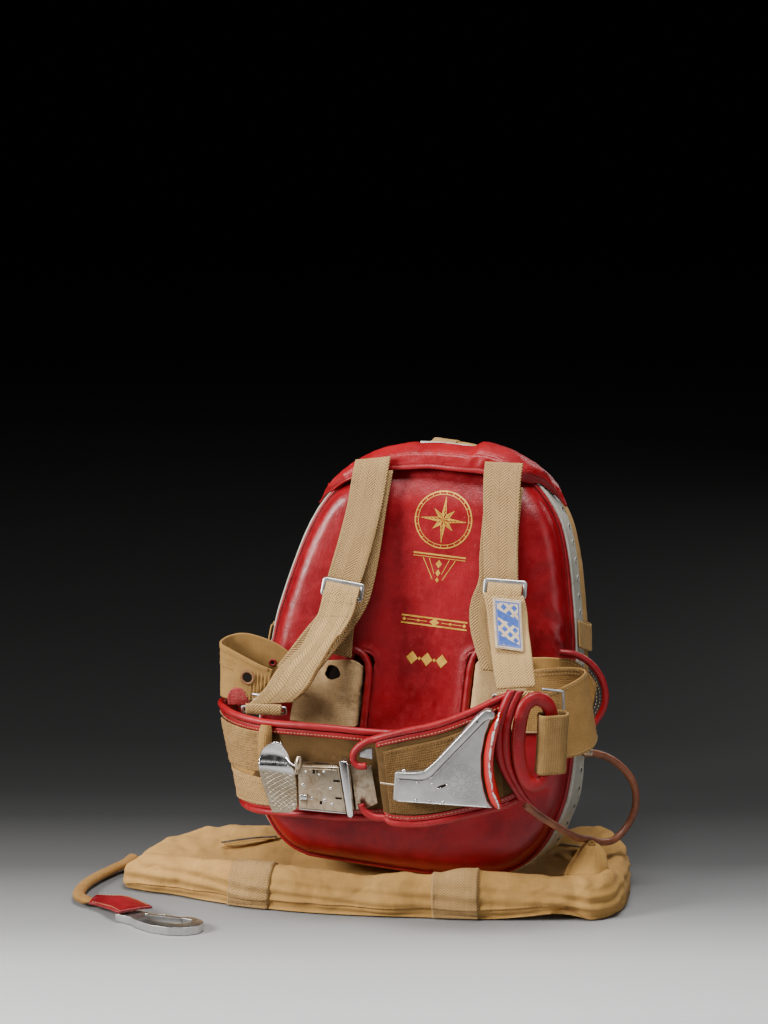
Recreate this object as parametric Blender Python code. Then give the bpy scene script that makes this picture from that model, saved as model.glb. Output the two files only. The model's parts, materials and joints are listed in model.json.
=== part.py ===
"""Packed back parachute: tray, canvas cover, red leather back-pad, harness belt,
carrying bag that it stands on, and static line.  Metres in the scene; tables in mm.
Frame: +X to the wearer's left as seen from the pad side, -Y out of the pad, +Z up,
Z = 0 the surface it rests on."""
import bpy, bmesh, math
from mathutils import Vector, Matrix

for o in list(bpy.data.objects):
    bpy.data.objects.remove(o, do_unlink=True)
for c in list(bpy.data.collections):
    bpy.data.collections.remove(c)

MM = 0.001
GAP = 0.4            # between sewn or touching pieces
LEAN = 8.0           # pack leans back, degrees
ROLL = 5.0           # pack tips to +X, degrees
PACK_AT = (-0.5, -65.0, 28.8)
WEB = 2.2            # webbing thickness
STRAP_W = 44.0       # shoulder strap width
BIND_R = 4.2         # leather binding roll radius
HOSE_D = 9.0
COVER_DEPTH = 96.0   # back cover stands behind the rim plane
RIM_FLARE = 10.0     # rim opens outwards to the back
N_EGG = 48           # stations round the pack outline
EGG_SHIFT = -5.0
SHIFT = (39.5, 47.7, 0.0)   # puts the origin under the middle of the bounding box

part = bpy.data.collections.new("packed_parachute")
bpy.context.scene.collection.children.link(part)
cutters = bpy.data.collections.new("cutters")
bpy.context.scene.collection.children.link(cutters)

pack = bpy.data.objects.new("pack_frame", None)
part.objects.link(pack)
pack.matrix_world = (Matrix.Translation(Vector(PACK_AT) * MM)
                     @ Matrix.Rotation(math.radians(-LEAN), 4, 'X')
                     @ Matrix.Rotation(math.radians(ROLL), 4, 'Y'))
M_PACK = pack.matrix_world.copy()


def pk(u, v, w):
    """pack frame mm -> world mm"""
    return M_PACK @ (Vector((u, v, w)) * MM) / MM


# ---------------------------------------------------------------- materials
def material(name, rgb, rough, metal=0.0):
    m = bpy.data.materials.new(name)
    m.use_nodes = True
    b = m.node_tree.nodes["Principled BSDF"]
    b.inputs["Base Color"].default_value = (*rgb, 1)
    b.inputs["Roughness"].default_value = rough
    b.inputs["Metallic"].default_value = metal
    return m


RED = ((0.36, 0.016, 0.022), 0.42)
CANVAS = ((0.47, 0.31, 0.15), 0.85)
WEBBING = ((0.50, 0.35, 0.20), 0.9)
FELT = ((0.36, 0.25, 0.13), 0.95)
ALU = ((0.72, 0.72, 0.73), 0.35, 1.0)
NICKEL = ((0.62, 0.58, 0.52), 0.28, 1.0)
GREY = ((0.42, 0.41, 0.35), 0.45)
ENAMEL = ((0.62, 0.02, 0.015), 0.3)
HOSE = ((0.22, 0.07, 0.03), 0.5)


# ---------------------------------------------------------------- helpers
def finish(name, bm, mat, parent=None, angle=40, origin=None):
    bmesh.ops.recalc_face_normals(bm, faces=bm.faces)
    me = bpy.data.meshes.new(name)
    bm.to_mesh(me)
    bm.free()
    me.shade_smooth()
    me.set_sharp_from_angle(angle=math.radians(angle))
    ob = bpy.data.objects.new(name, me)
    me.materials.append(material(name + "_mat", *mat))
    part.objects.link(ob)
    if parent is not None:
        ob.parent = parent
    if origin is not None:
        o = Vector(origin) * MM
        me.transform(Matrix.Translation(-o))
        ob.location = o
    return ob


def catmull(rows, k, cyclic=False):
    """rows of numbers, sampled k times a span on a smooth curve through them"""
    n = len(rows)
    if k <= 1:
        return [list(r) for r in rows]
    out = []
    spans = n if cyclic else n - 1
    for i in range(spans):
        if cyclic:
            p = [rows[(i + j - 1) % n] for j in range(4)]
        else:
            p = [rows[max(0, i - 1)], rows[i], rows[i + 1], rows[min(n - 1, i + 2)]]
        for s in range(k):
            t = s / k
            out.append([0.5 * (2 * b + (c - a) * t + (2 * a - 5 * b + 4 * c - d) * t * t
                               + (3 * b - a - 3 * c + d) * t ** 3)
                        for a, b, c, d in zip(*p)])
    if not cyclic:
        out.append(list(rows[-1]))
    return out


def loft(name, rings, mat, parent=None, cyclic=False, angle=40, origin=None, caps=True):
    """skin between rings with the same number of points (mm)"""
    bm = bmesh.new()
    vs = [[bm.verts.new(Vector(p) * MM) for p in r] for r in rings]
    m = len(rings[0])
    last = len(rings) if cyclic else len(rings) - 1
    for i in range(last):
        a, b = vs[i], vs[(i + 1) % len(rings)]
        for j in range(m):
            bm.faces.new((a[j], a[(j + 1) % m], b[(j + 1) % m], b[j]))
    if not cyclic and caps:
        bm.faces.new(vs[0])
        bm.faces.new(list(reversed(vs[-1])))
    return finish(name, bm, mat, parent, angle, origin)


def strip_rings(rows, t, k, crown=0.0, cyclic=False):
    """rows: ax ay az bx by bz = its two edges; thickness t across them.
    crown lifts the middle of both faces."""
    pts = catmull(rows, k, cyclic)
    A = [Vector(p[:3]) for p in pts]
    B = [Vector(p[3:6]) for p in pts]
    n = len(pts)
    rings = []
    for i in range(n):
        if cyclic:
            i0, i1 = (i - 1) % n, (i + 1) % n
        else:
            i0, i1 = max(0, i - 1), min(n - 1, i + 1)
        tan = ((A[i1] + B[i1]) - (A[i0] + B[i0])).normalized()
        wd = B[i] - A[i]
        nn = tan.cross(wd).normalized() * (t / 2)
        if crown:
            up = nn.normalized() * crown
            M1, M2 = A[i].lerp(B[i], 0.3), A[i].lerp(B[i], 0.7)
            rings.append([A[i] + nn, M1 + nn + up, M2 + nn + up, B[i] + nn,
                          B[i] - nn, M2 - nn + up, M1 - nn + up, A[i] - nn])
        else:
            rings.append([A[i] + nn, B[i] + nn, B[i] - nn, A[i] - nn])
    return rings


def strip(name, rows, t, mat, k=3, parent=None, crown=0.0, cyclic=False, angle=35):
    return loft(name, strip_rings(rows, t, k, crown, cyclic), mat, parent, cyclic, angle)


def tube(name, rows, r, mat, k=3, cyclic=False, parent=None, res=2):
    """round cord, roll or wire: a curve with a bevel and filled caps"""
    pts = catmull(rows, k, cyclic)
    cu = bpy.data.curves.new(name, 'CURVE')
    cu.dimensions = '3D'
    cu.bevel_depth = r * MM
    cu.bevel_resolution = res
    cu.use_fill_caps = True
    sp = cu.splines.new('POLY')
    sp.points.add(len(pts) - 1)
    for q, p in zip(sp.points, pts):
        q.co = (p[0] * MM, p[1] * MM, p[2] * MM, 1)
    sp.use_cyclic_u = cyclic
    ob = bpy.data.objects.new(name, cu)
    cu.materials.append(material(name + "_mat", *mat))
    part.objects.link(ob)
    if parent is not None:
        ob.parent = parent
    return ob


def poly_prism(name, outline, origin3, ex, ez, ey, depth, mat, bevel=0.0, segs=2,
               parent=None, joint=None, collection=None):
    """flat outline (a, b) in mm on the plane origin3 + a*ex + b*ez, pushed along ey"""
    bm = bmesh.new()
    O, X, Z, Y = Vector(origin3), Vector(ex), Vector(ez), Vector(ey)
    lo = [bm.verts.new((O + X * a + Z * b) * MM) for a, b in outline]
    hi = [bm.verts.new((O + X * a + Z * b + Y * depth) * MM) for a, b in outline]
    n = len(outline)
    bm.faces.new(lo)
    bm.faces.new(list(reversed(hi)))
    for i in range(n):
        bm.faces.new((lo[i], hi[i], hi[(i + 1) % n], lo[(i + 1) % n]))
    bmesh.ops.recalc_face_normals(bm, faces=bm.faces)
    if bevel:
        bmesh.ops.bevel(bm, geom=list(bm.edges), offset=bevel * MM, segments=segs,
                        profile=0.5, affect='EDGES', clamp_overlap=True)
    ob = finish(name, bm, mat, parent, 35, joint)
    if collection is not None:
        part.objects.unlink(ob)
        collection.objects.link(ob)
        ob.hide_render = True
        ob.display_type = 'WIRE'
    return ob


def cut(ob, cutter):
    cutter.hide_render = True
    cutter.display_type = 'WIRE'
    m = ob.modifiers.new("cut_" + cutter.name, 'BOOLEAN')
    m.operation = 'DIFFERENCE'
    m.solver = 'EXACT'
    m.object = cutter
    return m


def smoothstep(a, b, x):
    t = max(0.0, min(1.0, (x - a) / (b - a)))
    return t * t * (3 - 2 * t)


# ---------------------------------------------------------------- pack outline
# half width of the pad at each height:  w   right   left
EGG = [(-4, 0, 0), (-3, 40, 108), (-1, 66, 124), (2, 88, 136), (8, 118, 148), (17, 139, 160), (29, 154.5, 171),
       (45, 168, 182), (64, 178.5, 190), (88, 186.5, 196), (118, 193, 199.5), (165, 195, 200.5), (238, 189.5, 197.5),
       (286, 183.5, 193.5), (318, 179, 188), (360, 171, 178.5), (404, 161.5, 166), (438, 151, 151.5), (460, 140, 136),
       (480, 124.5, 114), (497, 105, 85), (509, 79, 52), (516.5, 45, 24.5), (518.7, 0, 0)]


def egg_outline(n):
    dense = catmull(EGG, 12)
    right = [(max(0.0, b) + EGG_SHIFT, w) for w, b, c in dense]
    left = [(-max(0.0, c) + EGG_SHIFT, w) for w, b, c in reversed(dense[1:-1])]
    loop = [Vector(p) for p in right + left]
    L = [0.0]
    for i in range(len(loop)):
        L.append(L[-1] + (loop[(i + 1) % len(loop)] - loop[i]).length)
    total = L[-1]
    out, j = [], 0
    for i in range(n):
        s = total * i / n
        while L[j + 1] < s:
            j += 1
        f = (s - L[j]) / (L[j + 1] - L[j])
        out.append(loop[j].lerp(loop[(j + 1) % len(loop)], f))
    nrm = []
    for i in range(n):
        t = (out[(i + 1) % n] - out[i - 1]).normalized()
        nrm.append(Vector((t.y, -t.x)))
    return out, nrm


E, EN = egg_outline(N_EGG)


def half_at(w, side=1):
    """pad half width at height w, to the right or to the left"""
    for p0, p1 in zip(EGG, EGG[1:]):
        if p0[0] <= w <= p1[0]:
            b0, b1 = (p0[1], p1[1]) if side > 0 else (p0[2], p1[2])
            return b0 + (b1 - b0) * (w - p0[0]) / (p1[0] - p0[0])
    return 0.0


def spread(n, rim):
    """how far the rim or the cover stands out of the outline, by the way that it faces"""
    right, left = smoothstep(0.4, 0.8, n.x), smoothstep(0.3, 0.8, -n.x)
    up, shoulder = smoothstep(-0.12, 0.14, n.y), smoothstep(0.3, 0.55, n.y)
    if rim:
        return 1 + right * (0.2 - 0.54 * up) - left * (0.32 + 0.2 * shoulder)
    return 1 - 0.35 * right - 0.38 * left - 0.15 * up * (1 - right) * (1 - left)


def cover_ring(r, v, rim=False):
    """one ring at distance r out of the outline; it spreads less under the foot"""
    ring = []
    for i in range(N_EGG):
        foot = max(0.0, -EN[i].y) ** 2
        q = (r * (1 - 0.9 * foot) * spread(EN[i], rim) if r > 0 else r) - 6.0 * foot * smoothstep(35, 75, v)
        ring.append((E[i].x + EN[i].x * q, v, E[i].y + EN[i].y * q))
    return ring


def egg_rings(section, closed_section):
    """section: rows r, v measured from the outline; one ring a row round the egg"""
    return [cover_ring(r, v, True) for r, v in section]


# tray rim: a bent metal strip, flange under the pad and a wall that opens to the back
RIM = [(-9, -3.5), (1.0, -6.2), (3.6, -5.0), (RIM_FLARE, 22.0), (RIM_FLARE + 0.6, 26.0),
       (RIM_FLARE - 4.5, 26.0), (RIM_FLARE - 4.5, 23.0), (0.6, -1.0), (-9, -0.8)]
loft("tray_rim", egg_rings(RIM, True), GREY, pack, cyclic=True, angle=35)

# canvas cover, one filled dome:   r   v
COVER = [(-8.5, 0.4), (1.2, 23.5), (1.8, 26.8), (8.5, 27.6), (14.5, 42), (12, 60), (0, 77),
         (-22, 88), (-58, 93.5)]


cov = [cover_ring(r, v) for r, v in COVER]
mid = Vector((EGG_SHIFT, 0, 250))
for f, v in ((0.30, COVER_DEPTH - 0.8),):
    cov.append([tuple(Vector((x, v, z)).lerp(Vector((mid.x, v, mid.z)), 1 - f))
                for x, _, z in cover_ring(0, 0)])
loft("back_cover", cov, CANVAS, pack, angle=50)


# ---------------------------------------------------------------- back pad
# distance in from the edge, forward face
PAD = [(0.0, -8.0), (0.4, -11.0), (2.4, -12.9), (5.2, -13.8), (8.0, -20.5), (11.5, -28.5),
       (17, -33.8), (27, -36.8), (48, -38.0)]


def pad_thin(w):
    return 1.0 - 0.42 * smoothstep(445, 500, w)


def pad_ring(d, v):
    ring = []
    for i in range(N_EGG):
        x, w = E[i].x - EN[i].x * d, E[i].y - EN[i].y * d
        ring.append((x, -7.0 + (v + 7.0) * pad_thin(w) if v < -8.5 else v, w))
    return ring


rings = [pad_ring(0.6, -7.0)] + [pad_ring(d, v) for d, v in PAD]
for f, v in ((0.52, -37.0), (0.26, -35.2)):
    rings.append([(mid.x + (x - mid.x) * f, -7.0 + (v + 7.0) * pad_thin(z), mid.z + (z - mid.z) * f)
                  for x, _, z in pad_ring(0, -37.0)])
pad = loft("back_pad", rings, RED, pack, angle=50)
SLOT = [  # name, inner edge u, outer edge u
    ("L", -63.5, -102.5), ("R", 50.0, 85.0)]
for nm, ui, uo in SLOT:
    a, b = min(ui, uo), max(ui, uo)
    top, low, rad = (271.0 if nm == "L" else 300.0), 111.0, 8.0
    o2 = []
    for cx, cw, a0 in ((b - rad, top - rad, 0), (a + rad, top - rad, 90), (a + rad, low + rad, 180),
                       (b - rad, low + rad, 270)):
        for s in range(4):
            g = math.radians(a0 + 30 * s)
            o2.append((cx + rad * math.cos(g), cw + rad * math.sin(g)))
    c = poly_prism("slot_cut_" + nm, o2, (0, -60, 0), (1, 0, 0), (0, 0, 1), (0, 1, 0), 45, RED,
                   parent=pack, collection=cutters)
    cut(pad, c)

# rolled leather edges of the slots:   u   v   w
roll_L = [(-97, -38.6, 265), (-88, -38.8, 264.4), (-79.5, -38.9, 260.5), (-72.5, -38.8, 252), (-69, -38.6, 238),
          (-68.5, -38.5, 215), (-68.5, -38.5, 180), (-69, -38.6, 146), (-73, -39.0, 127), (-83, -39.2, 117)]
roll_R = [(79, -39.2, 294), (69, -39.2, 290), (60.5, -39.0, 280.5), (55.8, -38.7, 264), (55.0, -38.5, 240), (55.0, -38.5, 212),
          (55.0, -38.5, 180), (56, -38.6, 146), (60, -39.0, 127), (69, -39.2, 117)]
tube("slot_roll_L", roll_L, 4.6, RED, k=2, parent=pack, res=2)
tube("slot_roll_R", roll_R, 4.6, RED, k=2, parent=pack)

# ---------------------------------------------------------------- hood over the top
# u along the top, front edge r and v, how far out it stands, v of its rear edge
HOOD = [(-159, 6.0, 14, 7.4, 18), (-153, 5.5, 5, 8.5, 22), (-144, -0.8, -14.5, 9.2, 25), (-127, -4.6, -32, 11.5, 28),
        (-102, -9.5, -35.5, 14.3, 28), (-77, -13.8, -36, 16, 28), (-54, -17.4, -36, 15.2, 28), (-46, -18.4, -36, 14.6, 27),
        (-38, -19.2, -36, 11.5, -3), (-3, -21.1, -36, 10.8, -4), (24, -19.6, -36, 11.8, -3), (33, -18.8, -36, 19.0, 27),
        (46, -17.8, -36, 19.6, 28), (66, -14.5, -35.5, 18.8, 28), (80, -11, -34, 17.6, 28), (92, -8, -30, 17, 28),
        (101, -3.9, -17, 17, 28), (108, 4.2, -7, 16.8, 28), (120, 7.1, 4, 15.6, 27), (126, 8.9, 11, 14.2, 25),
        (134, 10.4, 17, 12.4, 22)]
TOP_E, TOP_N = egg_outline(480)


def top_point(u):
    """the outline's upper run at u, and its normal"""
    for i in range(480):
        a, b = TOP_E[i], TOP_E[(i + 1) % 480]
        if min(a.y, b.y) > 425 and (a.x - u) * (b.x - u) <= 0:
            f = (u - a.x) / (b.x - a.x)
            return a.lerp(b, f), TOP_N[i].lerp(TOP_N[(i + 1) % 480], f).normalized()


def hood_section(rf, vf, ro, vr, t):
    """outside from the front edge over the top to the rear edge, and back along the inside"""
    vt = max(-9.0, min(vf + 6.0, vr - 5.0))
    pts = [(rf + (ro - rf) * a, vf + (vt - vf) * b) for a, b in ((0, 0), (0.30, 0.01), (0.58, 0.06), (0.80, 0.36), (0.95, 0.74), (1, 1))]
    pts += [(ro, (vt + vr) / 2), (ro, vr)]
    ins = []
    for i, (r, v) in enumerate(pts):
        a, b = pts[max(0, i - 1)], pts[min(len(pts) - 1, i + 1)]
        L = math.hypot(b[0] - a[0], b[1] - a[1])
        ins.append((r - (b[1] - a[1]) / L * t, v + (b[0] - a[0]) / L * t))
    return pts + ins[::-1]


hood_rows = []
for a, b in zip(HOOD, HOOD[1:]):
    hood_rows.append(a)
    if b[0] - a[0] > 15:
        hood_rows.append(tuple((x + y) / 2 for x, y in zip(a, b)))
hood_rows.append(HOOD[-1])
cap_rings = []
for u, rf, vf, ro, vr in hood_rows:
    q, nrm = top_point(u)
    t = 2.6 - 1.0 * (1 - smoothstep(-159, -140, u)) - 1.0 * smoothstep(112, 134, u)
    cap_rings.append([(q.x + nrm.x * r, v, q.y + nrm.y * r) for r, v in hood_section(rf, vf, ro, vr, t)])
loft("cap", cap_rings, RED, pack, angle=50)


# ---------------------------------------------------------------- bands round the cover
def around(w, section, side):
    b = half_at(w, side)
    return [(EGG_SHIFT + side * (b + r), v) for r, v in section]


BAND_PATH = [(4.6, -8.6), (5.6, -3.0), (8.6, 20.0), (9.9, 29), (12.8, 42), (11.2, 61), (1.8, 79.7),
             (-22.5, 91.8), (-58, 97)]
band_rows = []
for side, order in ((1, 1), (-1, -1)):
    sec = BAND_PATH[::order]
    rows = []
    for r, v in sec:
        ws = 317 - 0.16 * (min(v, 42) + 8) if side > 0 else 262    # the band runs uphill to +X
        lo, hi = ws - 16.5, ws + 16.5
        rows.append((EGG_SHIFT + side * (half_at(lo, side) + r), v, lo, EGG_SHIFT + side * (half_at(hi, side) + r), v, hi))
    if side > 0:
        band_rows += rows
        band_rows.append((EGG_SHIFT + 40, 98.4, 276, EGG_SHIFT + 40, 98.4, 309))
        band_rows.append((EGG_SHIFT - 40, 98.4, 262, EGG_SHIFT - 40, 98.4, 295))
    else:
        band_rows += rows
strip("band_h", band_rows, 2.0, WEBBING, k=1, parent=pack)

#        v    w
VB = [(4, 527.0), (14, 528.6), (27, 530.6), (34, 531.8), (43, 532.8), (61, 531.2), (79.5, 520), (91.5, 499), (97.0, 462),
      (99.5, 400), (102.5, 350), (103.5, 300), (102.5, 240), (99.8, 190), (98.6, 120), (97.6, 58), (92.8, 19), (82.2, 1)]
strip("band_v", [(EGG_SHIFT - 29, v, w, EGG_SHIFT + 1, v, w) for v, w in VB], 2.0, WEBBING, k=1, parent=pack)

# ---------------------------------------------------------------- lumbar bands out of the slots
#            u     v    w_top  w_low
LUM_L = [(-78.2, -20, 246, 172), (-78.2, -33, 246, 172), (-78.6, -43.0, 247.5, 172), (-82, -47.5, 251, 171),
         (-92, -48.0, 253, 170), (-112, -46.5, 250, 169), (-138, -44.5, 246, 168), (-160, -42.0, 243, 168)]
lumL = strip("lumbar_band_L", [(u, v, hi, u, v, lo) for u, v, hi, lo in LUM_L], 2.6, FELT, k=2, parent=pack)
LUM_R = [(62.4, -20, 262, 182), (62.4, -33, 263, 182), (63.0, -43.0, 268, 182), (67.5, -47.5, 275, 182),
         (78, -48.0, 284, 184), (100, -46.5, 284, 188), (130, -45.0, 284, 192), (158, -43.0, 284, 196)]
strip("lumbar_band_R", [(u, v, hi, u, v, lo) for u, v, hi, lo in LUM_R], 2.6, FELT, k=2, parent=pack)
hole = []
for s in range(12):
    g = 2 * math.pi * s / 12
    hole.append((-112.5 + 9.2 * math.cos(g), 234.3 + 8.8 * math.sin(g)))
c = poly_prism("hole_cut", hole, (0, -56, 0), (1, 0, 0), (0, 0, 1), (0, 1, 0), 13.0, FELT, parent=pack,
               collection=cutters)
cut(lumL, c)

# ---------------------------------------------------------------- side webbing loops (world mm)
#           x     y    z_top  x_low y_low z_low
SIDE_L = [(-142, -91, 302, -148, -90, 240), (-160, -92, 314, -162, -91, 247), (-180, -94, 322, -181, -93, 250),
          (-200, -98, 326, -201, -97, 252), (-215, -105, 324, -216, -104, 253), (-221.5, -116, 321, -222, -115, 253),
          (-219, -129, 319, -220, -129, 253), (-205, -138, 315, -208, -138, 253), (-184, -142, 306, -188, -142, 253),
          (-166, -143, 298, -172, -143, 253), (-152, -143, 293, -160, -143, 253)]
strip("side_band_L", SIDE_L, WEB, CANVAS, k=2)
SIDE_R = [(150, -100, 296, 150, -99, 220), (176, -99, 299, 176, -99, 221), (200, -97, 301, 204, -97, 222),
          (215, -99, 301, 228, -99, 221), (222, -108, 300, 237, -108, 217), (218, -123, 296, 234, -123, 210),
          (205, -135, 290, 221, -135, 204), (190, -143, 284, 203, -143, 201), (178, -148, 280, 190, -149, 201)]
strip("side_band_R", SIDE_R, WEB, WEBBING, k=2)

# ---------------------------------------------------------------- belt, left half (world mm)
#            top edge            bottom edge
BELT_L = [(22, -184, 228, 12, -184, 137), (-20, -190, 229, -22, -190, 135), (-62, -193, 232, -60, -193, 134),
          (-104, -191, 233, -100, -190, 134), (-146, -182, 232, -138, -180, 131), (-180, -168, 233, -168, -164, 128),
          (-206, -147, 235, -188, -143, 127), (-221, -122, 237, -199, -117, 127), (-223, -98, 235, -201, -94, 128),
          (-216, -84, 232, -200, -86, 130)]


def belt_panel(name, rows, t, mat, k=2):
    return strip(name, rows, t, mat, k=k)


def binding(name, rows, r, out, k, mat=RED):
    """roll round the whole edge of a panel, kept clear of its edges by out"""
    pts = catmull(rows, k)
    n = len(pts)
    top, low = [], []
    for i, p in enumerate(pts):
        a, b = Vector(p[:3]), Vector(p[3:6])
        up = (a - b).normalized()
        top.append(a + up * out)
        low.append(b - up * out)
    t0 = (Vector(pts[0][:3]) - Vector(pts[1][:3])).normalized() * out
    t1 = (Vector(pts[-1][:3]) - Vector(pts[-2][:3])).normalized() * out
    loop = [p for p in top]
    a, b = top[-1] + t1, low[-1] + t1
    loop += [a.lerp(b, f) for f in (0.04, 0.35, 0.65, 0.96)]
    loop += list(reversed(low))
    a, b = low[0] + t0, top[0] + t0
    loop += [a.lerp(b, f) for f in (0.04, 0.35, 0.65, 0.96)]
    return tube(name, [tuple(p) for p in loop], r, mat, k=1, cyclic=True, res=1)


belt_panel("belt_panel_L", BELT_L, 3.2, CANVAS)
binding("belt_binding_L", BELT_L, BIND_R, BIND_R + 1.7, 2)

# ---------------------------------------------------------------- belt, right half (world mm)
BELT_R = [(-14, -207, 226, -3, -206, 140), (-4, -209, 230, 6, -209, 136), (22, -211, 238, 36, -210, 136),
          (60, -210, 248, 68, -209, 142), (96, -205, 262, 104, -204, 151), (126, -197, 276, 138, -196, 160),
          (142, -191, 283, 152, -190, 167)]
belt_panel("belt_panel_R", BELT_R, 3.2, CANVAS)


def edge_roll(name, rows, r, out, k, top, lead):
    """roll along one long edge of a panel, that first turns round its corner"""
    loop = list(lead)
    for p in catmull(rows, k):
        a, b = Vector(p[:3]), Vector(p[3:6])
        up = (a - b).normalized()
        loop.append(tuple(a + up * out if top else b - up * out))
    return tube(name, loop, r, RED, k=1, res=1)


edge_roll("belt_binding_R_top", BELT_R, BIND_R, BIND_R + 0.8, 3, True,
          [(-24, -208.5, 198), (-34, -208.8, 197.6), (-39.5, -209, 203.5), (-39, -209, 213), (-32, -208.6, 222),
           (-22, -207.6, 228.5)])
edge_roll("belt_binding_R_low", BELT_R, BIND_R, BIND_R + 1.3, 3, False,
          [(-31, -207, 151), (-28.5, -207.2, 144), (-21, -207, 138), (-12, -206.4, 135)])


def offset_rows(rows, dist, top_in, low_in, i0=0, i1=None):
    """rows of a second layer lying dist in front of a first one"""
    out = []
    rows = rows[i0:i1]
    for i, r in enumerate(rows):
        a, b = Vector(r[:3]), Vector(r[3:])
        i0_, i1_ = max(0, i - 1), min(len(rows) - 1, i + 1)
        tan = (Vector(rows[i1_][:3]) - Vector(rows[i0_][:3])).normalized()
        nn = tan.cross(b - a).normalized()
        if nn.y > 0:
            nn = -nn
        up = (a - b).normalized()
        a2, b2 = a - up * top_in + nn * dist, b + up * low_in + nn * dist
        out.append((*a2, *b2))
    return out


# rough webbing on the right half, under the lever box
strip("belt_webbing_R", offset_rows(BELT_R, 3.2 / 2 + 1.2 + GAP, 12.5, 7.5, 1, 6), 2.4, FELT, k=2)

# double stitched roll that ends the right half: two leather rolls side by side
ENDR = [(141, -196, 300, 153, -193, 300), (131, -201, 270, 143, -198, 270), (124, -205, 236, 137, -202, 236),
        (128, -205, 202, 141, -202, 200), (144, -202, 172, 156, -199, 168), (160, -198, 154, 168, -196, 150)]

# ---------------------------------------------------------------- webbing loops at the left end
def band_loop(name, c, ex, ez, ey, w, h, d, t, mat, n=14):
    """closed loop of webbing: w wide along ex, h high along ez, d deep along ey"""
    C, X, Z, Y = Vector(c), Vector(ex).normalized(), Vector(ez).normalized(), Vector(ey).normalized()
    rings = []
    for i in range(n):
        g = 2 * math.pi * i / n
        ca, sa = math.cos(g), math.sin(g)
        px = (abs(ca) ** 0.55) * (1 if ca > 0 else -1)
        py = (abs(sa) ** 0.55) * (1 if sa > 0 else -1)
        o = C + X * px * w / 2 + Y * py * d / 2
        q = C + X * px * (w / 2 - t) + Y * py * (d / 2 - t)
        rings.append([o + Z * h / 2, o - Z * h / 2, q - Z * h / 2, q + Z * h / 2])
    return loft(name, rings, mat, cyclic=True, angle=40)


WRAP_1 = offset_rows([(-148, -181, 238, -138, -180, 123), (-180, -168, 238, -168, -164, 121),
                      (-206, -147, 239, -188, -143, 120), (-219, -128, 240, -197, -122, 120)], 4.3, 12, 54)
strip("end_wrap_upper", WRAP_1, 2.4, FELT, k=3)
WRAP_2 = offset_rows([(-148, -181, 238, -138, -180, 123), (-180, -168, 238, -168, -164, 121),
                      (-206, -147, 239, -188, -143, 120), (-216, -131, 240, -194, -125, 120)], 4.8, 70, 12)
strip("end_wrap_lower", WRAP_2, 2.4, FELT, k=3)

# ---------------------------------------------------------------- belt buckle (world mm)
# local buckle frame: a to the right, b up, c out of the belt
BX = Vector((0.998, 0.06, -0.03)).normalized()
BZ = Vector((0.06, 0.0, 1.0)).normalized()
BZ = (BZ - BX * BZ.dot(BX)).normalized()
BY = BX.cross(BZ) * 1.0
if BY.y > 0:
    BY = -BY                                        # points out of the belt, to -Y
B0 = Vector((-107.0, -199.5, 165.0))                # back corner of the box, mid height


def bp(a, b, c):
    return B0 + BX * a + BZ * b + BY * c


def prism(name, outline, base_c, depth, mat, bevel=0.8, joint=None, segs=2):
    return poly_prism(name, outline, bp(0, 0, base_c), BX, BZ, BY, depth, mat, bevel, segs, joint=joint)


BOX = [(0.5, 31.5), (48.5, 33), (49, 41), (58.5, 41), (68, -26), (60.5, -26.5), (59.5, -22), (2.5, -20.5)]
prism("buckle_box", BOX, 0.0, 19.0, NICKEL, 1.2)
# the knurled lever plate, hinged on the box's left edge: outline a, b
PLATE = [(-7, 30), (-2.8, 20), (0.0, -20), (-10, -28.5), (-29.7, -30), (-39.3, -5), (-47.8, 24), (-47.5, 40), (-40, 51),
         (-31, 57), (-21, 56), (-13, 42)]
HINGE_B = bp(-3.0, 0, 12.0)
prism("buckle_lever", PLATE, 10.5, 3.0, NICKEL, 0.8, joint=tuple(HINGE_B))
# tongue plate to the right of the box, lies back against the right half's edge
prism("buckle_tongue", [(61.7, 34), (86, 33.5), (95, -12), (80, -20), (69.5, -21.5)], 3.0, 2.4, NICKEL, 0.5)
prism("buckle_clip", [(3, -3), (13, -3), (13, -17), (3, -17)], 19.4, 3.6, NICKEL, 1.0)
prism("buckle_catch", [(-4.6, 42), (4.6, 42), (5, 32.2), (-3.4, 32.2)], 7.0, 9.0, NICKEL, 1.0)

# grey metal bar end in the crook of the upper leather roll
poly_prism("bar_end", [(-33.5, 208), (-17, 206), (-17, 219), (-24, 219.6), (-32, 215)], (0, -204.0, 0), (1, 0, 0), (0, 0, 1),
           (0, -1, 0), 4.0, ALU, 1.0, 1)

# ---------------------------------------------------------------- lever box and opening lever
LX = Vector((0.996, 0.085, -0.02)).normalized()
LZ = Vector((0.02, 0.0, 1.0)).normalized()
LZ = (LZ - LX * LZ.dot(LX)).normalized()
LY = LX.cross(LZ)
if LY.y > 0:
    LY = -LY
L0 = Vector((71.0, -214.6, 198.0))                   # mid of the box's back face


def lp(a, b, c):
    return L0 + LX * a + LZ * b + LY * c


def prism_l(name, outline, base_c, depth, mat, bevel=0.8, joint=None, segs=2):
    return poly_prism(name, outline, lp(0, 0, base_c), LX, LZ, LY, depth, mat, bevel, segs, joint=joint)


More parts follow.
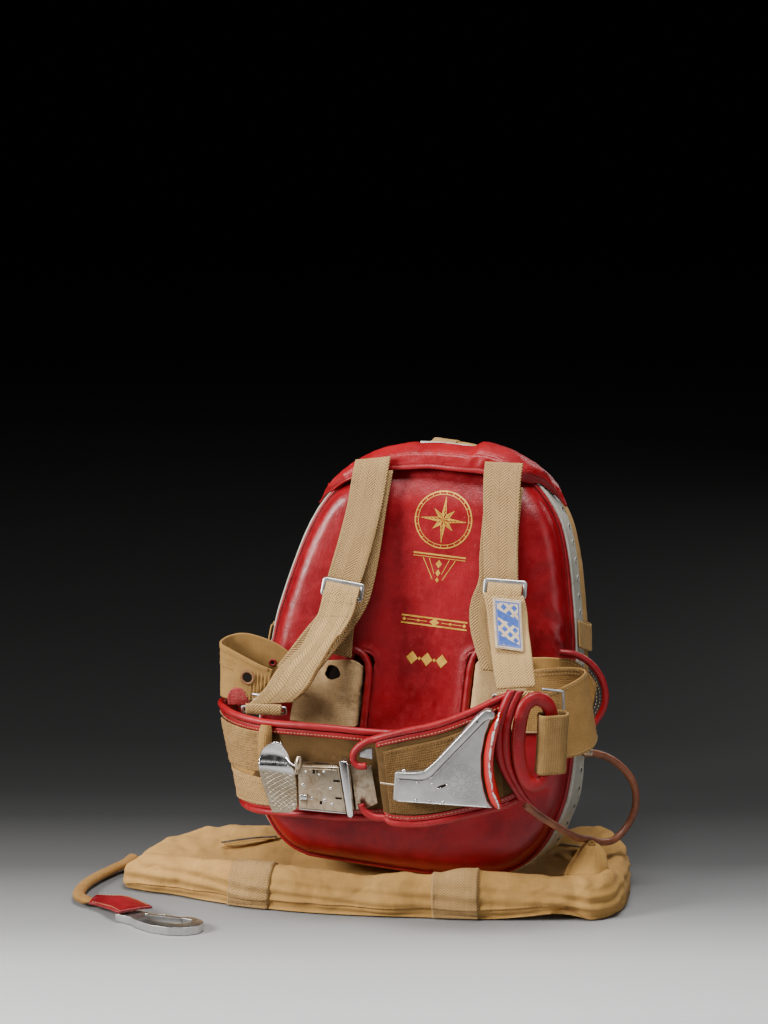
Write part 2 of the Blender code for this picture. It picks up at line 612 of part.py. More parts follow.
#  the box outline: foot at the left, slanted top to the upper right
LBOX = [(-56, 0.5), (-58, -33), (-54, -35.5), (57, -38), (50.5, -30), (46, -15), (43, 0), (42, 24), (46, 50),
        (51.5, 67), (56, 72), (53.5, 79), (46, 80), (36, 72), (-19, 5), (-27, 1), (-40, 0)]
prism_l("lever_box", LBOX, 0.0, 14.0, ALU, 1.6)
PIV_L = lp(60.5, 72, 7.0)                            # opening lever's pin at the top
LEV = [(64, 77.5), (61.5, 77.5), (59.0, 74.6), (57.6, 71), (53.7, 66), (48.4, 51), (44.4, 25), (45.4, 0), (48.5, -15),
       (54, -31.5), (61, -39), (68, -37), (63.5, -20), (59.6, -6), (57, 10), (57, 27), (60.4, 53), (64, 70)]
prism_l("opening_lever", LEV, 6.0, 10.5, ENAMEL, 1.2, joint=tuple(PIV_L))
# wire from the buckle side to the lever box
tube("pull_wire", [tuple(lp(-76, -17, 1.7)), tuple(lp(-69, -17.5, 2.6)), tuple(lp(-59.5, -18, 3.4))], 1.2,
     NICKEL, k=2)

# ---------------------------------------------------------------- leather end roll, ring, webbing
def roll_strip(name, rows, r, mat, k=2):
    """two leather rolls sewn side by side: section with two humps"""
    pts = catmull(rows, k)
    rings = []
    n = len(pts)
    for i, p in enumerate(pts):
        a, b = Vector(p[:3]), Vector(p[3:6])
        i0, i1 = max(0, i - 1), min(n - 1, i + 1)
        tan = (Vector(pts[i1][:3]) - Vector(pts[i0][:3])).normalized()
        ax = (b - a).normalized()
        nn = tan.cross(ax).normalized()
        if nn.y > 0:
            nn = -nn
        m = a.lerp(b, 0.5)
        rings.append([a - ax * r * 0.3, a - ax * r * 0.1 + nn * r * 0.7, a + ax * r * 0.7 + nn * r,
                      m + nn * r * 0.55, b - ax * r * 0.7 + nn * r, b + ax * r * 0.1 + nn * r * 0.7,
                      b + ax * r * 0.3, b - nn * r * 0.2, a - nn * r * 0.2])
    return loft(name, rings, mat, angle=60)


END = [(143, -199, 296, 158, -195, 294), (134, -203, 274, 149, -199, 272), (128, -205.5, 244, 144, -202, 244),
       (131, -205.5, 212, 147, -202, 208), (144, -202, 184, 158, -198, 178), (158, -198, 164, 170, -194, 158)]
roll_strip("end_roll_R", END, 6.0, RED)

# leather covered ring: centre line x, y, z and half width of the flattened cover
RING = [(158, -200, 266), (155, -202, 240), (156.5, -202, 212), (163, -199, 190), (174, -194, 182), (186, -188, 188),
        (192, -183, 206), (192, -182, 240), (190, -183, 266), (184, -187, 280), (173, -193, 285), (163, -198, 279)]
rp = catmull(RING, 2, cyclic=True)
rr = []
cen = Vector((174, -192, 234))
for i, p in enumerate(rp):
    p = Vector(p)
    tan = (Vector(rp[(i + 1) % len(rp)]) - Vector(rp[i - 1])).normalized()
    rad = (p - cen) - tan * (p - cen).dot(tan)
    rad.normalize()
    nn = tan.cross(rad).normalized()
    rr.append([p + rad * 8.5 * math.cos(2 * math.pi * s / 8) + nn * 6.0 * math.sin(2 * math.pi * s / 8)
               for s in range(8)])
loft("leather_ring", rr, RED, cyclic=True, angle=70)

# webbing looped round the ring's right bar
band_loop("ring_webbing", (192, -184, 231), (0.93, 0.36, 0.03), (0.04, -0.02, 1), (0.36, -0.93, 0), 36, 72, 27, 2.4,
          WEBBING)
# thin rectangular wire ring behind it
RECT = [(176, -157, 287), (198, -150, 284), (200, -149, 279), (200, -151, 205), (198, -152, 200), (178, -158, 201),
        (176, -159, 206)]
tube("rect_ring", [(176.5, -158, 288), (199, -151, 284.5), (200.8, -150.4, 282), (201.6, -151, 207), (199.8, -151.6, 203.6),
                   (186, -156, 204)], 1.7, NICKEL, k=1)

# canvas tab behind, with a red bound rounded end
TAB = [(150, -86, 308, 150, -87, 236), (178, -84, 309, 176, -84, 232), (204, -80, 305.5, 202, -80, 227),
       (221, -75, 292, 218, -75, 226), (233, -72, 274, 226, -72, 236)]
strip("back_tab", TAB, 2.4, CANVAS, k=2)
tube("back_tab_binding", [(188, -83.6, 315.5), (204, -81, 313.5), (220, -76.5, 305.5), (233, -71.5, 290.5), (241, -69, 272), (242.6, -69, 254),
      (237.5, -70, 238.5), (228, -73, 224)], 4.2, RED, k=2)


# ---------------------------------------------------------------- shoulder straps
def strap_pack(name, rows, mat=WEBBING, k=2, t=WEB):
    """rows in the pack frame: u_left w_left u_right w_right v_left v_right"""
    return strip(name, [(*pk(ul, vl, wl), *pk(ur, vr, wr)) for ul, wl, ur, wr, vl, vr in rows], t, mat, k=k)


#                 ul    wl    ur    wr    vl     vr
strap_pack("strap_L_upper", [(-115, 497, -71.5, 506, -40.5, -41.5), (-115, 478, -71.5, 484, -50, -50),
                             (-116, 440, -73, 442, -57, -57), (-120, 400, -77, 400, -65, -64),
                             (-125, 366, -83, 362, -71, -70), (-127, 352, -86, 349, -72.5, -71.5)])
strap_pack("strap_L_rear", [(-109, 484, -66, 490, -45.2, -45.2), (-111, 440, -68, 441, -50.0, -50.0),
                            (-113, 400, -69, 398, -54.5, -53.5), (-117, 362, -71, 358, -58, -57),
                            (-124, 334, -77, 322, -61, -60), (-134, 308, -94, 286, -66, -66),
                            (-149, 282, -112, 256, -76, -76), (-163, 256, -128, 230, -88, -88),
                            (-172, 240, -141, 212, -96, -96)])
strap_pack("anchor_L", [(-118, 320, -90, 320, -52, -52), (-119, 300, -91, 300, -52, -52),
                        (-120, 275, -91, 278, -52.6, -52.6), (-120, 258, -90, 256, -52.8, -52.8)])
#  front layer, world mm: left edge, right edge
strip("strap_L_lower", [(*pk(-128, -82.5, 337), *pk(-85, -82.5, 335.5)), (-102.6, -108, 358.5, -59.7, -108, 359.1), (-111.7, -120, 337.7, -68.9, -120, 340.3),
        (-120.5, -133, 319.8, -81, -132, 321.2), (-144.5, -147, 296, -93.5, -144, 297.5), (-160, -153, 271.5, -106.6, -151, 274.5),
        (-181.7, -154.5, 249.5, -125.5, -151.5, 256)], WEB, WEBBING, k=2)

strap_pack("strap_R_upper", [(44.5, 513.5, 91, 516.8, -40.5, -40.5), (46.5, 490, 92, 492, -50, -50),
                             (52, 450, 96, 450, -57, -57), (57, 415, 100, 414, -65, -65),
                             (62, 388, 104, 388, -71, -71), (64, 372, 106, 373, -73, -73)])
strap_pack("strap_R_rear", [(50, 486, 95, 488, -45.2, -45.2), (51, 440, 96, 440, -50, -50), (53, 400, 97, 400, -56, -55),
                            (56, 372, 100, 370, -60, -58), (50, 344, 98, 344, -64, -61), (52, 318, 100, 318, -67, -66),
                            (62, 292, 108, 292, -74, -74), (76, 266, 120, 268, -85, -85)])
strip("strap_R_lower", [(*pk(66, -83, 359), *pk(116, -83, 360)), (102.4, -107, 369.2, 151.4, -107, 369.4), (107.2, -121, 348.0, 155.2, -121, 350.5),
        (112.0, -137, 331.5, 160.0, -137, 335.5), (116.6, -151, 314, 164.0, -150, 320.5), (122, -164, 296, 168.4, -161, 301.5),
        (124.4, -169, 288.0, 170, -165.5, 292.5)], WEB, WEBBING, k=2)


# adjuster frames, in the pack frame: flat rectangular frames with a window
def frame_plate(name, centre, ex, ez, ey, w, h, bar, depth, mat):
    """closed rectangular frame made as one loft round its window"""
    C, X, Z, Y = (Vector(centre), Vector(ex).normalized(), Vector(ez).normalized(), Vector(ey).normalized())
    rings = []
    for sx, sz in ((-1, -1), (1, -1), (1, 1), (-1, 1)):
        o = C + X * sx * w / 2 + Z * sz * h / 2
        q = C + X * sx * (w / 2 - bar) + Z * sz * (h / 2 - bar)
        rings.append([o + Y * depth / 2, o - Y * depth / 2, q - Y * depth / 2, q + Y * depth / 2])
    return loft(name, rings, mat, cyclic=True, angle=30)


R3 = M_PACK.to_3x3()


def adjuster(name, u, v, w, ang, tilt):
    a = math.radians(ang)
    ex = R3 @ Vector((math.cos(a), 0, math.sin(a)))
    ez = R3 @ Vector((-math.sin(a) * math.cos(tilt), math.sin(tilt), math.cos(a) * math.cos(tilt)))
    ey = ex.cross(ez)
    return frame_plate(name, pk(u, v, w), ex, ez, ey, 53, 23, 4.2, 2.4, ALU)


adjuster("adjuster_L", -105.6, -77.6, 340.2, -3.6, math.radians(6))
adjuster("adjuster_R", 91.5, -78.4, 366, 2.6, math.radians(4))

# metal slides that take the ends of the lower straps (world mm)
SL = (Vector((-160.0, -156.6, 246.0)), Vector((0.998, 0.06, 0.0)), Vector((0.0, -0.35, 0.93)))
SR = (Vector((148, -176, 281)), Vector((0.99, 0.10, 0.06)), Vector((-0.05, -0.35, 0.93)))
for nm, (c, ex, ez) in (("strap_slide_L", SL), ("strap_slide_R", SR)):
    ez = (ez - ex.normalized() * ez.dot(ex.normalized())).normalized()
    frame_plate(nm, c, ex, ez, ex.cross(ez), 56, 12, 3.0, 2.4, ALU)

# woven label on the right lower strap
strip("woven_label", [(109.6, -106.2, 385.0, 144.2, -106.6, 382.2), (113.6, -122.2, 357.4, 148.0, -123.2, 354.4),
                      (119.4, -145.4, 332.6, 153.0, -147.4, 329.4)], 1.2, CANVAS, k=2)

# ---------------------------------------------------------------- hose
HOSE_ROUTE = [(161, -176.5, 151), (177, -164, 134.5), (196, -141, 115), (214, -106, 93), (225, -72, 80.5), (238, -42, 68),
              (252, -22, 66), (266, -6, 79), (275, -2, 100), (276, -6, 124), (268, -14, 147), (252, -24, 166),
              (234, -36, 178), (215, -50, 184)]
tube("hose", HOSE_ROUTE, HOSE_D / 2, HOSE, k=2)

# ---------------------------------------------------------------- carrying bag
# one solid, sections along x:  x  y_front y_rear  roll_top  middle  rear_top  lift_front
BAG = [(-352, -118, -38, 16, 14, 14, 4), (-344, -134, -8, 32, 22, 22, 0), (-320, -144, 18, 42, 30, 30, 0),
       (-280, -149, 58, 46, 27, 34, 0), (-235, -162, 80, 48, 20, 32, 0), (-180, -173, 92, 50, 14, 30, 0),
       (-110, -180, 98, 50, 11.5, 28, 0), (-30, -178, 104, 46.5, 11.5, 26, 0), (50, -170, 112, 51.5, 11.5, 28, 0),
       (115, -163, 120, 54, 12, 30, 0), (165, -156, 130, 52, 18, 34, 4), (205, -150, 138, 51, 30, 40, 8),
       (236, -143, 108, 54, 42, 44, 0), (256, -130, 60, 54, 44, 42, 0), (268, -106, 14, 40, 36, 32, 0),
       (273, -86, -22, 18, 16, 14, 4)]
bag_rings = []
for x, yf, yr, zr, zm, zb, lift in catmull(BAG, 2):
    lift = max(0.0, lift)
    d = yr - yf
    m = min(1.0, d / 150.0)
    bag_rings.append([
        (x, yf + 14 * m, lift), (x, yf + 3 * m, 6 * m + lift), (x, yf, zr * 0.40 + lift * 0.6),
        (x, yf + 5 * m, zr * 0.78), (x, yf + 16 * m, zr), (x, yf + 29 * m, zr * 0.97),
        (x, yf + 42 * m, zm + (zr - zm) * 0.5), (x, yf + 56 * m, zm), (x, yf + d * 0.52 + 8 * m, zm),
        (x, yr - d * 0.24, zm + (zb - zm) * 0.45), (x, yr - d * 0.12, zb * 0.97), (x, yr - 7 * m, zb * 0.86),
        (x, yr, zb * 0.42), (x, yr - 5 * m, 4 * m), (x, yr - 14 * m, 0), (x, yf + d * 0.45, 0)])
loft("bag", bag_rings, CANVAS, angle=50)


def bag_section(x):
    """the bag's front roll at x: y, z pairs from under the front to the pack's foot"""
    rows = catmull(BAG, 8)
    r = min(rows, key=lambda q: abs(q[0] - x))
    _, yf, yr, zr, zm, zb, lift = r
    m = min(1.0, (yr - yf) / 150.0)
    return [(yf + 3 * m, 7 * m + lift), (yf, zr * 0.40 + lift * 0.6), (yf + 5 * m, zr * 0.78), (yf + 16 * m, zr),
            (yf + 29 * m, zr * 0.97), (yf + 42 * m, zm + (zr - zm) * 0.5), (yf + 54 * m, zm + 1)]


def bag_band(name, x0, x1):
    a, b = bag_section(x0), bag_section(x1)
    rows = []
    for k, (p, q) in enumerate(zip(a, b)):
        # push out of the roll along its own normal
        i0, i1 = max(0, k - 1), min(len(a) - 1, k + 1)
        def out(s, c):
            ty, tz = s[i1][0] - s[i0][0], s[i1][1] - s[i0][1]
            L = math.hypot(ty, tz)
            return c[0] - tz / L * 2.9, c[1] + ty / L * 2.9
        p2, q2 = out(a, p), out(b, q)
        rows.append((x0, p2[0], p2[1], x1, q2[0], q2[1]))
    return strip(name, rows, 2.0, WEBBING, k=1)


bag_band("bag_band_L", -203, -150)
bag_band("bag_band_R", 46, 103)

# raised corner at the right, gathered and tied
TIP = [  # x, y, z, radius across, radius along
    (228, -96, 57, 19, 22), (229, -92, 63, 15, 17), (230, -87, 70, 10, 12), (231, -83, 75, 7, 8), (231, -81, 78, 3.5, 4)]
loft("bag_corner", [[(x + a * math.cos(2 * math.pi * s / 10), y + b * math.sin(2 * math.pi * s / 10),
                      z) for s in range(10)] for x, y, z, a, b in TIP], CANVAS, angle=60)

# zip along the bag, showing left and right of the pack
tube("bag_zip_L", [(-250, -20, 30.5), (-232, -2, 29.5), (-212, 14, 28.6), (-190, 30, 26.5)], 2.0, NICKEL, k=2)

# ---------------------------------------------------------------- static line (world mm)
LINE = [(-361, -44, 13), (-366, -60, 10), (-377, -82, 8.5), (-387, -112, 8), (-393, -144, 8), (-392, -172, 8),
        (-386, -191, 8), (-375, -201, 8)]
tube("static_line", LINE, 7.0, WEBBING, k=3)
strip("static_tab", [(-366, -187, 9, -367, -214, 9), (-348, -188, 10.5, -351, -223, 10), (-327, -195, 13.4, -336, -239, 13),
                     (-303, -212, 14.6, -325, -250, 14), (-281, -233, 15.5, -317, -255, 14.5)], 3.6, RED, k=2)
# snap hook lying flat: body with a shank, a bow to the near side and a gate on the far side
HK = Vector((-300, -246, 0))
HXD = Vector((0.995, -0.10, 0)).normalized()
HYD = Vector((0.10, 0.995, 0)).normalized()
HOOK = [(-24, -5), (-25, 9), (-20, 13), (4, 13.5), (9.6, 11), (10, 3), (13, -4), (24, -12), (40, -17.5), (58, -18), (70, -13),
        (76, -5), (74, 0.5), (66, 2.0), (60, 2.6), (60, 9.6), (72, 10), (84, 5), (91, -5), (88, -18), (76, -28), (56, -33),
        (32, -30), (12, -21), (0, -12), (-12, -8)]
poly_prism("hook_body", HOOK, (HK.x, HK.y, 0.8), HXD, HYD, (0, 0, 1), 9.6, ALU, 1.6, 2)
GPIN = HK + HXD * 13.0 + HYD * 7.2 + Vector((0, 0, 5.6))
GATE = [(11.4, 4.2), (10.6, 6.2), (10.6, 8.6), (11.8, 11.2), (24, 13), (30, 15.5), (34, 15.2), (40, 11.6), (59.3, 9.2),
        (59.3, 3.6), (44, 4.2), (26, 5.0)]
poly_prism("hook_gate", GATE, (HK.x, HK.y, 2.0), HXD, HYD, (0, 0, 1), 7.2, ALU, 1.0, 1, joint=tuple(GPIN))

# round-topped leather tab inside the left end of the belt, and the right end of the bag's zip
TABL = [(-208.5, 246.5), (-181.5, 246.5), (-180.5, 256), (-184, 264), (-191, 268.5), (-198.5, 268.5), (-205.5, 264.5),
        (-209, 256)]
poly_prism("tab_L", TABL, (0, -141.0, 0), (1, 0.03, 0), (0, 0, 1), (0.03, -1, 0), 2.4, RED, 0.6, 1)
tube("bag_zip_R", [(176, 52, 31.5), (194, 38, 34.5), (211, 22, 38)], 2.0, NICKEL, k=2)

# ---------------------------------------------------------------- origin under the bounding box
for ob in list(part.objects) + list(cutters.objects):
    if ob.parent is None:
        ob.location += Vector(SHIFT) * MM
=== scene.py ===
"""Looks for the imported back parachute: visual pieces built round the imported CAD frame.
Tables are in millimetres in the part's own design frame; OFF carries them to the row frame."""
import bpy, bmesh, json, math
import numpy as np
from mathutils import Vector, Matrix

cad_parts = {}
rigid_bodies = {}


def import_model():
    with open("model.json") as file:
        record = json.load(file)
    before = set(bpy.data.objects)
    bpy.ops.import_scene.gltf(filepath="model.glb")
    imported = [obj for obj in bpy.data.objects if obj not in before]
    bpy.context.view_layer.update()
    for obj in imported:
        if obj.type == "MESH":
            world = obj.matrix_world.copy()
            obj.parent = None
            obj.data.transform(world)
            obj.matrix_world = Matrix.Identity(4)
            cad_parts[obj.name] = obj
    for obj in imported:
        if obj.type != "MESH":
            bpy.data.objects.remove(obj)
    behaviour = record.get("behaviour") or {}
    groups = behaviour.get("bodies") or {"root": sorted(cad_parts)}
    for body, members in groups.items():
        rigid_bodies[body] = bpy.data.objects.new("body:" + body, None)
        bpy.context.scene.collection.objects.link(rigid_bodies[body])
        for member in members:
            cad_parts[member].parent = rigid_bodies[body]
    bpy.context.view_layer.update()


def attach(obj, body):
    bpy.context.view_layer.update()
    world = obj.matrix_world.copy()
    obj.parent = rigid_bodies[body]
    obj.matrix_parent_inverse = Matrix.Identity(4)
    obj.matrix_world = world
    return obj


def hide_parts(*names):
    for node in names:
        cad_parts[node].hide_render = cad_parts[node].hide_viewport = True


for ob in list(bpy.data.objects):                  # the startup scene's cube, light and camera
    bpy.data.objects.remove(ob)
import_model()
scene = bpy.context.scene
OFF = np.array((39.5, 47.7, 0.0))
BODY = "pack"
UVN = "weave"


# ------------------------------------------------------------------ camera
def row(x, y, z):
    """design frame mm -> row frame metres"""
    return (np.array((x, y, z), float) + OFF) * 0.001


def make_camera():
    c = np.array((0.5209 + OFF[0] / 1000, -2.9544 + OFF[1] / 1000, 1.0))
    t = np.array((-0.04136 + OFF[0] / 1000, -0.00729 + OFF[1] / 1000, 0.466))
    f = (t - c) / np.linalg.norm(t - c)
    r = np.cross(f, (0, 0, 1.0)); r /= np.linalg.norm(r)
    u = np.cross(r, f)
    cam = bpy.data.cameras.new("camera")
    cam.sensor_width = 36.0
    cam.lens = 36.0 * 2460 / 1024
    ob = bpy.data.objects.new("camera", cam)
    scene.collection.objects.link(ob)
    m = Matrix((r, u, -f)).transposed().to_4x4()
    ob.matrix_world = Matrix.Translation(Vector(c)) @ m
    cam.clip_start, cam.clip_end = 0.05, 50
    scene.camera = ob


make_camera()

# ------------------------------------------------------------------ numbers
LEAN, ROLL = math.radians(8.0), math.radians(5.0)
PACK_AT = np.array((-0.5, -65.0, 28.8))
_rx = np.array(((1, 0, 0), (0, math.cos(LEAN), math.sin(LEAN)), (0, -math.sin(LEAN), math.cos(LEAN))))
_ry = np.array(((math.cos(ROLL), 0, math.sin(ROLL)), (0, 1, 0), (-math.sin(ROLL), 0, math.cos(ROLL))))
R_PACK = _rx @ _ry


def pk(p):
    """pack frame (u, v, w) mm -> design frame mm"""
    return np.asarray(p, float) @ R_PACK.T + PACK_AT


def pkn(n):
    return np.asarray(n, float) @ R_PACK.T


def unit(v):
    v = np.asarray(v, float)
    return v / np.maximum(np.linalg.norm(v, axis=-1, keepdims=True), 1e-9)


def catmull(rows, k, cyclic=False):
    R = np.asarray(rows, float)
    n = len(R)
    t = (np.arange(k) / k).reshape((-1,) + (1,) * (R.ndim - 1))
    out = []
    for i in range(n if cyclic else n - 1):
        if cyclic:
            a, b, c, d = (R[(i + j - 1) % n] for j in range(4))
        else:
            a, b, c, d = R[max(0, i - 1)], R[i], R[i + 1], R[min(n - 1, i + 2)]
        out.append(0.5 * (2 * b + (c - a) * t + (2 * a - 5 * b + 4 * c - d) * t * t
                          + (3 * b - a - 3 * c + d) * t ** 3))
    if not cyclic:
        out.append(R[-1:])
    return np.concatenate(out)


def arc(P, cyclic=False):
    Q = np.vstack([P, P[:1]]) if cyclic else P
    return np.concatenate([[0], np.cumsum(np.linalg.norm(np.diff(Q, axis=0), axis=1))])


def resample(P, n=None, step=None, cyclic=False, key=3):
    """rows spread evenly along the line of their first `key` columns"""
    P = np.asarray(P, float)
    s = arc(P[:, :key], cyclic)
    Q = np.vstack([P, P[:1]]) if cyclic else P
    if n is None:
        n = max(2, int(round(s[-1] / step)) + (0 if cyclic else 1))
    t = np.linspace(0, s[-1], n + 1)[:-1] if cyclic else np.linspace(0, s[-1], n)
    return np.stack([np.interp(t, s, Q[:, c]) for c in range(P.shape[1])], 1)


def sstep(a, b, x):
    t = np.clip((np.asarray(x, float) - a) / (b - a), 0, 1)
    return t * t * (3 - 2 * t)


def bump(x, c, w):
    return np.exp(-((np.asarray(x, float) - c) / w) ** 2)


def vnoise(P, size, seed=0):
    """smooth lattice noise in -1..1; size in mm, one number or one an axis"""
    q = np.asarray(P, float) / np.asarray(size, float) + np.array((seed * 13.7 + 0.31, seed * 7.9 + 0.77, seed * 3.3 + 0.53))
    i = np.floor(q).astype(np.int64)
    f = q - i
    f = f * f * f * (f * (f * 6 - 15) + 10)
    out = 0
    for dx in (0, 1):
        for dy in (0, 1):
            for dz in (0, 1):
                n = ((i[..., 0] + dx) * 73856093) ^ ((i[..., 1] + dy) * 19349663) ^ ((i[..., 2] + dz) * 83492791)
                n = (n ^ (n >> 13)) & 0x7fffffff
                n = (n * 1274126177) & 0x7fffffff
                n = (n ^ (n >> 15)) & 0xffff
                w = ((f[..., 0] if dx else 1 - f[..., 0]) * (f[..., 1] if dy else 1 - f[..., 1])
                     * (f[..., 2] if dz else 1 - f[..., 2]))
                out = out + w * (n / 32767.5 - 1)
    return out


def fbm(P, size, octaves=3, seed=0, fall=0.5):
    out, a, s = 0, 1.0, np.asarray(size, float)
    for o in range(octaves):
        out = out + a * vnoise(P, s, seed + o * 5)
        a *= fall
        s = s / 2.03
    return out


def creases(P, size, seed=0, sharp=6.0):
    """thin soft valleys: 1 in the valley, 0 away from it"""
    return np.exp(-np.abs(fbm(P, size, 2, seed)) * sharp)


# ------------------------------------------------------------------ meshes
def mesh_object(name, verts, faces, mat, uv=None, body=BODY, replaces=(), slot=None, smooth=True, angle=None,
                fix=True):
    me = bpy.data.meshes.new(name)
    me.from_pydata(((np.asarray(verts, float) + OFF) * 0.001).tolist(), [], [list(map(int, f)) for f in faces])
    if uv is not None:
        layer = me.uv_layers.new(name=UVN)
        layer.uv.foreach_set("vector", (np.asarray(uv, np.float32) * 0.001).ravel())
    if fix:
        bm = bmesh.new()
        bm.from_mesh(me)
        bmesh.ops.recalc_face_normals(bm, faces=bm.faces)
        bm.to_mesh(me)
        bm.free()
    if smooth:
        me.shade_smooth()
        if angle is not None:
            me.set_sharp_from_angle(angle=math.radians(angle))
    ob = bpy.data.objects.new(name, me)
    scene.collection.objects.link(ob)
    me.materials.append(mat)
    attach(ob, body)
    if replaces:
        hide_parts(*([replaces] if isinstance(replaces, str) else replaces))
    return ob


def grid_faces(nu, nv, cu, cv):
    I, J = np.meshgrid(np.arange(nu if cu else nu - 1), np.arange(nv if cv else nv - 1), indexing="ij")
    I, J = I.ravel(), J.ravel()
    I2, J2 = (I + 1) % nu, (J + 1) % nv
    F = np.stack([I * nv + J, I2 * nv + J, I2 * nv + J2, I * nv + J2], 1)
    return F, I, J


def grid(name, P, mat, cu=False, cv=False, U=None, V=None, caps=False, **kw):
    """surface through a grid of points; U, V: texture mm along the rows and columns, 1-D or full grids"""
    P = np.asarray(P, float)
    nu, nv = P.shape[:2]
    F, I, J = grid_faces(nu, nv, cu, cv)
    if U is None:
        U = arc(P.mean(1), cu)
    if V is None:
        V = arc(P.mean(0) if not cv else P[nu // 2], cv)
    U, V = np.asarray(U, float), np.asarray(V, float)
    def tex(A, i, j, axis):
        return A[i, j] if A.ndim == 2 else A[i if axis == 0 else j]
    uv = []
    for di, dj in ((0, 0), (1, 0), (1, 1), (0, 1)):
        i, j = I + di, J + dj
        i = i if (U.ndim == 1 and len(U) > nu) or not cu else i % nu
        ju = j if (V.ndim == 1 and len(V) > nv) or not cv else j % nv
        a = tex(U, i, ju % U.shape[1] if U.ndim == 2 else j, 0)
        b = tex(V, i % nu, ju, 1)
        uv.append(np.stack([a, b], 1))
    uv = np.stack(uv, 1).reshape(-1, 2)
    faces = F.tolist()
    if caps and cv and not cu:
        for r in (0, nu - 1):
            faces.append([r * nv + j for j in range(nv)])
            a = U[r] if U.ndim == 1 else U[r, 0]
            uv = np.vstack([uv, np.stack([np.full(nv, a), np.resize(V[:nv] if V.ndim == 1 else V[r, :nv], nv)], 1)])
    return mesh_object(name, P.reshape(-1, 3), faces, mat, uv, **kw)


class Ribbon:
    """a strap: rows ax ay az bx by bz (its two edges, mm), rebuilt at even steps"""

    def __init__(s, rows, t, step=3.0, across=12, wave=None, k=10, cyclic=False, front=(0, -1, 0), edge=1.1,
                 front_at=None):
        D = catmull(rows, k, cyclic)
        mid = (D[:, :3] + D[:, 3:]) / 2
        D = np.hstack([mid, D])
        D = resample(D, step=step, cyclic=cyclic)
        s.cyclic, s.t, s.edge = cyclic, t, edge
        s.mid, s.A, s.B = D[:, :3], D[:, 3:6], D[:, 6:9]
        s.S = arc(s.mid, cyclic)
        if cyclic:
            tan = unit(np.roll(s.mid, -1, 0) - np.roll(s.mid, 1, 0))
        else:
            tan = unit(np.gradient(s.mid, axis=0))
        s.wd = s.B - s.A
        s.width = float(np.linalg.norm(s.wd, axis=1).mean())
        n = unit(np.cross(tan, s.wd))
        seen = n if front_at is None else n[int(front_at * (len(n) - 1))][None]
        if (seen @ np.asarray(front, float)).mean() < 0:
            n = -n
        s.n, s.tan = n, tan
        e = np.array((0, 0.5, 1.2, 2.4)) / s.width
        c = np.concatenate([e, np.linspace(0, 1, across + 1)[1:-1], 1 - e[::-1]])
        s.C = np.unique(np.clip(c, 0, 1).round(5))
        s.wave = wave
        s.length = float(s.S[-1])

    def off(s, S, C):
        return 0.0 if s.wave is None else s.wave(S, C)

    def half(s, C):
        d = np.minimum(C, 1 - C) * s.width / s.edge
        return s.t / 2 * np.sqrt(np.clip(1 - (1 - np.clip(d, 0, 1)) ** 2, 0.04, 1))

    def at(s, S, C, h=0.0):
        """point at S mm along, C 0..1 across, h mm off the middle surface, and the normal there"""
        S, C = np.broadcast_arrays(np.asarray(S, float), np.asarray(C, float))
        SS = s.S[:len(s.A)]
        g = lambda M: np.stack([np.interp(S, SS, M[:, i]) for i in range(3)], -1)
        n = unit(g(s.n))
        return g(s.A) + g(s.wd) * C[..., None] + n * (np.asarray(s.off(S, C)) + h)[..., None], n

    def mesh(s, name, mat, taper=True, **kw):
        SS = s.S[:len(s.A)][:, None]
        CC = s.C[None, :]
        o = np.broadcast_to(s.off(SS, CC), (len(s.A), len(s.C)))
        h = np.broadcast_to(s.half(s.C)[None, :], o.shape).copy()
        if not s.cyclic and taper:
            h[0] *= 0.55
            h[-1] *= 0.55
        base = s.A[:, None] + s.wd[:, None] * CC[..., None]
        top = base + s.n[:, None] * (o + h)[..., None]
        low = base + s.n[:, None] * (o - h)[..., None]
        P = np.concatenate([top, low[:, ::-1]], 1)
        cm = s.C * s.width
        V = np.concatenate([cm, cm[::-1], cm[:1]])
        U = s.S if s.cyclic else s.S
        return grid(name, P, mat, cu=s.cyclic, cv=True, U=U, V=V, caps=not s.cyclic, **kw)


def tube(name, pts, r, mat, k=6, cyclic=False, sides=10, step=2.5, profile=None, **kw):
    """round roll along a line; r a number or a function of the share along it; profile is not used"""
    D = resample(catmull(pts, k, cyclic), step=step, cyclic=cyclic)
    if cyclic:
        tan = unit(np.roll(D, -1, 0) - np.roll(D, 1, 0))
    else:
        tan = unit(np.gradient(D, axis=0))
    ref = np.array((0, 0, 1.0)) if abs(tan[0][2]) < 0.9 else np.array((1.0, 0, 0))
    a = unit(np.cross(tan[0], ref))
    frames = []
    for tg in tan:
        a = unit(a - tg * (a @ tg))
        frames.append((a, np.cross(tg, a)))
    if cyclic:                                     # close the twist
        a0, _ = frames[0]
        tg = tan[0]
        ae = unit(frames[-1][0] - tg * (frames[-1][0] @ tg))
        ang = math.atan2(np.cross(ae, a0) @ tg, ae @ a0)
        for i, (x, y) in enumerate(frames):
            g = ang * i / len(frames)
            frames[i] = (x * math.cos(g) + y * math.sin(g), y * math.cos(g) - x * math.sin(g))
    g = 2 * np.pi * np.arange(sides) / sides
    s = arc(D, cyclic)
    P = []
    for i, (x, y) in enumerate(frames):
        rr = r(s[i] / s[-1]) if callable(r) else r
        P.append(D[i] + rr * (np.cos(g)[:, None] * x + np.sin(g)[:, None] * y))
    R0 = r if not callable(r) else r(0.5)
    V = np.concatenate([g, [2 * np.pi]]) * R0
    return grid(name, np.array(P), mat, cu=cyclic, cv=True, U=s, V=V, caps=not cyclic, **kw)


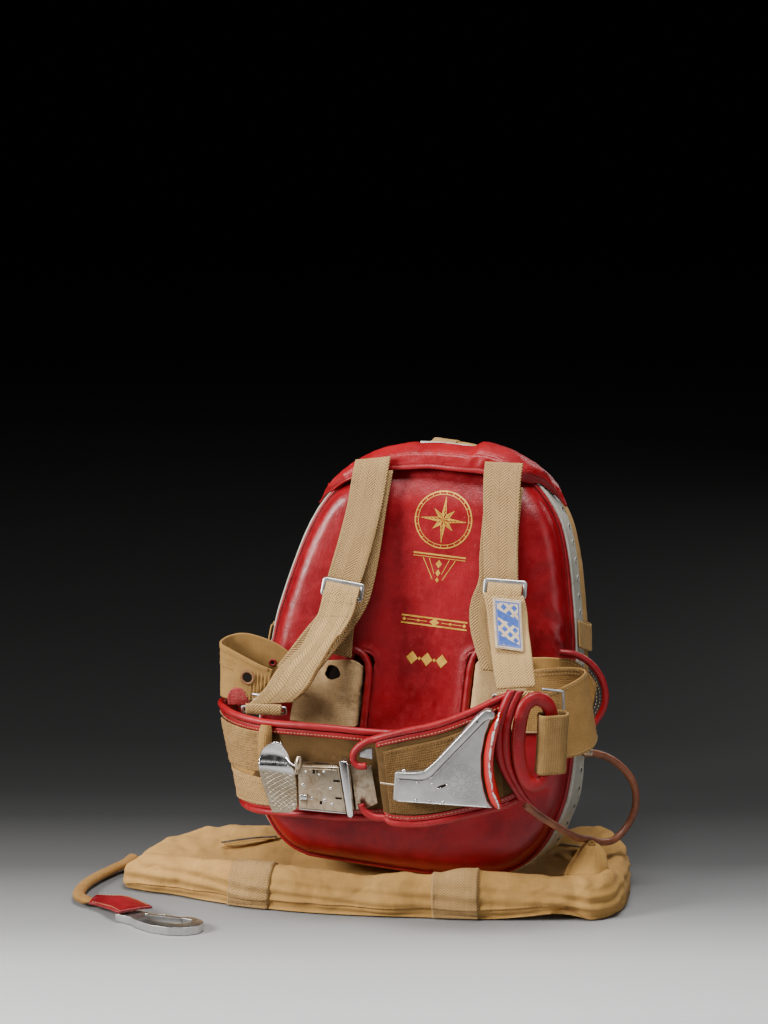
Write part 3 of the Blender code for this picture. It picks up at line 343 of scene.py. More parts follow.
def stitches(name, P, N, mat, pitch=4.2, length=2.9, r=0.42, lift=0.25, skip=None, **kw):
    """thread stitches along a line P (mm) that lies on a surface with normals N"""
    P, N = np.asarray(P, float), np.asarray(N, float)
    s = arc(P)
    n = max(1, int(s[-1] / pitch))
    at = (np.arange(n) + 0.5) * s[-1] / n
    g = lambda M, q: np.stack([np.interp(q, s, M[:, i]) for i in range(3)], -1)
    verts, faces = [], []
    ring = np.array([(-0.5, 0.25, -0.9), (-0.34, 0.85, 0.0), (0, 1.0, 0.35), (0.34, 0.85, 0.0), (0.5, 0.25, -0.9)])
    a = 2 * np.pi * np.arange(6) / 6
    for i, q in enumerate(at):
        if skip is not None and skip(q / s[-1]):
            continue
        p = g(P, np.array([q]))[0]
        d = unit(g(P, np.array([min(q + 1, s[-1])]))[0] - g(P, np.array([max(q - 1, 0)]))[0])
        nn = unit(g(N, np.array([q]))[0])
        sd = np.cross(d, nn)
        b = len(verts)
        for x, rad, z in ring:
            for t in a:
                verts.append(p + d * x * length + sd * math.cos(t) * r * rad + nn * (math.sin(t) * r * rad + lift + z * r * 0.7))
        for k in range(4):
            for j in range(6):
                j2 = (j + 1) % 6
                faces.append((b + k * 6 + j, b + k * 6 + j2, b + k * 6 + 6 + j2, b + k * 6 + 6 + j))
        faces.append([b + j for j in range(6)])
        faces.append([b + 24 + j for j in reversed(range(6))])
    if not verts:
        return None
    return mesh_object(name, np.array(verts), faces, mat, **kw)


def prism(name, outline, o, ex, ez, ey, depth, mat, bevel=0.8, segs=3, inner=(), **kw):
    """flat outline (a, b) with rounded edges, on plane o + a ex + b ez, pushed along ey"""
    o, ex, ez, ey = (np.asarray(v, float) for v in (o, ex, ez, ey))
    bm = bmesh.new()
    P = lambda a, b, d: tuple(o + ex * a + ez * b + ey * d)
    lo = [bm.verts.new(P(a, b, 0)) for a, b in outline]
    hi = [bm.verts.new(P(a, b, depth)) for a, b in outline]
    n = len(outline)
    bm.faces.new(lo)
    bm.faces.new(hi[::-1])
    for i in range(n):
        bm.faces.new((lo[i], hi[i], hi[(i + 1) % n], lo[(i + 1) % n]))
    bmesh.ops.recalc_face_normals(bm, faces=bm.faces)
    if bevel:
        bmesh.ops.bevel(bm, geom=list(bm.edges), offset=bevel, segments=segs, profile=0.5, affect="EDGES", clamp_overlap=True)
    bm.verts.index_update()
    V = np.array([v.co for v in bm.verts])
    F = [[v.index for v in f.verts] for f in bm.faces]
    bm.free()
    return mesh_object(name, V, F, mat, angle=kw.pop("angle", 32), **kw)


def dome(name, spots, n, r, h, mat, sides=12, **kw):
    """round headed rivets at the given points, standing along n"""
    V, F = [], []
    prof = [(1.0, -0.3), (1.0, 0.15), (0.86, 0.55), (0.55, 0.86), (0.0, 1.0)]
    for k, p in enumerate(np.atleast_2d(np.asarray(spots, float))):
        nn = unit(n[k] if np.ndim(n) == 2 else n)
        rr = r[k] if np.ndim(r) else r
        x = unit(np.cross(nn, (0.31, 0.2, 0.93)))
        y = np.cross(nn, x)
        b = len(V)
        g = 2 * np.pi * np.arange(sides) / sides
        for q, z in prof[:-1]:
            for t in g:
                V.append(p + (x * math.cos(t) + y * math.sin(t)) * rr * q + nn * h * z)
        V.append(p + nn * h)
        top = len(V) - 1
        for i in range(3):
            for j in range(sides):
                F.append((b + i * sides + j, b + i * sides + (j + 1) % sides, b + (i + 1) * sides + (j + 1) % sides, b + (i + 1) * sides + j))
        for j in range(sides):
            F.append((b + 3 * sides + j, b + 3 * sides + (j + 1) % sides, top))
        F.append([b + j for j in reversed(range(sides))])
    return mesh_object(name, np.array(V), F, mat, **kw)


# ------------------------------------------------------------------ materials
class Mat:
    """a small writer of node materials; lengths in mm"""

    def __init__(s, name, metal=0.0, spec=0.5):
        s.m = bpy.data.materials.new(name)
        s.m.use_nodes = True
        s.t = s.m.node_tree
        s.b = s.t.nodes["Principled BSDF"]
        s.b.inputs["Metallic"].default_value = metal
        s.b.inputs["Specular IOR Level"].default_value = spec
        s.P = s.scaled(s.new("TexCoord").outputs["Object"], 1000.0)

    def new(s, kind, **props):
        n = s.t.nodes.new("ShaderNode" + kind)
        for k, v in props.items():
            setattr(n, k, v)
        return n

    def put(s, socket, v):
        if isinstance(v, bpy.types.NodeSocket):
            s.t.links.new(v, socket)
        elif isinstance(v, (tuple, list)) and socket.type == "RGBA":
            socket.default_value = (*v, 1)
        else:
            socket.default_value = v

    def scaled(s, vec, k):
        n = s.new("VectorMath", operation="MULTIPLY")
        s.put(n.inputs[0], vec)
        n.inputs[1].default_value = (k, k, k) if np.ndim(k) == 0 else k
        return n.outputs[0]

    def moved(s, vec, by):
        n = s.new("VectorMath", operation="ADD")
        s.put(n.inputs[0], vec)
        s.put(n.inputs[1], by)
        return n.outputs[0]

    def math(s, op, a, b=0.0, c=0.0, clamp=False):
        n = s.new("Math", operation=op, use_clamp=clamp)
        for i, v in enumerate((a, b, c)):
            s.put(n.inputs[i], v)
        return n.outputs[0]

    def uv(s):
        """texture mm along the rows, texture mm across them, both as one vector"""
        n = s.new("UVMap", uv_map=UVN)
        vec = s.scaled(n.outputs[0], 1000.0)
        sep = s.new("SeparateXYZ")
        s.put(sep.inputs[0], vec)
        return sep.outputs[0], sep.outputs[1], vec

    def xyz(s, vec=None):
        sep = s.new("SeparateXYZ")
        s.put(sep.inputs[0], vec if vec is not None else s.P)
        return sep.outputs

    def noise(s, size, detail=3.0, rough=0.5, vec=None, stretch=None, warp=0.0):
        n = s.new("TexNoise")
        v = vec if vec is not None else s.P
        if stretch:
            v = s.scaled(v, stretch)
        s.put(n.inputs["Vector"], v)
        n.inputs["Scale"].default_value = 1.0 / size
        n.inputs["Detail"].default_value = detail
        n.inputs["Roughness"].default_value = rough
        n.inputs["Distortion"].default_value = warp
        return n.outputs[0]

    def cells(s, size, vec=None, feature="F1", stretch=None):
        n = s.new("TexVoronoi", feature=feature)
        v = vec if vec is not None else s.P
        if stretch:
            v = s.scaled(v, stretch)
        s.put(n.inputs["Vector"], v)
        n.inputs["Scale"].default_value = 1.0 / size
        return n.outputs["Distance"]

    def map(s, v, a, b, c=0.0, d=1.0, smooth=False):
        n = s.new("MapRange", interpolation_type="SMOOTHSTEP" if smooth else "LINEAR")
        for i, x in enumerate((v, a, b, c, d)):
            s.put(n.inputs[i], x)
        return n.outputs[0]

    def mix(s, f, a, b, how="MIX"):
        n = s.new("Mix", data_type="RGBA", blend_type=how)
        s.put(n.inputs[0], f)
        s.put(n.inputs[6], a)
        s.put(n.inputs[7], b)
        return n.outputs[2]

    def add(s, *vs):
        out = vs[0]
        for v in vs[1:]:
            out = s.math("ADD", out, v)
        return out

    def mul(s, a, b):
        return s.math("MULTIPLY", a, b)

    def wave(s, x, period, sharp=None):
        """0..1 along x"""
        v = s.math("SINE", s.mul(x, 2 * math.pi / period))
        return s.math("MULTIPLY_ADD", v, 0.5, 0.5)

    def bump(s, h, dist, strength=1.0, normal=None):
        n = s.new("Bump")
        n.inputs["Strength"].default_value = strength
        n.inputs["Distance"].default_value = dist * 0.001
        s.put(n.inputs["Height"], h)
        if normal is not None:
            s.put(n.inputs["Normal"], normal)
        return n.outputs[0]

    def out(s, color, rough, normal=None, **more):
        s.put(s.b.inputs["Base Color"], color)
        s.put(s.b.inputs["Roughness"], rough)
        if normal is not None:
            s.put(s.b.inputs["Normal"], normal)
        for k, v in more.items():
            s.put(s.b.inputs[k.replace("_", " ")], v)
        return s.m


def leather(name, deep=(0.155, 0.0018, 0.005), light=(0.315, 0.006, 0.012), rough=0.40, grain=1.25, wear=0.5, bump=0.16,
            coat=0.12):
    m = Mat(name, spec=0.38)
    big = m.noise(70, 3, 0.55)
    mid = m.noise(9, 4, 0.6)
    c = m.mix(m.map(big, 0.32, 0.68), deep, light)
    c = m.mix(m.map(mid, 0.45, 0.75, 0.0, 0.45), c, (0.34, 0.009, 0.016))
    cell = m.cells(grain * 1.6)
    fine = m.noise(grain * 0.55, 2, 0.6)
    c = m.mix(m.map(cell, 0.0, 0.22, 0.38, 0.0), c, (0.11, 0.002, 0.004))
    rub = m.mul(m.map(m.noise(16, 6, 0.68), 0.60, 0.74), m.map(m.noise(2.2, 3, 0.7), 0.42, 0.6))
    c = m.mix(m.mul(rub, wear * 0.55), c, (0.62, 0.16, 0.15))
    speck = m.map(m.noise(1.9, 2, 0.5), 0.745, 0.78)
    c = m.mix(m.mul(speck, wear * 0.8), c, (0.66, 0.40, 0.34))
    h = m.add(m.mul(cell, 0.9), m.mul(fine, 0.45), m.mul(m.noise(5.5, 2, 0.5), 0.5))
    n = m.bump(h, bump)
    r = m.map(m.add(m.mul(big, 0.5), m.mul(mid, 0.5)), 0.35, 0.65, rough - 0.055, rough + 0.075)
    r = m.math("ADD", r, m.mul(rub, 0.10))
    return m.out(c, r, n, Coat_Weight=coat, Coat_Roughness=0.30)


def warm(c):
    """the cloths' beige, a little fuller"""
    return c[0] * 0.80, c[1] * 0.655, c[2] * 0.40


def cloth_tint(m, base, dark, soil=(0.22, 0.135, 0.062), much=0.45, size=34):
    big = m.noise(size, 4, 0.6)
    c = m.mix(m.map(big, 0.34, 0.68), warm(dark), warm(base))
    dirt = m.map(m.noise(size * 0.62, 6, 0.7, warp=0.4), 0.54, 0.76, 0.0, much)
    c = m.mix(dirt, c, soil)
    return c


def canvas(name, base=(0.50, 0.345, 0.175), dark=(0.40, 0.262, 0.122), thread=1.1, bump=0.20, much=0.35, rough=0.86):
    """plain woven cloth, threads along and across the piece"""
    m = Mat(name, spec=0.18)
    u, v, vec = m.uv()
    jit = m.noise(6, 2, 0.5, vec=vec)
    uu = m.math("MULTIPLY_ADD", jit, 0.7, u)
    vv = m.math("MULTIPLY_ADD", jit, -0.7, v)
    a = m.math("SINE", m.mul(uu, math.pi / thread))
    b = m.math("SINE", m.mul(vv, math.pi / thread))
    weave = m.math("MULTIPLY_ADD", m.mul(a, b), 0.5, 0.5)
    slub_u = m.noise(thread * 1.4, 2, 0.6, vec=vec, stretch=(0.07, 1, 1))
    slub_v = m.noise(thread * 1.4, 2, 0.6, vec=vec, stretch=(1, 0.07, 1))
    slub = m.mul(m.add(slub_u, slub_v), 0.5)
    c = cloth_tint(m, base, dark, much=much)
    c = m.mix(m.map(slub, 0.36, 0.64, 0.0, 0.34), c, warm(tuple(min(1.0, 1.45 * q) for q in base)))
    c = m.mix(m.map(weave, 0.0, 0.4, 0.30, 0.0), c, (0.20, 0.125, 0.055))
    h = m.add(m.mul(weave, 0.55), m.mul(slub, 0.9), m.mul(m.noise(3.0, 3, 0.6), 0.35))
    return m.out(c, m.map(slub, 0.3, 0.7, rough - 0.05, rough + 0.07), m.bump(h, bump), Sheen_Weight=0.03,
                 Sheen_Roughness=0.5)


def herringbone(name, base=(0.565, 0.405, 0.235), dark=(0.45, 0.305, 0.16), band=5.5, pitch=2.5, bump=0.34, contrast=0.62,
                edges=None):
    """twill ribs that change direction at every band; edges, the piece's width, is not used"""
    m = Mat(name, spec=0.15)
    u, v, vec = m.uv()
    jit = m.noise(4.5, 2, 0.5, vec=vec)
    tri = m.math("PINGPONG", v, band)
    ph = m.add(u, tri, m.mul(jit, 1.0))
    rib = m.wave(ph, pitch)
    line = m.map(m.math("PINGPONG", m.math("ADD", v, band / 2), band / 2), 0.0, band / 2)
    turn = m.math("PINGPONG", v, band)
    turn = m.math("MINIMUM", turn, m.math("SUBTRACT", band, turn))
    turn = m.map(turn, 0.0, 0.75, 1.0, 0.0)
    yarn = m.noise(1.0, 2, 0.6, vec=vec, stretch=(1, 0.5, 1))
    c = cloth_tint(m, base, dark, much=0.28, size=26)
    c = m.mix(m.map(yarn, 0.35, 0.7, 0.0, 0.35), c, (0.74, 0.54, 0.31))
    c = m.mix(m.map(rib, 0.0, 0.45, contrast, 0.0), c, (0.215, 0.135, 0.06))
    c = m.mix(m.mul(turn, 0.35), c, (0.27, 0.17, 0.08))
    h = m.add(m.mul(rib, 0.85), m.mul(yarn, 0.5), m.mul(turn, -0.5), m.mul(m.noise(7, 2, 0.5), 0.3))
    return m.out(c, m.map(yarn, 0.3, 0.7, 0.82, 0.95), m.bump(h, bump), Sheen_Weight=0.03, Sheen_Roughness=0.5)


def ribbed(name, base=(0.50, 0.345, 0.185), dark=(0.37, 0.235, 0.11), pitch=2.2, fuzz=0.6, bump=0.55, along=False,
           soil=0.5, tone=0.42):
    """coarse webbing with ribs across it (or along it) and a hairy face"""
    m = Mat(name, spec=0.12)
    u, v, vec = m.uv()
    jit = m.noise(5, 3, 0.6, vec=vec)
    x = m.math("MULTIPLY_ADD", jit, 2.6, v if along else u)
    y = u if along else v
    rib = m.wave(x, pitch)
    knot = m.wave(m.math("MULTIPLY_ADD", jit, 2.2, y), pitch * 1.35)
    hair = m.noise(1.0, 5, 0.75, vec=vec, stretch=(0.45, 1, 1) if not along else (1, 0.45, 1), warp=0.6)
    tuft = m.noise(3.2, 4, 0.7, vec=vec, warp=0.8)
    c = cloth_tint(m, base, dark, soil=(0.19, 0.115, 0.05), much=soil, size=20)
    c = m.mix(m.map(hair, 0.42, 0.66, 0.0, 0.55 * fuzz + 0.1), c, warm(tuple(min(1.0, 1.25 * q) for q in base)))
    c = m.mix(m.map(m.mul(rib, knot), 0.0, 0.3, tone, 0.0), c, (0.17, 0.10, 0.045))
    c = m.mix(m.mul(m.map(tuft, 0.30, 0.42, 1.0, 0.0), fuzz * 0.7), c, (0.15, 0.09, 0.04))
    h = m.add(m.mul(m.mul(rib, knot), 0.8), m.mul(hair, 0.9 * fuzz + 0.2), m.mul(tuft, 1.2 * fuzz))
    return m.out(c, m.map(hair, 0.3, 0.7, 0.86, 0.98), m.bump(h, bump), Sheen_Weight=0.03, Sheen_Roughness=0.5)


def metal(name, base, tarnish, much=0.4, rough=(0.24, 0.46), scratch=0.5, size=22, bump=0.03, stain=(0.16, 0.10, 0.05),
          stained=0.0):
    m = Mat(name, metal=1.0)
    cloud = m.noise(size, 5, 0.62, warp=0.4)
    c = m.mix(m.map(cloud, 0.38, 0.66, 0.0, much), base, tarnish)
    lines = m.noise(1.1, 3, 0.6, stretch=(0.10, 1.0, 1.0))
    cross = m.noise(1.3, 3, 0.6, stretch=(1.0, 1.0, 0.07))
    sc = m.math("MAXIMUM", m.map(lines, 0.62, 0.70), m.map(cross, 0.645, 0.70))
    c = m.mix(m.mul(sc, 0.28 * scratch), c, (0.86, 0.85, 0.84))
    if stained:
        spot = m.map(m.noise(size * 0.5, 6, 0.72, warp=0.8), 0.52, 0.68, 0.0, stained)
        c = m.mix(spot, c, stain)
        r0 = m.map(spot, 0.0, 1.0, 0.0, 0.22)
    r = m.map(m.noise(size * 0.6, 5, 0.65), 0.3, 0.7, rough[0], rough[1])
    if stained:
        r = m.math("ADD", r, r0)
    r = m.math("ADD", r, m.mul(sc, -0.06 * scratch))
    h = m.add(m.mul(lines, 0.5), m.mul(cross, 0.5), m.mul(m.noise(9, 3, 0.6), 1.2))
    return m.out(c, r, m.bump(h, bump))


def paint_grey(name):
    m = Mat(name, spec=0.5)
    c = m.mix(m.map(m.noise(40, 4, 0.6), 0.35, 0.65), (0.36, 0.35, 0.29), (0.46, 0.445, 0.385))
    dirt = m.map(m.noise(7, 6, 0.7, warp=0.5), 0.53, 0.72, 0.0, 0.7)
    c = m.mix(dirt, c, (0.17, 0.145, 0.095))
    chip = m.map(m.noise(3.4, 5, 0.7), 0.655, 0.68)
    c = m.mix(chip, c, (0.52, 0.52, 0.50))
    h = m.add(m.mul(m.noise(2.0, 3, 0.6), 0.4), m.mul(chip, -0.6))
    return m.out(c, m.map(dirt, 0, 0.7, 0.38, 0.62), m.bump(h, 0.10))


def enamel(name):
    """red enamel, worn to the metal along the ridge where the hand pulls"""
    m = Mat(name, spec=0.5)
    u, v, vec = m.uv()
    ridge = m.map(m.math("ABSOLUTE", v), 0.0, 3.2, 1.0, 0.0)
    n1 = m.noise(5.0, 5, 0.68, vec=vec, stretch=(0.55, 1, 1), warp=0.3)
    worn = m.map(m.math("MULTIPLY_ADD", ridge, 0.30, n1), 0.70, 0.725)
    edge = m.map(m.math("MULTIPLY_ADD", ridge, 0.30, n1), 0.66, 0.70)
    c = m.mix(m.noise(18, 3, 0.6), (0.36, 0.006, 0.006), (0.52, 0.012, 0.009))
    c = m.mix(edge, c, (0.30, 0.012, 0.01))
    c = m.mix(worn, c, (0.70, 0.69, 0.67))
    s = m.out(c, m.map(worn, 0, 1, 0.24, 0.36), m.bump(m.add(m.mul(worn, -1.0), m.mul(m.noise(4, 3, 0.5), 0.2)), 0.22),
              Coat_Weight=0.4, Coat_Roughness=0.12)
    m.put(m.b.inputs["Metallic"], m.mul(worn, 0.95))
    return s


def rubber(name):
    m = Mat(name, spec=0.5)
    u, v, vec = m.uv()
    rib = m.wave(m.add(u, m.mul(v, 0.6)), 1.5)
    c = m.mix(m.map(m.noise(26, 4, 0.6), 0.35, 0.65), (0.155, 0.045, 0.020), (0.27, 0.088, 0.040))
    c = m.mix(m.map(m.noise(3.5, 5, 0.7), 0.6, 0.72, 0.0, 0.5), c, (0.36, 0.20, 0.12))
    return m.out(c, m.map(m.noise(9, 3, 0.6), 0.3, 0.7, 0.32, 0.52), m.bump(m.add(m.mul(rib, 0.6), m.noise(1.4, 3, 0.6)), 0.12))


def foil(name):
    m = Mat(name, metal=0.35, spec=0.5)
    c = m.mix(m.map(m.noise(14, 4, 0.6), 0.35, 0.65), (0.62, 0.315, 0.035), (0.86, 0.50, 0.085))
    gone = m.map(m.noise(1.7, 5, 0.75), 0.60, 0.66)
    c = m.mix(m.mul(gone, 0.75), c, (0.42, 0.06, 0.03))
    return m.out(c, m.map(m.noise(1.2, 3, 0.6), 0.3, 0.7, 0.34, 0.52), m.bump(m.noise(0.9, 3, 0.6), 0.05))


def thread(name, a, b):
    m = Mat(name, spec=0.25)
    c = m.mix(m.map(m.noise(3.0, 3, 0.6), 0.35, 0.65), a, b)
    ply = m.wave(m.add(m.xyz()[0], m.xyz()[1], m.xyz()[2]), 0.55)
    c = m.mix(m.map(ply, 0.0, 0.5, 0.35, 0.0), c, tuple(x * 0.4 for x in a))
    return m.out(c, m.map(ply, 0, 1, 0.7, 0.88), m.bump(ply, 0.08))


def woven_badge(name):
    """cream ground with a plain blue lattice and bars: no lettering"""
    m = Mat(name, spec=0.15)
    u, v, vec = m.uv()
    weave = m.mul(m.wave(u, 0.9), m.wave(v, 0.9))
    inside = m.mul(m.mul(m.map(u, 5.0, 5.6), m.map(u, 56.4, 57.0, 1.0, 0.0)), m.mul(m.map(v, 4.6, 5.2), m.map(v, 30.0, 30.6, 1.0, 0.0)))
    d1 = m.math("PINGPONG", m.add(u, v), 6.5)
    d2 = m.math("PINGPONG", m.math("SUBTRACT", u, v), 6.5)
    diamond = m.map(m.math("MAXIMUM", d1, d2), 3.7, 4.2, 1.0, 0.0)
    bar = m.map(m.math("PINGPONG", m.math("MULTIPLY_ADD", v, 0.42, u), 15.5), 10.6, 11.0)
    rule = m.mul(m.math("SUBTRACT", 1.0, inside), m.mul(m.mul(m.map(u, 3.2, 3.5), m.map(u, 58.5, 58.8, 1.0, 0.0)),
                                                   m.mul(m.map(v, 2.9, 3.2), m.map(v, 32.0, 32.3, 1.0, 0.0))))
    blue = m.math("MAXIMUM", m.mul(inside, m.math("MAXIMUM", m.mul(diamond, m.math("SUBTRACT", 1.0, bar)), bar)), m.mul(rule, 0.9))
    cream = m.mix(m.map(m.noise(9, 4, 0.6), 0.35, 0.65), (0.56, 0.42, 0.26), (0.70, 0.57, 0.40))
    ink = m.mix(m.map(m.noise(4, 4, 0.6), 0.3, 0.7), (0.02, 0.075, 0.36), (0.045, 0.13, 0.46))
    c = m.mix(blue, cream, ink)
    c = m.mix(m.map(weave, 0.0, 0.3, 0.35, 0.0), c, (0.14, 0.11, 0.10))
    return m.out(c, 0.85, m.bump(m.add(weave, m.mul(blue, 0.7)), 0.18), Sheen_Weight=0.03)


def floor_mat(name):
    """pale ground sheet with a painted light falloff: pale just in front of the pack, darker towards the back, the left
    and the camera
    """
    m = Mat(name, spec=0.25)
    fine = m.noise(2.2, 4, 0.6)
    x, y, z = m.xyz()
    big = m.map(m.noise(260, 3, 0.5), 0.3, 0.7)
    c = m.mix(big, FLOOR[0], FLOOR[1])
    c = m.mix(m.map(fine, 0.3, 0.7, 0.0, 0.12), c, (0.42, 0.42, 0.44))
    # painted light falloff: the floor's colour darkens with distance back, towards the left and towards the camera
    side = m.math("MULTIPLY_ADD", m.map(x, -900, 700), FLOOR_FALLOFF_SLANT, y)
    for (s0, _), (s1, k) in zip(FLOOR_PAINTED_FALLOFF, FLOOR_PAINTED_FALLOFF[1:]):
        c = m.mix(m.map(side, s0, s1), c, (k, k, k * 1.01))
    return m.out(c, m.map(fine, 0.3, 0.7, 0.62, 0.8), m.bump(fine, 0.05))


FLOOR = [(0.28, 0.28, 0.285), (0.32, 0.32, 0.325)]
# painted light falloff over the floor, darker to the back and towards the camera: distance in mm, grey
FLOOR_PAINTED_FALLOFF = [(-1150, 0.30), (-640, 0.60), (-480, 0.50), (-340, 0.27), (-220, 0.17), (-110, 0.085), (40, 0.046), (120, 0.026), (250, 0.014), (520, 0.008),
               (1300, 0.006)]
FLOOR_FALLOFF_SLANT = -330.0
MT = {
    "pad": leather("red_leather_pad", rough=0.37, grain=1.3, wear=0.35, coat=0.12),
    "leather": leather("red_leather_trim", deep=(0.19, 0.002, 0.005), light=(0.33, 0.005, 0.010), rough=0.42, grain=1.1,
                       wear=0.8, coat=0.04),
    "leather_dark": leather("red_leather_aged", deep=(0.12, 0.003, 0.006), light=(0.24, 0.007, 0.012), rough=0.42, wear=1.0),
    "canvas": canvas("tan_canvas"),
    "canvas_bag": canvas("bag_canvas", base=(0.60, 0.41, 0.205), dark=(0.47, 0.31, 0.14), thread=1.0, bump=0.26, much=0.45),
    # the belt's canvas: brown cloth, darkened further to the shade the belt's front lies in, so partly painted shade
    "canvas_brown_painted_shade": canvas("belt_canvas_brown_painted_shade", base=(0.125, 0.08, 0.038), dark=(0.08, 0.049, 0.022), thread=1.0, bump=0.22, much=0.5),
    "canvas_side": canvas("side_canvas", base=(0.40, 0.275, 0.14), dark=(0.30, 0.20, 0.095), thread=0.9, bump=0.2, much=0.5),
    "strap": herringbone("herringbone_webbing", base=(0.50, 0.355, 0.21), dark=(0.41, 0.28, 0.15), band=10.0, pitch=3.6, contrast=0.95, bump=0.8),
    "strap_low": herringbone("herringbone_webbing_pale", base=(0.70, 0.535, 0.34), dark=(0.60, 0.44, 0.26), band=10.0, pitch=3.6, contrast=0.80, bump=0.8),
    "bag_web": herringbone("bag_webbing", base=(0.66, 0.46, 0.25), dark=(0.52, 0.35, 0.17), band=8.0, pitch=3.4, contrast=0.95, bump=0.7),
    "felt": ribbed("coarse_webbing", base=(0.21, 0.135, 0.065), dark=(0.13, 0.08, 0.036), fuzz=0.7, bump=0.9),
    "felt_pale": ribbed("coarse_webbing_pale", base=(0.84, 0.68, 0.55), dark=(0.68, 0.52, 0.40), pitch=1.5, fuzz=0.8, bump=0.45, soil=0.3, tone=0.14),
    "wrap": ribbed("rough_webbing", base=(0.55, 0.41, 0.26), dark=(0.36, 0.25, 0.14), pitch=2.4, fuzz=0.9, bump=0.9, soil=0.5),
    "rib": ribbed("ribbed_webbing", base=(0.52, 0.365, 0.19), dark=(0.40, 0.26, 0.125), pitch=1.9, fuzz=0.35, bump=0.5, soil=0.3),
    "band": ribbed("tape_webbing", base=(0.60, 0.44, 0.25), dark=(0.48, 0.33, 0.17), pitch=1.5, fuzz=0.25, bump=0.35, soil=0.25),
    "line": ribbed("tubular_webbing", base=(0.46, 0.295, 0.135), dark=(0.33, 0.20, 0.085), pitch=2.0, fuzz=0.5, bump=0.45, along=True),
    "alu": metal("bare_aluminium", (0.62, 0.61, 0.59), (0.38, 0.37, 0.35), much=0.55, rough=(0.30, 0.46), scratch=0.8),
    "alu_dull": metal("dull_aluminium", (0.52, 0.52, 0.52), (0.33, 0.33, 0.33), much=0.7, rough=(0.36, 0.56), scratch=0.9, stained=0.4,
                      stain=(0.14, 0.12, 0.10)),
    "nickel": metal("aged_nickel", (0.52, 0.42, 0.30), (0.32, 0.21, 0.12), much=0.8, rough=(0.22, 0.44), scratch=1.0, stained=0.55),
    "steel": metal("polished_steel", (0.72, 0.70, 0.68), (0.46, 0.42, 0.37), much=0.5, rough=(0.14, 0.30), scratch=0.8),
    "rim": paint_grey("grey_paint"),
    "enamel": enamel("red_enamel"),
    "hose": rubber("brown_hose"),
    "gold": foil("gold_foil"),
    "cream": thread("cream_thread", (0.40, 0.265, 0.13), (0.54, 0.385, 0.215)),
    "brown": thread("brown_thread", (0.17, 0.075, 0.03), (0.28, 0.14, 0.06)),
    "dark": thread("dark_thread", (0.028, 0.012, 0.010), (0.05, 0.022, 0.016)),
    "red_thread": thread("red_thread", (0.33, 0.03, 0.035), (0.50, 0.10, 0.09)),
    "badge": woven_badge("woven_badge"),
    "floor": floor_mat("floor"),
}


def hole_shade_and_black_mat():
    # near black discs and plates: painted shade in holes and slots, also used for the right side loop's pins
    m = Mat("painted_hole_shade_and_black", spec=0.1)
    return m.out(m.mix(m.noise(3, 3, 0.6), (0.006, 0.004, 0.003), (0.016, 0.011, 0.008)), m.map(m.noise(2, 2, 0.5), 0, 1, 0.8, 1.0))


MT["hole_shade_and_black"] = hole_shade_and_black_mat()

# ------------------------------------------------------------------ cords: the hose and the static line
HOSE_ROUTE = [(161, -176.5, 151), (177, -164, 134.5), (196, -141, 115), (214, -106, 93), (225, -72, 80.5), (238, -42, 68),
              (252, -22, 66), (266, -6, 79), (275, -2, 100), (276, -6, 124), (268, -14, 147), (252, -24, 166),
              (234, -36, 178), (215, -50, 184)]
LINE_ROUTE = [(-361, -44, 13), (-366, -60, 10), (-377, -82, 8.5), (-387, -112, 8), (-393, -144, 8), (-392, -172, 8),
              (-386, -191, 8), (-375, -201, 8)]


def route_m(pts, k=4, step=None):
    D = resample(catmull(pts, k), step=step or 8.0)
    return [tuple(row(*p)) for p in D]


hose = tube("hose_tube", HOSE_ROUTE, 4.5, MT["hose"], k=8, sides=18, step=1.6, replaces="hose", slot="brown_hose")
for tag, pts in (("hose_ferrule_b", [(223, -44.0, 182), (219, -47.2, 183.2), (214.8, -50.2, 184.2)]),):
    tube(tag, pts, lambda t: 5.5 + 0.35 * math.sin(t * 18.0), MT["nickel"], k=8, sides=18, step=0.5, slot="aged_nickel")


def flat_line(name, pts, width, thick, mat, slim=0.0, **kw):
    """tubular webbing pressed flat, lying on the ground"""
    D = resample(catmull(pts, 10), step=1.6)
    tan = unit(np.gradient(D, axis=0))
    side = unit(np.cross(tan, (0, 0, 1.0)))
    up = np.cross(side, tan)
    g = 2 * np.pi * np.arange(28) / 28
    s = arc(D)
    a = np.sign(np.cos(g)) * np.abs(np.cos(g)) ** 0.85 * width / 2
    b = np.sign(np.sin(g)) * np.abs(np.sin(g)) ** 0.75 * thick / 2
    flat = 1 - 0.74 * sstep(s[-1] - slim, s[-1] - slim + 12, s)[:, None, None] if slim else 1.0
    P = D[:, None] + side[:, None] * a[None, :, None] + up[:, None] * b[None, :, None] * flat
    P = P + up[:, None] * (0.5 * np.sin(s / 11.0)[:, None, None] * (np.abs(a) / width)[None, :, None]) * flat
    V = arc(np.stack([a, b], 1), True)
    ob = grid(name, P, mat, cv=True, U=s, V=V, caps=True, **kw)
    return ob, D, side, up


LINE_IN_TAB = [(-366, -204.5, 9.2), (-352, -206.5, 10.2), (-334, -215.5, 12.8), (-316, -229.5, 13.9)]
line_ob, LD, LS, LU = flat_line("static_line_webbing", LINE_ROUTE + LINE_IN_TAB, 15.0, 9.5, MT["line"], slim=68.0, replaces="static_line",
                                slot="coarse_webbing")

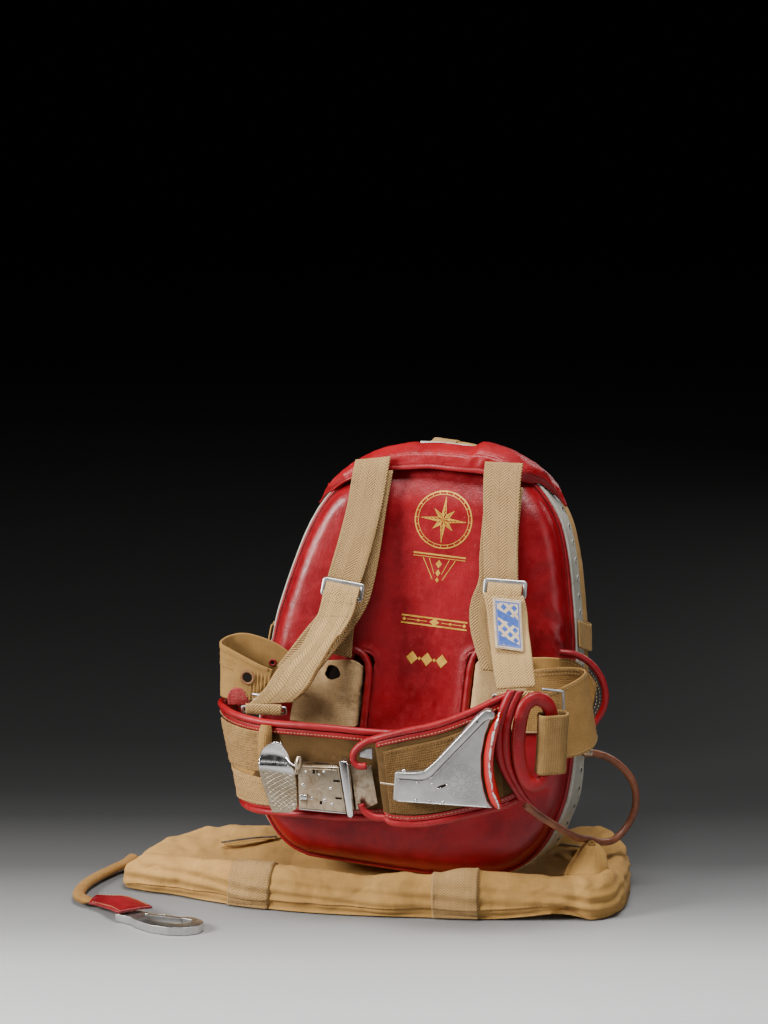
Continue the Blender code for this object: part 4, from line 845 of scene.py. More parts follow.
# ------------------------------------------------------------------ pack outline and pad surface
EGG = [(-4, 0, 0), (-3, 40, 108), (-1, 66, 124), (2, 88, 136), (8, 118, 148), (17, 139, 160), (29, 154.5, 171),
       (45, 168, 182), (64, 178.5, 190), (88, 186.5, 196), (118, 193, 199.5), (165, 195, 200.5), (238, 189.5, 197.5),
       (286, 183.5, 193.5), (318, 179, 188), (360, 171, 178.5), (404, 161.5, 166), (438, 151, 151.5), (460, 140, 136),
       (480, 124.5, 114), (497, 105, 85), (509, 79, 52), (516.5, 45, 24.5), (518.7, 0, 0)]
ES = -5.0


def outline(n):
    d = catmull(EGG, 24)
    r = np.stack([np.maximum(0, d[:, 1]) + ES, d[:, 0]], 1)
    l = np.stack([-np.maximum(0, d[1:-1, 2]) + ES, d[1:-1, 0]], 1)[::-1]
    loop = resample(np.vstack([r, l]), n=n, cyclic=True, key=2)
    t = unit(np.roll(loop, -1, 0) - np.roll(loop, 1, 0))
    nn = np.stack([t[:, 1], -t[:, 0]], 1)
    for _ in range(3):
        nn = unit(np.roll(nn, 1, 0) + nn + np.roll(nn, -1, 0))
    return loop, nn


NST = 560
EO, EN = outline(NST)
ESEG = arc(EO, True)


def inset(u, w):
    """distance in from the pack outline, and the nearest station"""
    q = np.stack([np.ravel(u), np.ravel(w)], 1)
    dist = np.empty(len(q))
    near = np.empty(len(q), int)
    for a in range(0, len(q), 8000):
        d = np.linalg.norm(q[a:a + 8000, None] - EO[None], axis=2)
        near[a:a + 8000] = d.argmin(1)
        dist[a:a + 8000] = d.min(1)
    sgn = np.sign(((EO[near] - q) * EN[near]).sum(1))
    return (dist * sgn).reshape(np.shape(u)), near.reshape(np.shape(u))


PADP = np.array([(-1, -6.5), (0.0, -8.0), (0.5, -11.0), (2.4, -12.9), (5.0, -13.7), (7.0, -17.2), (9.4, -24.4), (12.4, -29.8),
                 (17, -33.6), (26, -36.6), (48, -38.2), (75, -37.9), (105, -36.9), (142, -35.2), (200, -34.9)], float)
PADC = catmull(PADP, 16)


def thin(w):
    return 1.0 - 0.42 * sstep(445, 500, w)


SLOTS = [(-90.0, -66.0, 120.0, 262.0), (52.5, 76.0, 120.0, 280.0)]


def slot_sdf(u, w):
    out = None
    for a, b, lo, hi in SLOTS:
        qx = np.abs(u - (a + b) / 2) - (b - a) / 2 + 11
        qy = np.abs(w - (lo + hi) / 2) - (hi - lo) / 2 + 11
        d = np.hypot(np.maximum(qx, 0), np.maximum(qy, 0)) + np.minimum(np.maximum(qx, qy), 0) - 11
        out = d if out is None else np.minimum(out, d)
    return out


def pad_v(u, w, detail=True, d=None):
    """the pad's front face, mm forward of the rim plane (negative is forward)"""
    u, w = np.asarray(u, float), np.asarray(w, float)
    if d is None:
        d, near = inset(u, w)
    v = np.interp(d, PADC[:, 0], PADC[:, 1])
    v = np.where(v < -8.5, -7.0 + (v + 7.0) * thin(w), v)
    if detail:
        P = np.stack([u, w, np.zeros_like(u)], -1)
        soft = sstep(6, 24, d)
        v = v + soft * (0.9 * fbm(P, (90, 130, 90), 3, 3) + 0.32 * fbm(P, (22, 30, 20), 3, 5))
        # the padding's edge puckers a little over the stuffing
        v = v - 0.45 * bump(d, 13, 5) * vnoise(P, (13, 13, 9), 8) - 0.26 * bump(d, 18, 7) * vnoise(P, (7, 7, 7), 9)
        # seam groove by the edge, and the piped fold inside it
        v = v + 0.75 * bump(d, 4.5, 1.1) - 0.5 * bump(d, 2.4, 1.4)
        # slack wrinkles on the right and round the slots
        zone = np.exp(-((u - 158) / 20) ** 2 - ((w - 318) / 52) ** 2)
        v = v + 1.1 * zone * np.sin((w + 0.55 * u + 6 * vnoise(P, (30, 30, 30), 4)) / 4.6)
        zone = np.exp(-((u - 128) / 20) ** 2 - ((w - 372) / 40) ** 2) * 0.6
        v = v + 0.8 * zone * np.sin((w - 0.9 * u) / 6.0)
        zone = np.exp(-((u - 60) / 34) ** 2 - ((w - 108) / 26) ** 2) + np.exp(-((u + 70) / 34) ** 2 - ((w - 104) / 24) ** 2)
        v = v + 0.8 * zone * np.sin((w * 0.8 + 0.8 * np.abs(u) + 7 * vnoise(P, (34, 34, 34), 6)) / 5.2)
        dents = sum(np.exp(-((u - a) / 3.0) ** 2 - ((w - b) / 4.5) ** 2) * c
                    for a, b, c in ((18, 208, 0.9), (26, 187, 0.8), (9, 214, 0.5), (-14, 226, 0.5), (6, 300, 0.35), (-24, 196, 0.6)))
        v = v + dents
        s = slot_sdf(u, w)
        v = v - 3.4 * bump(s, 0.5, 9) + 0.9 * bump(s, 4.6, 1.2)
        v = np.where(s < 2.2, v + (-16.5 - v) * sstep(2.2, -2.0, s), v)
    return v


def pad_at(u, w, h=0.0):
    """points on the pad face in the design frame, h mm off it, and the outward normals"""
    u, w = np.asarray(u, float), np.asarray(w, float)
    e = 0.8
    v = pad_v(u, w)
    du = (pad_v(u + e, w) - pad_v(u - e, w)) / (2 * e)
    dw = (pad_v(u, w + e) - pad_v(u, w - e)) / (2 * e)
    n = unit(np.stack([du, -np.ones_like(du), dw], -1))
    P = np.stack([u, v, w], -1) + n * np.asarray(h, float)[..., None] if np.ndim(h) else np.stack([u, v, w], -1) + n * h
    return pk(P), pkn(n)


MID = np.array((ES, 250.0))


def build_pad():
    ds = np.concatenate([[-0.2, 0.0, 0.3, 0.8, 1.5, 2.3, 3.0, 3.6, 4.0, 4.5, 5.0, 5.5, 6.1, 6.8, 7.5, 8.2, 9.0, 9.8, 10.8, 11.8, 13.0, 14.4],
                         np.arange(16.0, 48.1, 1.75)])
    rows_ = []
    for d in ds:
        rows_.append(EO - EN * d)
    last = rows_[-1]
    for g in np.linspace(1, 0, 60)[1:]:
        rows_.append(MID + (last - MID) * max(g, 0.004))
    Q = np.array(rows_)
    U, W = Q[..., 0], Q[..., 1]
    D, _ = inset(U, W)
    D[:len(ds)] = ds[:, None]
    V = pad_v(U, W, d=D)
    V[0] = -6.6
    P = pk(np.stack([U, V, W], -1))
    back = pk(np.stack([EO[:, 0] - EN[:, 0] * 9, np.full(NST, -7.1), EO[:, 1] - EN[:, 1] * 9], -1))
    P = np.concatenate([back[None], P])
    ob = grid("pad_leather", P, MT["pad"], cv=True, U=np.arange(len(P)) * 2.5, V=ESEG, replaces="back_pad", slot="red_leather")
    return ob


build_pad()


def pad_line(d, i0, i1, h=0.0):
    """line along the pad's edge, d mm in, from station share i0 to i1"""
    s = np.linspace(i0, i1, max(8, int((i1 - i0) * NST)))
    k = (s * NST) % NST
    a = np.floor(k).astype(int) % NST
    f = (k % 1)[:, None]
    O = EO[a] * (1 - f) + EO[(a + 1) % NST] * f
    N = unit(EN[a] * (1 - f) + EN[(a + 1) % NST] * f)
    Q = O - N * d
    return pad_at(Q[:, 0], Q[:, 1], h)


P_, N_ = pad_line(4.5, 0.0, 1.0)
stitches("pad_edge_stitches", P_, N_, MT["dark"], pitch=3.9, length=2.7, r=0.50, lift=0.42, slot="red_leather")


# ------------------------------------------------------------------ gold ornaments on the pad, plain and generic
def draped(name, shapes, mat, h=0.28, step=1.1, **kw):
    """flat figures laid on the pad; shapes are closed outlines in u, w cut into small faces"""
    bm = bmesh.new()
    for poly in shapes:
        vs = [bm.verts.new((float(a), 0.0, float(b))) for a, b in poly]
        try:
            bm.faces.new(vs)
        except ValueError:
            continue
    bmesh.ops.triangulate(bm, faces=bm.faces)
    for _ in range(4):
        long = [e for e in bm.edges if e.calc_length() > step * 1.8]
        if not long:
            break
        bmesh.ops.subdivide_edges(bm, edges=long, cuts=1, use_grid_fill=False)
        bmesh.ops.triangulate(bm, faces=bm.faces)
    bm.verts.index_update()
    UW = np.array([(v.co.x, v.co.z) for v in bm.verts])
    F = [[v.index for v in f.verts] for f in bm.faces]
    bm.free()
    P, N = pad_at(UW[:, 0], UW[:, 1], h)
    F2 = []
    for f in F:
        a, b, c = (P[i] for i in f[:3])
        if np.cross(b - a, c - a) @ N[f[0]] < 0:
            f = f[::-1]
        F2.append(f)
    return mesh_object(name, P, F2, mat, fix=False, **kw)


def ring_strip(cu, cw, ru, rw, t, n=72, a0=0.0, a1=2 * math.pi):
    out = []
    for i in range(n):
        g, g2 = a0 + (a1 - a0) * i / n, a0 + (a1 - a0) * (i + 1) / n
        c = [(cu + (ru + o) * math.cos(q), cw + (rw + o) * math.sin(q)) for q, o in ((g, 0), (g2, 0), (g2, t), (g, t))]
        out.append(c)
    return out


def lozenge(cu, cw, a, b):
    return [(cu + a, cw), (cu, cw + b), (cu - a, cw), (cu, cw - b)]


def bar(u0, w0, u1, w1, t0, t1=None):
    t1 = t0 if t1 is None else t1
    d = unit(np.array((u1 - u0, w1 - w0), float))
    n = np.array((-d[1], d[0]))
    a, b = np.array((u0, w0)), np.array((u1, w1))
    return [tuple(a + n * t0 / 2), tuple(a - n * t0 / 2), tuple(b - n * t1 / 2), tuple(b + n * t1 / 2)]


ROSE = (1.5, 437.0)
fig = ring_strip(*ROSE, 34.0, 34.0, 1.5) + ring_strip(*ROSE, 30.6, 30.6, 0.8)
for i in range(8):
    g = math.pi / 4 * i + math.pi / 2
    r1 = 28.0 if i % 2 == 0 else 17.0
    for sgn in (1, -1):
        h = g + sgn * math.pi / 8
        q = 7.2
        tip = (ROSE[0] + r1 * math.cos(g), ROSE[1] + r1 * math.sin(g))
        sh = (ROSE[0] + q * math.cos(h), ROSE[1] + q * math.sin(h))
        if sgn == 1:
            fig.append([ROSE, sh, tip])
        else:                                     # the far half is hatched with thin bars, as tooled gold is
            for t in np.linspace(0.18, 0.94, 5):
                a = (ROSE[0] + (tip[0] - ROSE[0]) * t, ROSE[1] + (tip[1] - ROSE[1]) * t)
                b_ = (sh[0] + (tip[0] - sh[0]) * t, sh[1] + (tip[1] - sh[1]) * t)
                fig.append(bar(*a, *b_, 0.8))
            fig.append(bar(*sh, *tip, 0.8))
for i in range(24):
    g = 2 * math.pi * i / 24
    fig.append(bar(ROSE[0] + 30.8 * math.cos(g), ROSE[1] + 30.8 * math.sin(g), ROSE[0] + 34 * math.cos(g),
                   ROSE[1] + 34 * math.sin(g), 0.8))
fig.append(bar(-31, 393.5, 34, 393.5, 1.9))
fig.append(bar(-31, 390.0, 34, 390.0, 0.8))
for cw, a, b in ((382.5, 3.9, 5.2), (371.5, 3.0, 4.3), (362.8, 2.2, 3.2)):
    fig.append(lozenge(1.5, cw, a, b))
for sgn in (1, -1):
    fig.append(bar(1.5 + sgn * 20, 388.5, 1.5 + sgn * 6, 363, 0.9))
    fig.append(bar(1.5 + sgn * 12.5, 388.5, 1.5 + sgn * 4.6, 370, 0.8))
draped("gold_rose", fig, MT["gold"])
fig = [bar(-37, 315.4, 45, 315.4, 1.9), bar(-37, 306.2, 45, 306.2, 1.9), lozenge(4, 310.8, 6.2, 4.4)]
for sgn in (1, -1):
    fig += [bar(4 + sgn * 9, 310.8, 4 + sgn * 34, 310.8, 0.9), lozenge(4 + sgn * 37.5, 310.8, 2.4, 2.4), lozenge(4 + sgn * 20, 310.8, 2.6, 1.8)]
draped("gold_rules", fig, MT["gold"])
fig = []
for cu in (-18.5, 0.0, 18.5):
    fig += [[p for p in lozenge(cu, 264.5, 7.2, 8.2)]]
for cu in (-9.25, 9.25):
    fig += [lozenge(cu, 264.5, 2.0, 2.4)]
draped("gold_lozenges", fig, MT["gold"])


# ------------------------------------------------------------------ grey rim
def spread(rim):
    """how far the rim or the cover stands out of the outline, by the way that it faces"""
    right, left = sstep(0.4, 0.8, EN[:, 0]), sstep(0.3, 0.8, -EN[:, 0])
    up, shoulder = sstep(-0.12, 0.14, EN[:, 1]), sstep(0.3, 0.55, EN[:, 1])
    if rim:
        return 1 + right * (0.2 - 0.54 * up) - left * (0.32 + 0.2 * shoulder)
    return 1 - 0.35 * right - 0.38 * left - 0.15 * up * (1 - right) * (1 - left)


def outring(r, v, rim=False):
    foot = np.maximum(0, -EN[:, 1]) ** 2
    q = (r * (1 - 0.9 * foot) * spread(rim) if r > 0 else np.full(NST, float(r))) - 6.0 * foot * sstep(35, 75, v)
    return np.stack([EO[:, 0] + EN[:, 0] * q, np.full(NST, float(v)), EO[:, 1] + EN[:, 1] * q], 1)


def build_rim():
    sec = [(-9, -3.5), (-4, -4.8), (0.6, -6.1), (1.6, -6.3), (2.8, -5.9), (3.6, -4.9), (4.4, -1.5), (5.0, 1.6), (5.25, 2.8), (4.9, 3.8),
           (5.35, 5.0), (6.3, 8.6), (7.3, 12.6), (8.3, 16.4), (9.0, 19.4), (9.1, 20.4), (9.9, 21.4), (10.5, 23.2), (10.9, 25.0),
           (10.5, 26.4), (9.0, 26.6), (5.6, 26.0), (5.5, 23.0), (3.0, 11.0), (0.6, -1.0), (-9, -0.8)]
    S = resample(np.array(sec, float), n=48, cyclic=True, key=2)
    P = np.array([pk(outring(r, v, True)) for r, v in S])
    P = np.transpose(P, (1, 0, 2))
    grid("rim_painted", P, MT["rim"], cu=True, cv=True, U=ESEG, V=arc(S, True), replaces="tray_rim", slot="grey_paint")


build_rim()
HOLE_V = [], []
n_lace = 72
lace_a, lace_b = outring(8.4, 16.8, True), outring(8.75, 18.2, True)
LACE_ALONG = []
for i in range(n_lace):
    k = int(NST * (i + 0.5) / n_lace) % NST
    a, b = lace_a[k], lace_b[k]
    p = pk(a)
    along = pk(b) - pk(a)
    LACE_ALONG.append(unit(along))
    side = pk(lace_a[(k + 1) % NST]) - pk(a)
    n = unit(np.cross(along, side))
    if n @ pkn((EN[k, 0], 0, EN[k, 1])) < 0:
        n = -n
    HOLE_V[0].append(p + n * 0.35)
    HOLE_V[1].append(n)
# the lacing holes are dark discs on the paint: painted shade where open holes would be
dome("rim_lace_holes", HOLE_V[0], np.array(HOLE_V[1]), 2.7, 0.22, MT["hole_shade_and_black"], sides=14, slot="grey_paint")


def washers(name, spots, normals, r0, r1, h, mat, sides=16, **kw):
    V, F = [], []
    prof = [(r0 * 0.92, -0.3), (r0, h * 0.7), ((r0 + r1) / 2, h), (r1, h * 0.55), (r1 * 1.04, -0.3)]
    for p, nn in zip(spots, normals):
        nn = unit(nn)
        x = unit(np.cross(nn, (0.31, 0.2, 0.93)))
        y = np.cross(nn, x)
        b = len(V)
        for rr, z in prof:
            for j in range(sides):
                t = 2 * math.pi * j / sides
                V.append(p + (x * math.cos(t) + y * math.sin(t)) * rr + nn * z)
        for i in range(len(prof) - 1):
            for j in range(sides):
                F.append((b + i * sides + j, b + i * sides + (j + 1) % sides, b + (i + 1) * sides + (j + 1) % sides, b + (i + 1) * sides + j))
    return mesh_object(name, np.array(V), F, mat, **kw)


washers("rim_lace_edges", HOLE_V[0], HOLE_V[1], 2.6, 3.4, 0.45, MT["rim"], slot="grey_paint")

# ------------------------------------------------------------------ canvas cover behind
COVER = [(-8.5, 0.4), (1.2, 23.5), (1.8, 26.8), (8.5, 27.6), (14.5, 42), (12, 60), (0, 77), (-22, 88), (-58, 93.5)]


def cover_grid():
    S = resample(catmull(np.array(COVER, float), 10), step=3.4, key=2)
    rings_ = [outring(r, v) for r, v in S]
    flat = np.stack([EO[:, 0], np.zeros(NST), EO[:, 1]], 1)
    last = rings_[-1]
    for f in np.linspace(0, 1, 34)[1:]:
        c = np.stack([last[:, 0] + (ES - last[:, 0]) * f, 93.5 + (95.2 - 93.5) * min(1, f * 2.5) + 0 * last[:, 0], last[:, 2] + (250 - last[:, 2]) * f], 1)
        rings_.append(c)
    Q = np.array(rings_)[:, ::2]
    n0 = len(S)
    v = Q[..., 1]
    out = np.stack([Q[..., 0] - ES, np.zeros_like(v), Q[..., 2] - 250], -1)
    out = unit(out)
    depth = sstep(25, 60, v)
    amp = 2.3 * sstep(27, 40, v)
    P3 = Q * np.array((1, 1, 1))
    n1 = fbm(P3, (70, 55, 90), 3, 21)
    n2 = fbm(P3, (24, 40, 30), 2, 24)
    cr = creases(P3, (60, 60, 60), 27, 7.0)
    bulge = amp * (0.9 * n1 + 0.45 * n2 - 0.9 * cr)
    nrm = out * (1 - depth[..., None] * 0.8) + np.array((0, 1.0, 0)) * depth[..., None]
    Q = Q + unit(nrm) * bulge[..., None]
    return Q


CG = cover_grid()
ob = grid("cover_canvas", pk(CG), MT["canvas"], cv=True, V=ESEG[::2], replaces="back_cover", slot="tan_canvas")

BAND_PATH = [(4.6, -8.6), (5.6, -3.0), (8.6, 20.0), (9.9, 29), (12.8, 42), (11.2, 61), (1.8, 79.7),
             (-22.5, 91.8), (-58, 97)]
EA = np.array(EGG, float)


def half_at(w, side=1):
    return float(np.interp(w, EA[:, 0], EA[:, 1 if side > 0 else 2]))


rows_b = []
for side, order in ((1, 1), (-1, -1)):
    for r, v in BAND_PATH[::order]:
        ws = 317 - 0.16 * (min(v, 42) + 8) if side > 0 else 262
        lo, hi = ws - 16.5, ws + 16.5
        rows_b.append((ES + side * (half_at(lo, side) + r + 0.6), v + (0.8 if v > 60 else 0), lo, ES + side * (half_at(hi, side) + r + 0.6),
                       v + (0.8 if v > 60 else 0), hi))
    if side > 0:
        rows_b += [(ES + 40, 99.6, 276, ES + 40, 99.6, 309), (ES - 40, 99.6, 262, ES - 40, 99.6, 295)]
rows_b = [(*pk(r[:3]), *pk(r[3:])) for r in rows_b]
bh = Ribbon(rows_b, 2.0, step=4.0, across=10, k=8, wave=lambda S, C: 0.35 * np.sin(S / 17.0) + 0.25 * np.sin(S / 9.0 + C * 5))
bh.mesh("band_round", MT["band"], replaces="band_h", slot="coarse_webbing")
VB = [(4, 527.0), (14, 528.6), (27, 530.6), (34, 531.8), (43, 532.8), (61, 531.2), (79.5, 520), (91.5, 499), (97.0, 462),
      (99.5, 400), (102.5, 350), (103.5, 300), (102.5, 240), (99.8, 190), (98.6, 120), (97.6, 58), (92.8, 19), (82.2, 1)]
bv = Ribbon([(*pk((ES - 29, v + 0.5, w)), *pk((ES + 1, v + 0.5, w))) for v, w in VB], 2.0, step=4.0, across=10, k=6, front=(0, 1, 0),
            wave=lambda S, C: 0.3 * np.sin(S / 21.0 + C * 3))
bv.mesh("band_over", MT["band"], replaces="band_v", slot="coarse_webbing")

# ------------------------------------------------------------------ leather hood over the top
# u along the top, front edge r and v, how far out it stands, v of its rear edge
HOOD = [(-159, 6.0, 14, 7.4, 18), (-153, 5.5, 5, 8.5, 22), (-144, -0.8, -14.5, 9.2, 25), (-127, -4.6, -32, 11.5, 28),
        (-102, -9.5, -35.5, 14.3, 28), (-77, -13.8, -36, 16, 28), (-54, -17.4, -36, 15.2, 28), (-46, -18.4, -36, 14.6, 27),
        (-38, -19.2, -36, 11.5, -3), (-3, -21.1, -36, 10.8, -4), (24, -19.6, -36, 11.8, -3), (33, -18.8, -36, 19.0, 27),
        (46, -17.8, -36, 19.6, 28), (66, -14.5, -35.5, 18.8, 28), (80, -11, -34, 17.6, 28), (92, -8, -30, 17, 28),
        (101, -3.9, -17, 17, 28), (108, 4.2, -7, 16.8, 28), (120, 7.1, 4, 15.6, 27), (126, 8.9, 11, 14.2, 25),
        (134, 10.4, 17, 12.4, 22)]


def build_cap():
    T = np.array(HOOD, float)
    top = np.array([k for k in range(NST) if EO[k, 1] > 425.0 and T[0, 0] <= EO[k, 0] <= T[-1, 0]])
    top = top[np.argsort(-EO[top, 0])]
    p, nrm = EO[top], EN[top]
    n = len(top)
    a = arc(p)
    rf, vf, ro, vr = (np.interp(p[:, 0], T[:, 0], T[:, i]) for i in (1, 2, 3, 4))
    vt = np.maximum(-9.0, np.minimum(vf + 6.0, vr - 5.0))
    outer = [(rf + (ro - rf) * f, vf + (vt - vf) * g) for f, g in ((0, 0), (0.15, 0.0), (0.30, 0.01), (0.45, 0.02), (0.58, 0.06), (0.70, 0.20), (0.80, 0.37),
                                                                  (0.89, 0.58), (0.96, 0.79), (1, 1))]
    outer += [(ro, vt + (vr - vt) * 0.4), (ro, vt + (vr - vt) * 0.75), (ro - 0.3, vr)]
    O = catmull(np.array([np.stack([r, v], 1) for r, v in outer]), 5)
    dO = np.gradient(O, axis=0)
    inw = unit(np.stack([-dO[..., 1], dO[..., 0]], -1))
    thick = 2.6 - 1.0 * sstep(-140, -159, p[:, 0]) - 1.0 * sstep(112, 134, p[:, 0])
    I = (O + inw * thick[None, :, None])[::-3]
    lip = np.array([np.stack([rf - 0.7, vf + thick * 0.5], 1)])
    j = np.arange(len(O))[:, None] / (len(O) - 1)
    A = a[None, :]
    # out of the section, approximately outwards: towards -v at the front, outwards at the top
    nv = -np.cos(np.clip(j * 2.1, 0, math.pi / 2)) * 1.0
    nr = np.sin(np.clip(j * 2.1, 0, math.pi / 2))
    P3 = np.stack([A + 0 * j, j * 80 + 0 * A, np.zeros_like(A + j)], -1)
    disp = 0.55 * fbm(P3, (46, 26, 20), 3, 31)
    disp = disp + 0.45 * fbm(P3, (9, 22, 20), 2, 33) * sstep(0.02, 0.25, j)
    seam = 0.9 * bump(j, 0.335, 0.010) - 0.45 * bump(j, 0.36, 0.018)
    disp = disp - seam
    # hem fold along the front edge, and crinkles by the right strap and the corners
    disp = disp + 0.8 * bump(j, 0.03, 0.04) - 0.6 * bump(j, 0.085, 0.014)
    frac = A / a[-1]
    cr = np.exp(-((frac - 0.33) / 0.05) ** 2) * np.exp(-((j - 0.24) / 0.12) ** 2)
    disp = disp + 1.0 * cr * np.sin(A / 2.9 + 7 * j)
    cr = (np.exp(-((frac - 0.06) / 0.05) ** 2) + np.exp(-((frac - 0.93) / 0.05) ** 2))
    disp = disp + 0.7 * cr * np.sin(A / 5.0 - 11 * j)
    cr = np.exp(-((frac - 0.71) / 0.07) ** 2) * np.exp(-((j - 0.45) / 0.2) ** 2)
    disp = disp + 0.7 * cr * np.sin(A / 6.0 + 9 * j)
    fade = sstep(0.0, 0.05, frac) * sstep(1.0, 0.95, frac)
    disp = disp * (0.3 + 0.7 * fade)
    O = O + np.stack([nr * disp, nv * disp], -1)
    R = np.concatenate([O, I, lip])
    pts = np.stack([p[None, :, 0] + nrm[None, :, 0] * R[..., 0], R[..., 1], p[None, :, 1] + nrm[None, :, 1] * R[..., 0]], -1)
    P = np.transpose(pk(pts), (1, 0, 2))
    ob = grid("hood_leather", P, MT["leather"], cv=True, U=a, caps=True, replaces="cap", slot="red_leather")
    # hem stitches follow the front edge
    k = int(0.085 * (len(O) - 1))
    line = P[:, k]
    nn = unit(np.cross(P[:, k + 1] - P[:, k], np.gradient(P[:, k], axis=0)))
    if (nn @ np.array((0, -1.0, 0))).mean() < 0:
        nn = -nn
    stitches("hood_stitches", line[6:-6], nn[6:-6], MT["red_thread"], pitch=3.8, length=2.6, r=0.36, lift=0.15, slot="red_leather")
    return P


CAPP = build_cap()
# the metal edge that shows in the hood's notch
edge = [pk((u, 1.5, 519.4 + 8.6 - 0.0012 * (u + 1) ** 2)) for u in np.linspace(-44, 42, 24)]
tube("rim_notch_edge", edge, 2.6, MT["rim"], k=2, sides=12, step=2.0, slot="grey_paint")

# ------------------------------------------------------------------ slots in the pad
ROLL_L = [(-97, -38.6, 265), (-88, -38.8, 264.4), (-79.5, -38.9, 260.5), (-72.5, -38.8, 252), (-69, -38.6, 238),
          (-68.5, -38.5, 215), (-68.5, -38.5, 180), (-69, -38.6, 146), (-73, -39.0, 127), (-83, -39.2, 117)]
ROLL_R = [(79, -39.2, 294), (69, -39.2, 290), (60.5, -39.0, 280.5), (55.8, -38.7, 264), (55.0, -38.5, 240), (55.0, -38.5, 212),
          (55.0, -38.5, 180), (56, -38.6, 146), (60, -39.0, 127), (69, -39.2, 117)]
for nm, roll, sgn in (("L", ROLL_L, 1), ("R", ROLL_R, -1)):
    tube("slot_piping_" + nm, [pk(p) for p in roll], lambda t: 4.5 + 0.12 * math.sin(t * 61), MT["leather"], k=10, sides=20, step=2.0,
         replaces="slot_roll_" + nm, slot="red_leather")
    D = resample(catmull(roll, 10), step=2.0)
    off = np.array([(p[0] + sgn * 6.4, p[2]) for p in D])
    P_, N_ = pad_at(off[:, 0], off[:, 1], 0.0)
    stitches("slot_stitches_" + nm, P_, N_, MT["dark"], pitch=4.0, length=2.6, r=0.45, lift=0.3, slot="red_leather")


# ------------------------------------------------------------------ lumbar bands
def with_hole(ob, centre, axis, rx, rz, ref, depth=12, n=28):
    """cut an oval hole through a piece, centre and axes in the design frame"""
    c, ax, ref = np.asarray(centre, float), unit(axis), unit(ref)
    up = np.cross(ax, ref)
    V, F = [], []
    for s_ in (-depth, depth):
        for i in range(n):
            g = 2 * math.pi * i / n
            w_ = 1 + 0.07 * math.sin(3 * g + 1) + 0.04 * math.sin(5 * g)
            V.append(c + ax * s_ + (ref * math.cos(g) * rx + up * math.sin(g) * rz) * w_)
    for i in range(n):
        F.append((i, (i + 1) % n, n + (i + 1) % n, n + i))
    F.append(list(range(n))[::-1])
    F.append(list(range(n, 2 * n)))
    me = bpy.data.meshes.new("hole_tool")
    me.from_pydata(((np.array(V) + OFF) * 0.001).tolist(), [], F)
    bm = bmesh.new()
    bm.from_mesh(me)
    bmesh.ops.recalc_face_normals(bm, faces=bm.faces)
    bm.to_mesh(me)
    bm.free()
    tool = bpy.data.objects.new("hole_tool", me)
    scene.collection.objects.link(tool)
    mod = ob.modifiers.new("hole", "BOOLEAN")
    mod.operation, mod.solver, mod.object = "DIFFERENCE", "EXACT", tool
    bpy.context.view_layer.update()
    ev = ob.evaluated_get(bpy.context.evaluated_depsgraph_get())
    new = bpy.data.meshes.new_from_object(ev)
    ob.modifiers.clear()
    old = ob.data
    if len(new.polygons) > 10:
        ob.data = new
        bpy.data.meshes.remove(old)
    bpy.data.objects.remove(tool)
    bpy.data.meshes.remove(me)


LUM_L = [(-78.2, -20, 246, 172), (-78.2, -33, 246, 172), (-78.6, -43.0, 247.5, 172), (-82, -47.5, 251, 171), (-92, -48.0, 253, 170),
         (-112, -46.5, 250, 169), (-138, -44.5, 246, 168), (-160, -42.0, 243, 168)]
LUM_R = [(62.4, -20, 262, 182), (62.4, -33, 263, 182), (63.0, -43.0, 268, 182), (67.5, -47.5, 275, 182),
         (78, -48.0, 284, 184), (100, -46.5, 284, 188), (130, -45.0, 284, 192), (158, -43.0, 284, 196)]
rough = lambda a, b, seed: (lambda S, C: a * fbm(np.stack([S + 0 * C, C * 80 + 0 * S, 0 * S + 0 * C], -1), 18, 3, seed)
                            + b * fbm(np.stack([S + 0 * C, C * 80 + 0 * S, 0 * S + 0 * C], -1), 4.5, 2, seed + 2))
ll = Ribbon([(*pk((u, v, lo)), *pk((u, v, hi))) for u, v, hi, lo in LUM_L], 2.6, step=1.7, across=44, k=8, wave=rough(0.9, 0.45, 41))
lumL = ll.mesh("lumbar_left", MT["felt_pale"], replaces="lumbar_band_L", slot="coarse_webbing")
dome("lumbar_hole_shade", [pk((-112.5, -43.4, 234.3))], [pkn((0, -1, 0))], 12.0, 0.3, MT["hole_shade_and_black"], sides=24, slot="coarse_webbing")
with_hole(lumL, pk((-112.5, -47, 234.3)), pkn((0, 1, 0)), 9.4, 9.0, pkn((1, 0, 0)))
lr = Ribbon([(*pk((u, v, lo)), *pk((u, v, hi))) for u, v, hi, lo in LUM_R], 2.6, step=2.0, across=36, k=8, wave=rough(0.5, 0.15, 47))
lr.mesh("lumbar_right", MT["felt_pale"], replaces="lumbar_band_R", slot="coarse_webbing")


# ------------------------------------------------------------------ helpers for sewn work
def seam(name, rib, c_mm, mat, s0=0.0, s1=None, h=None, side=1, pitch=4.2, length=2.9, r=0.42, **kw):
    """stitches along a ribbon, c_mm from its first edge"""
    s1 = rib.length if s1 is None else s1
    S = np.linspace(s0, s1, max(6, int((s1 - s0) / 2)))
    c = c_mm(S) if callable(c_mm) else np.full(len(S), float(c_mm))
    hh = (rib.t / 2 + 0.02) if h is None else h
    P, N = rib.at(S, c / rib.width, side * hh)
    return stitches(name, P, N * side, mat, pitch=pitch, length=length, r=r, **kw)


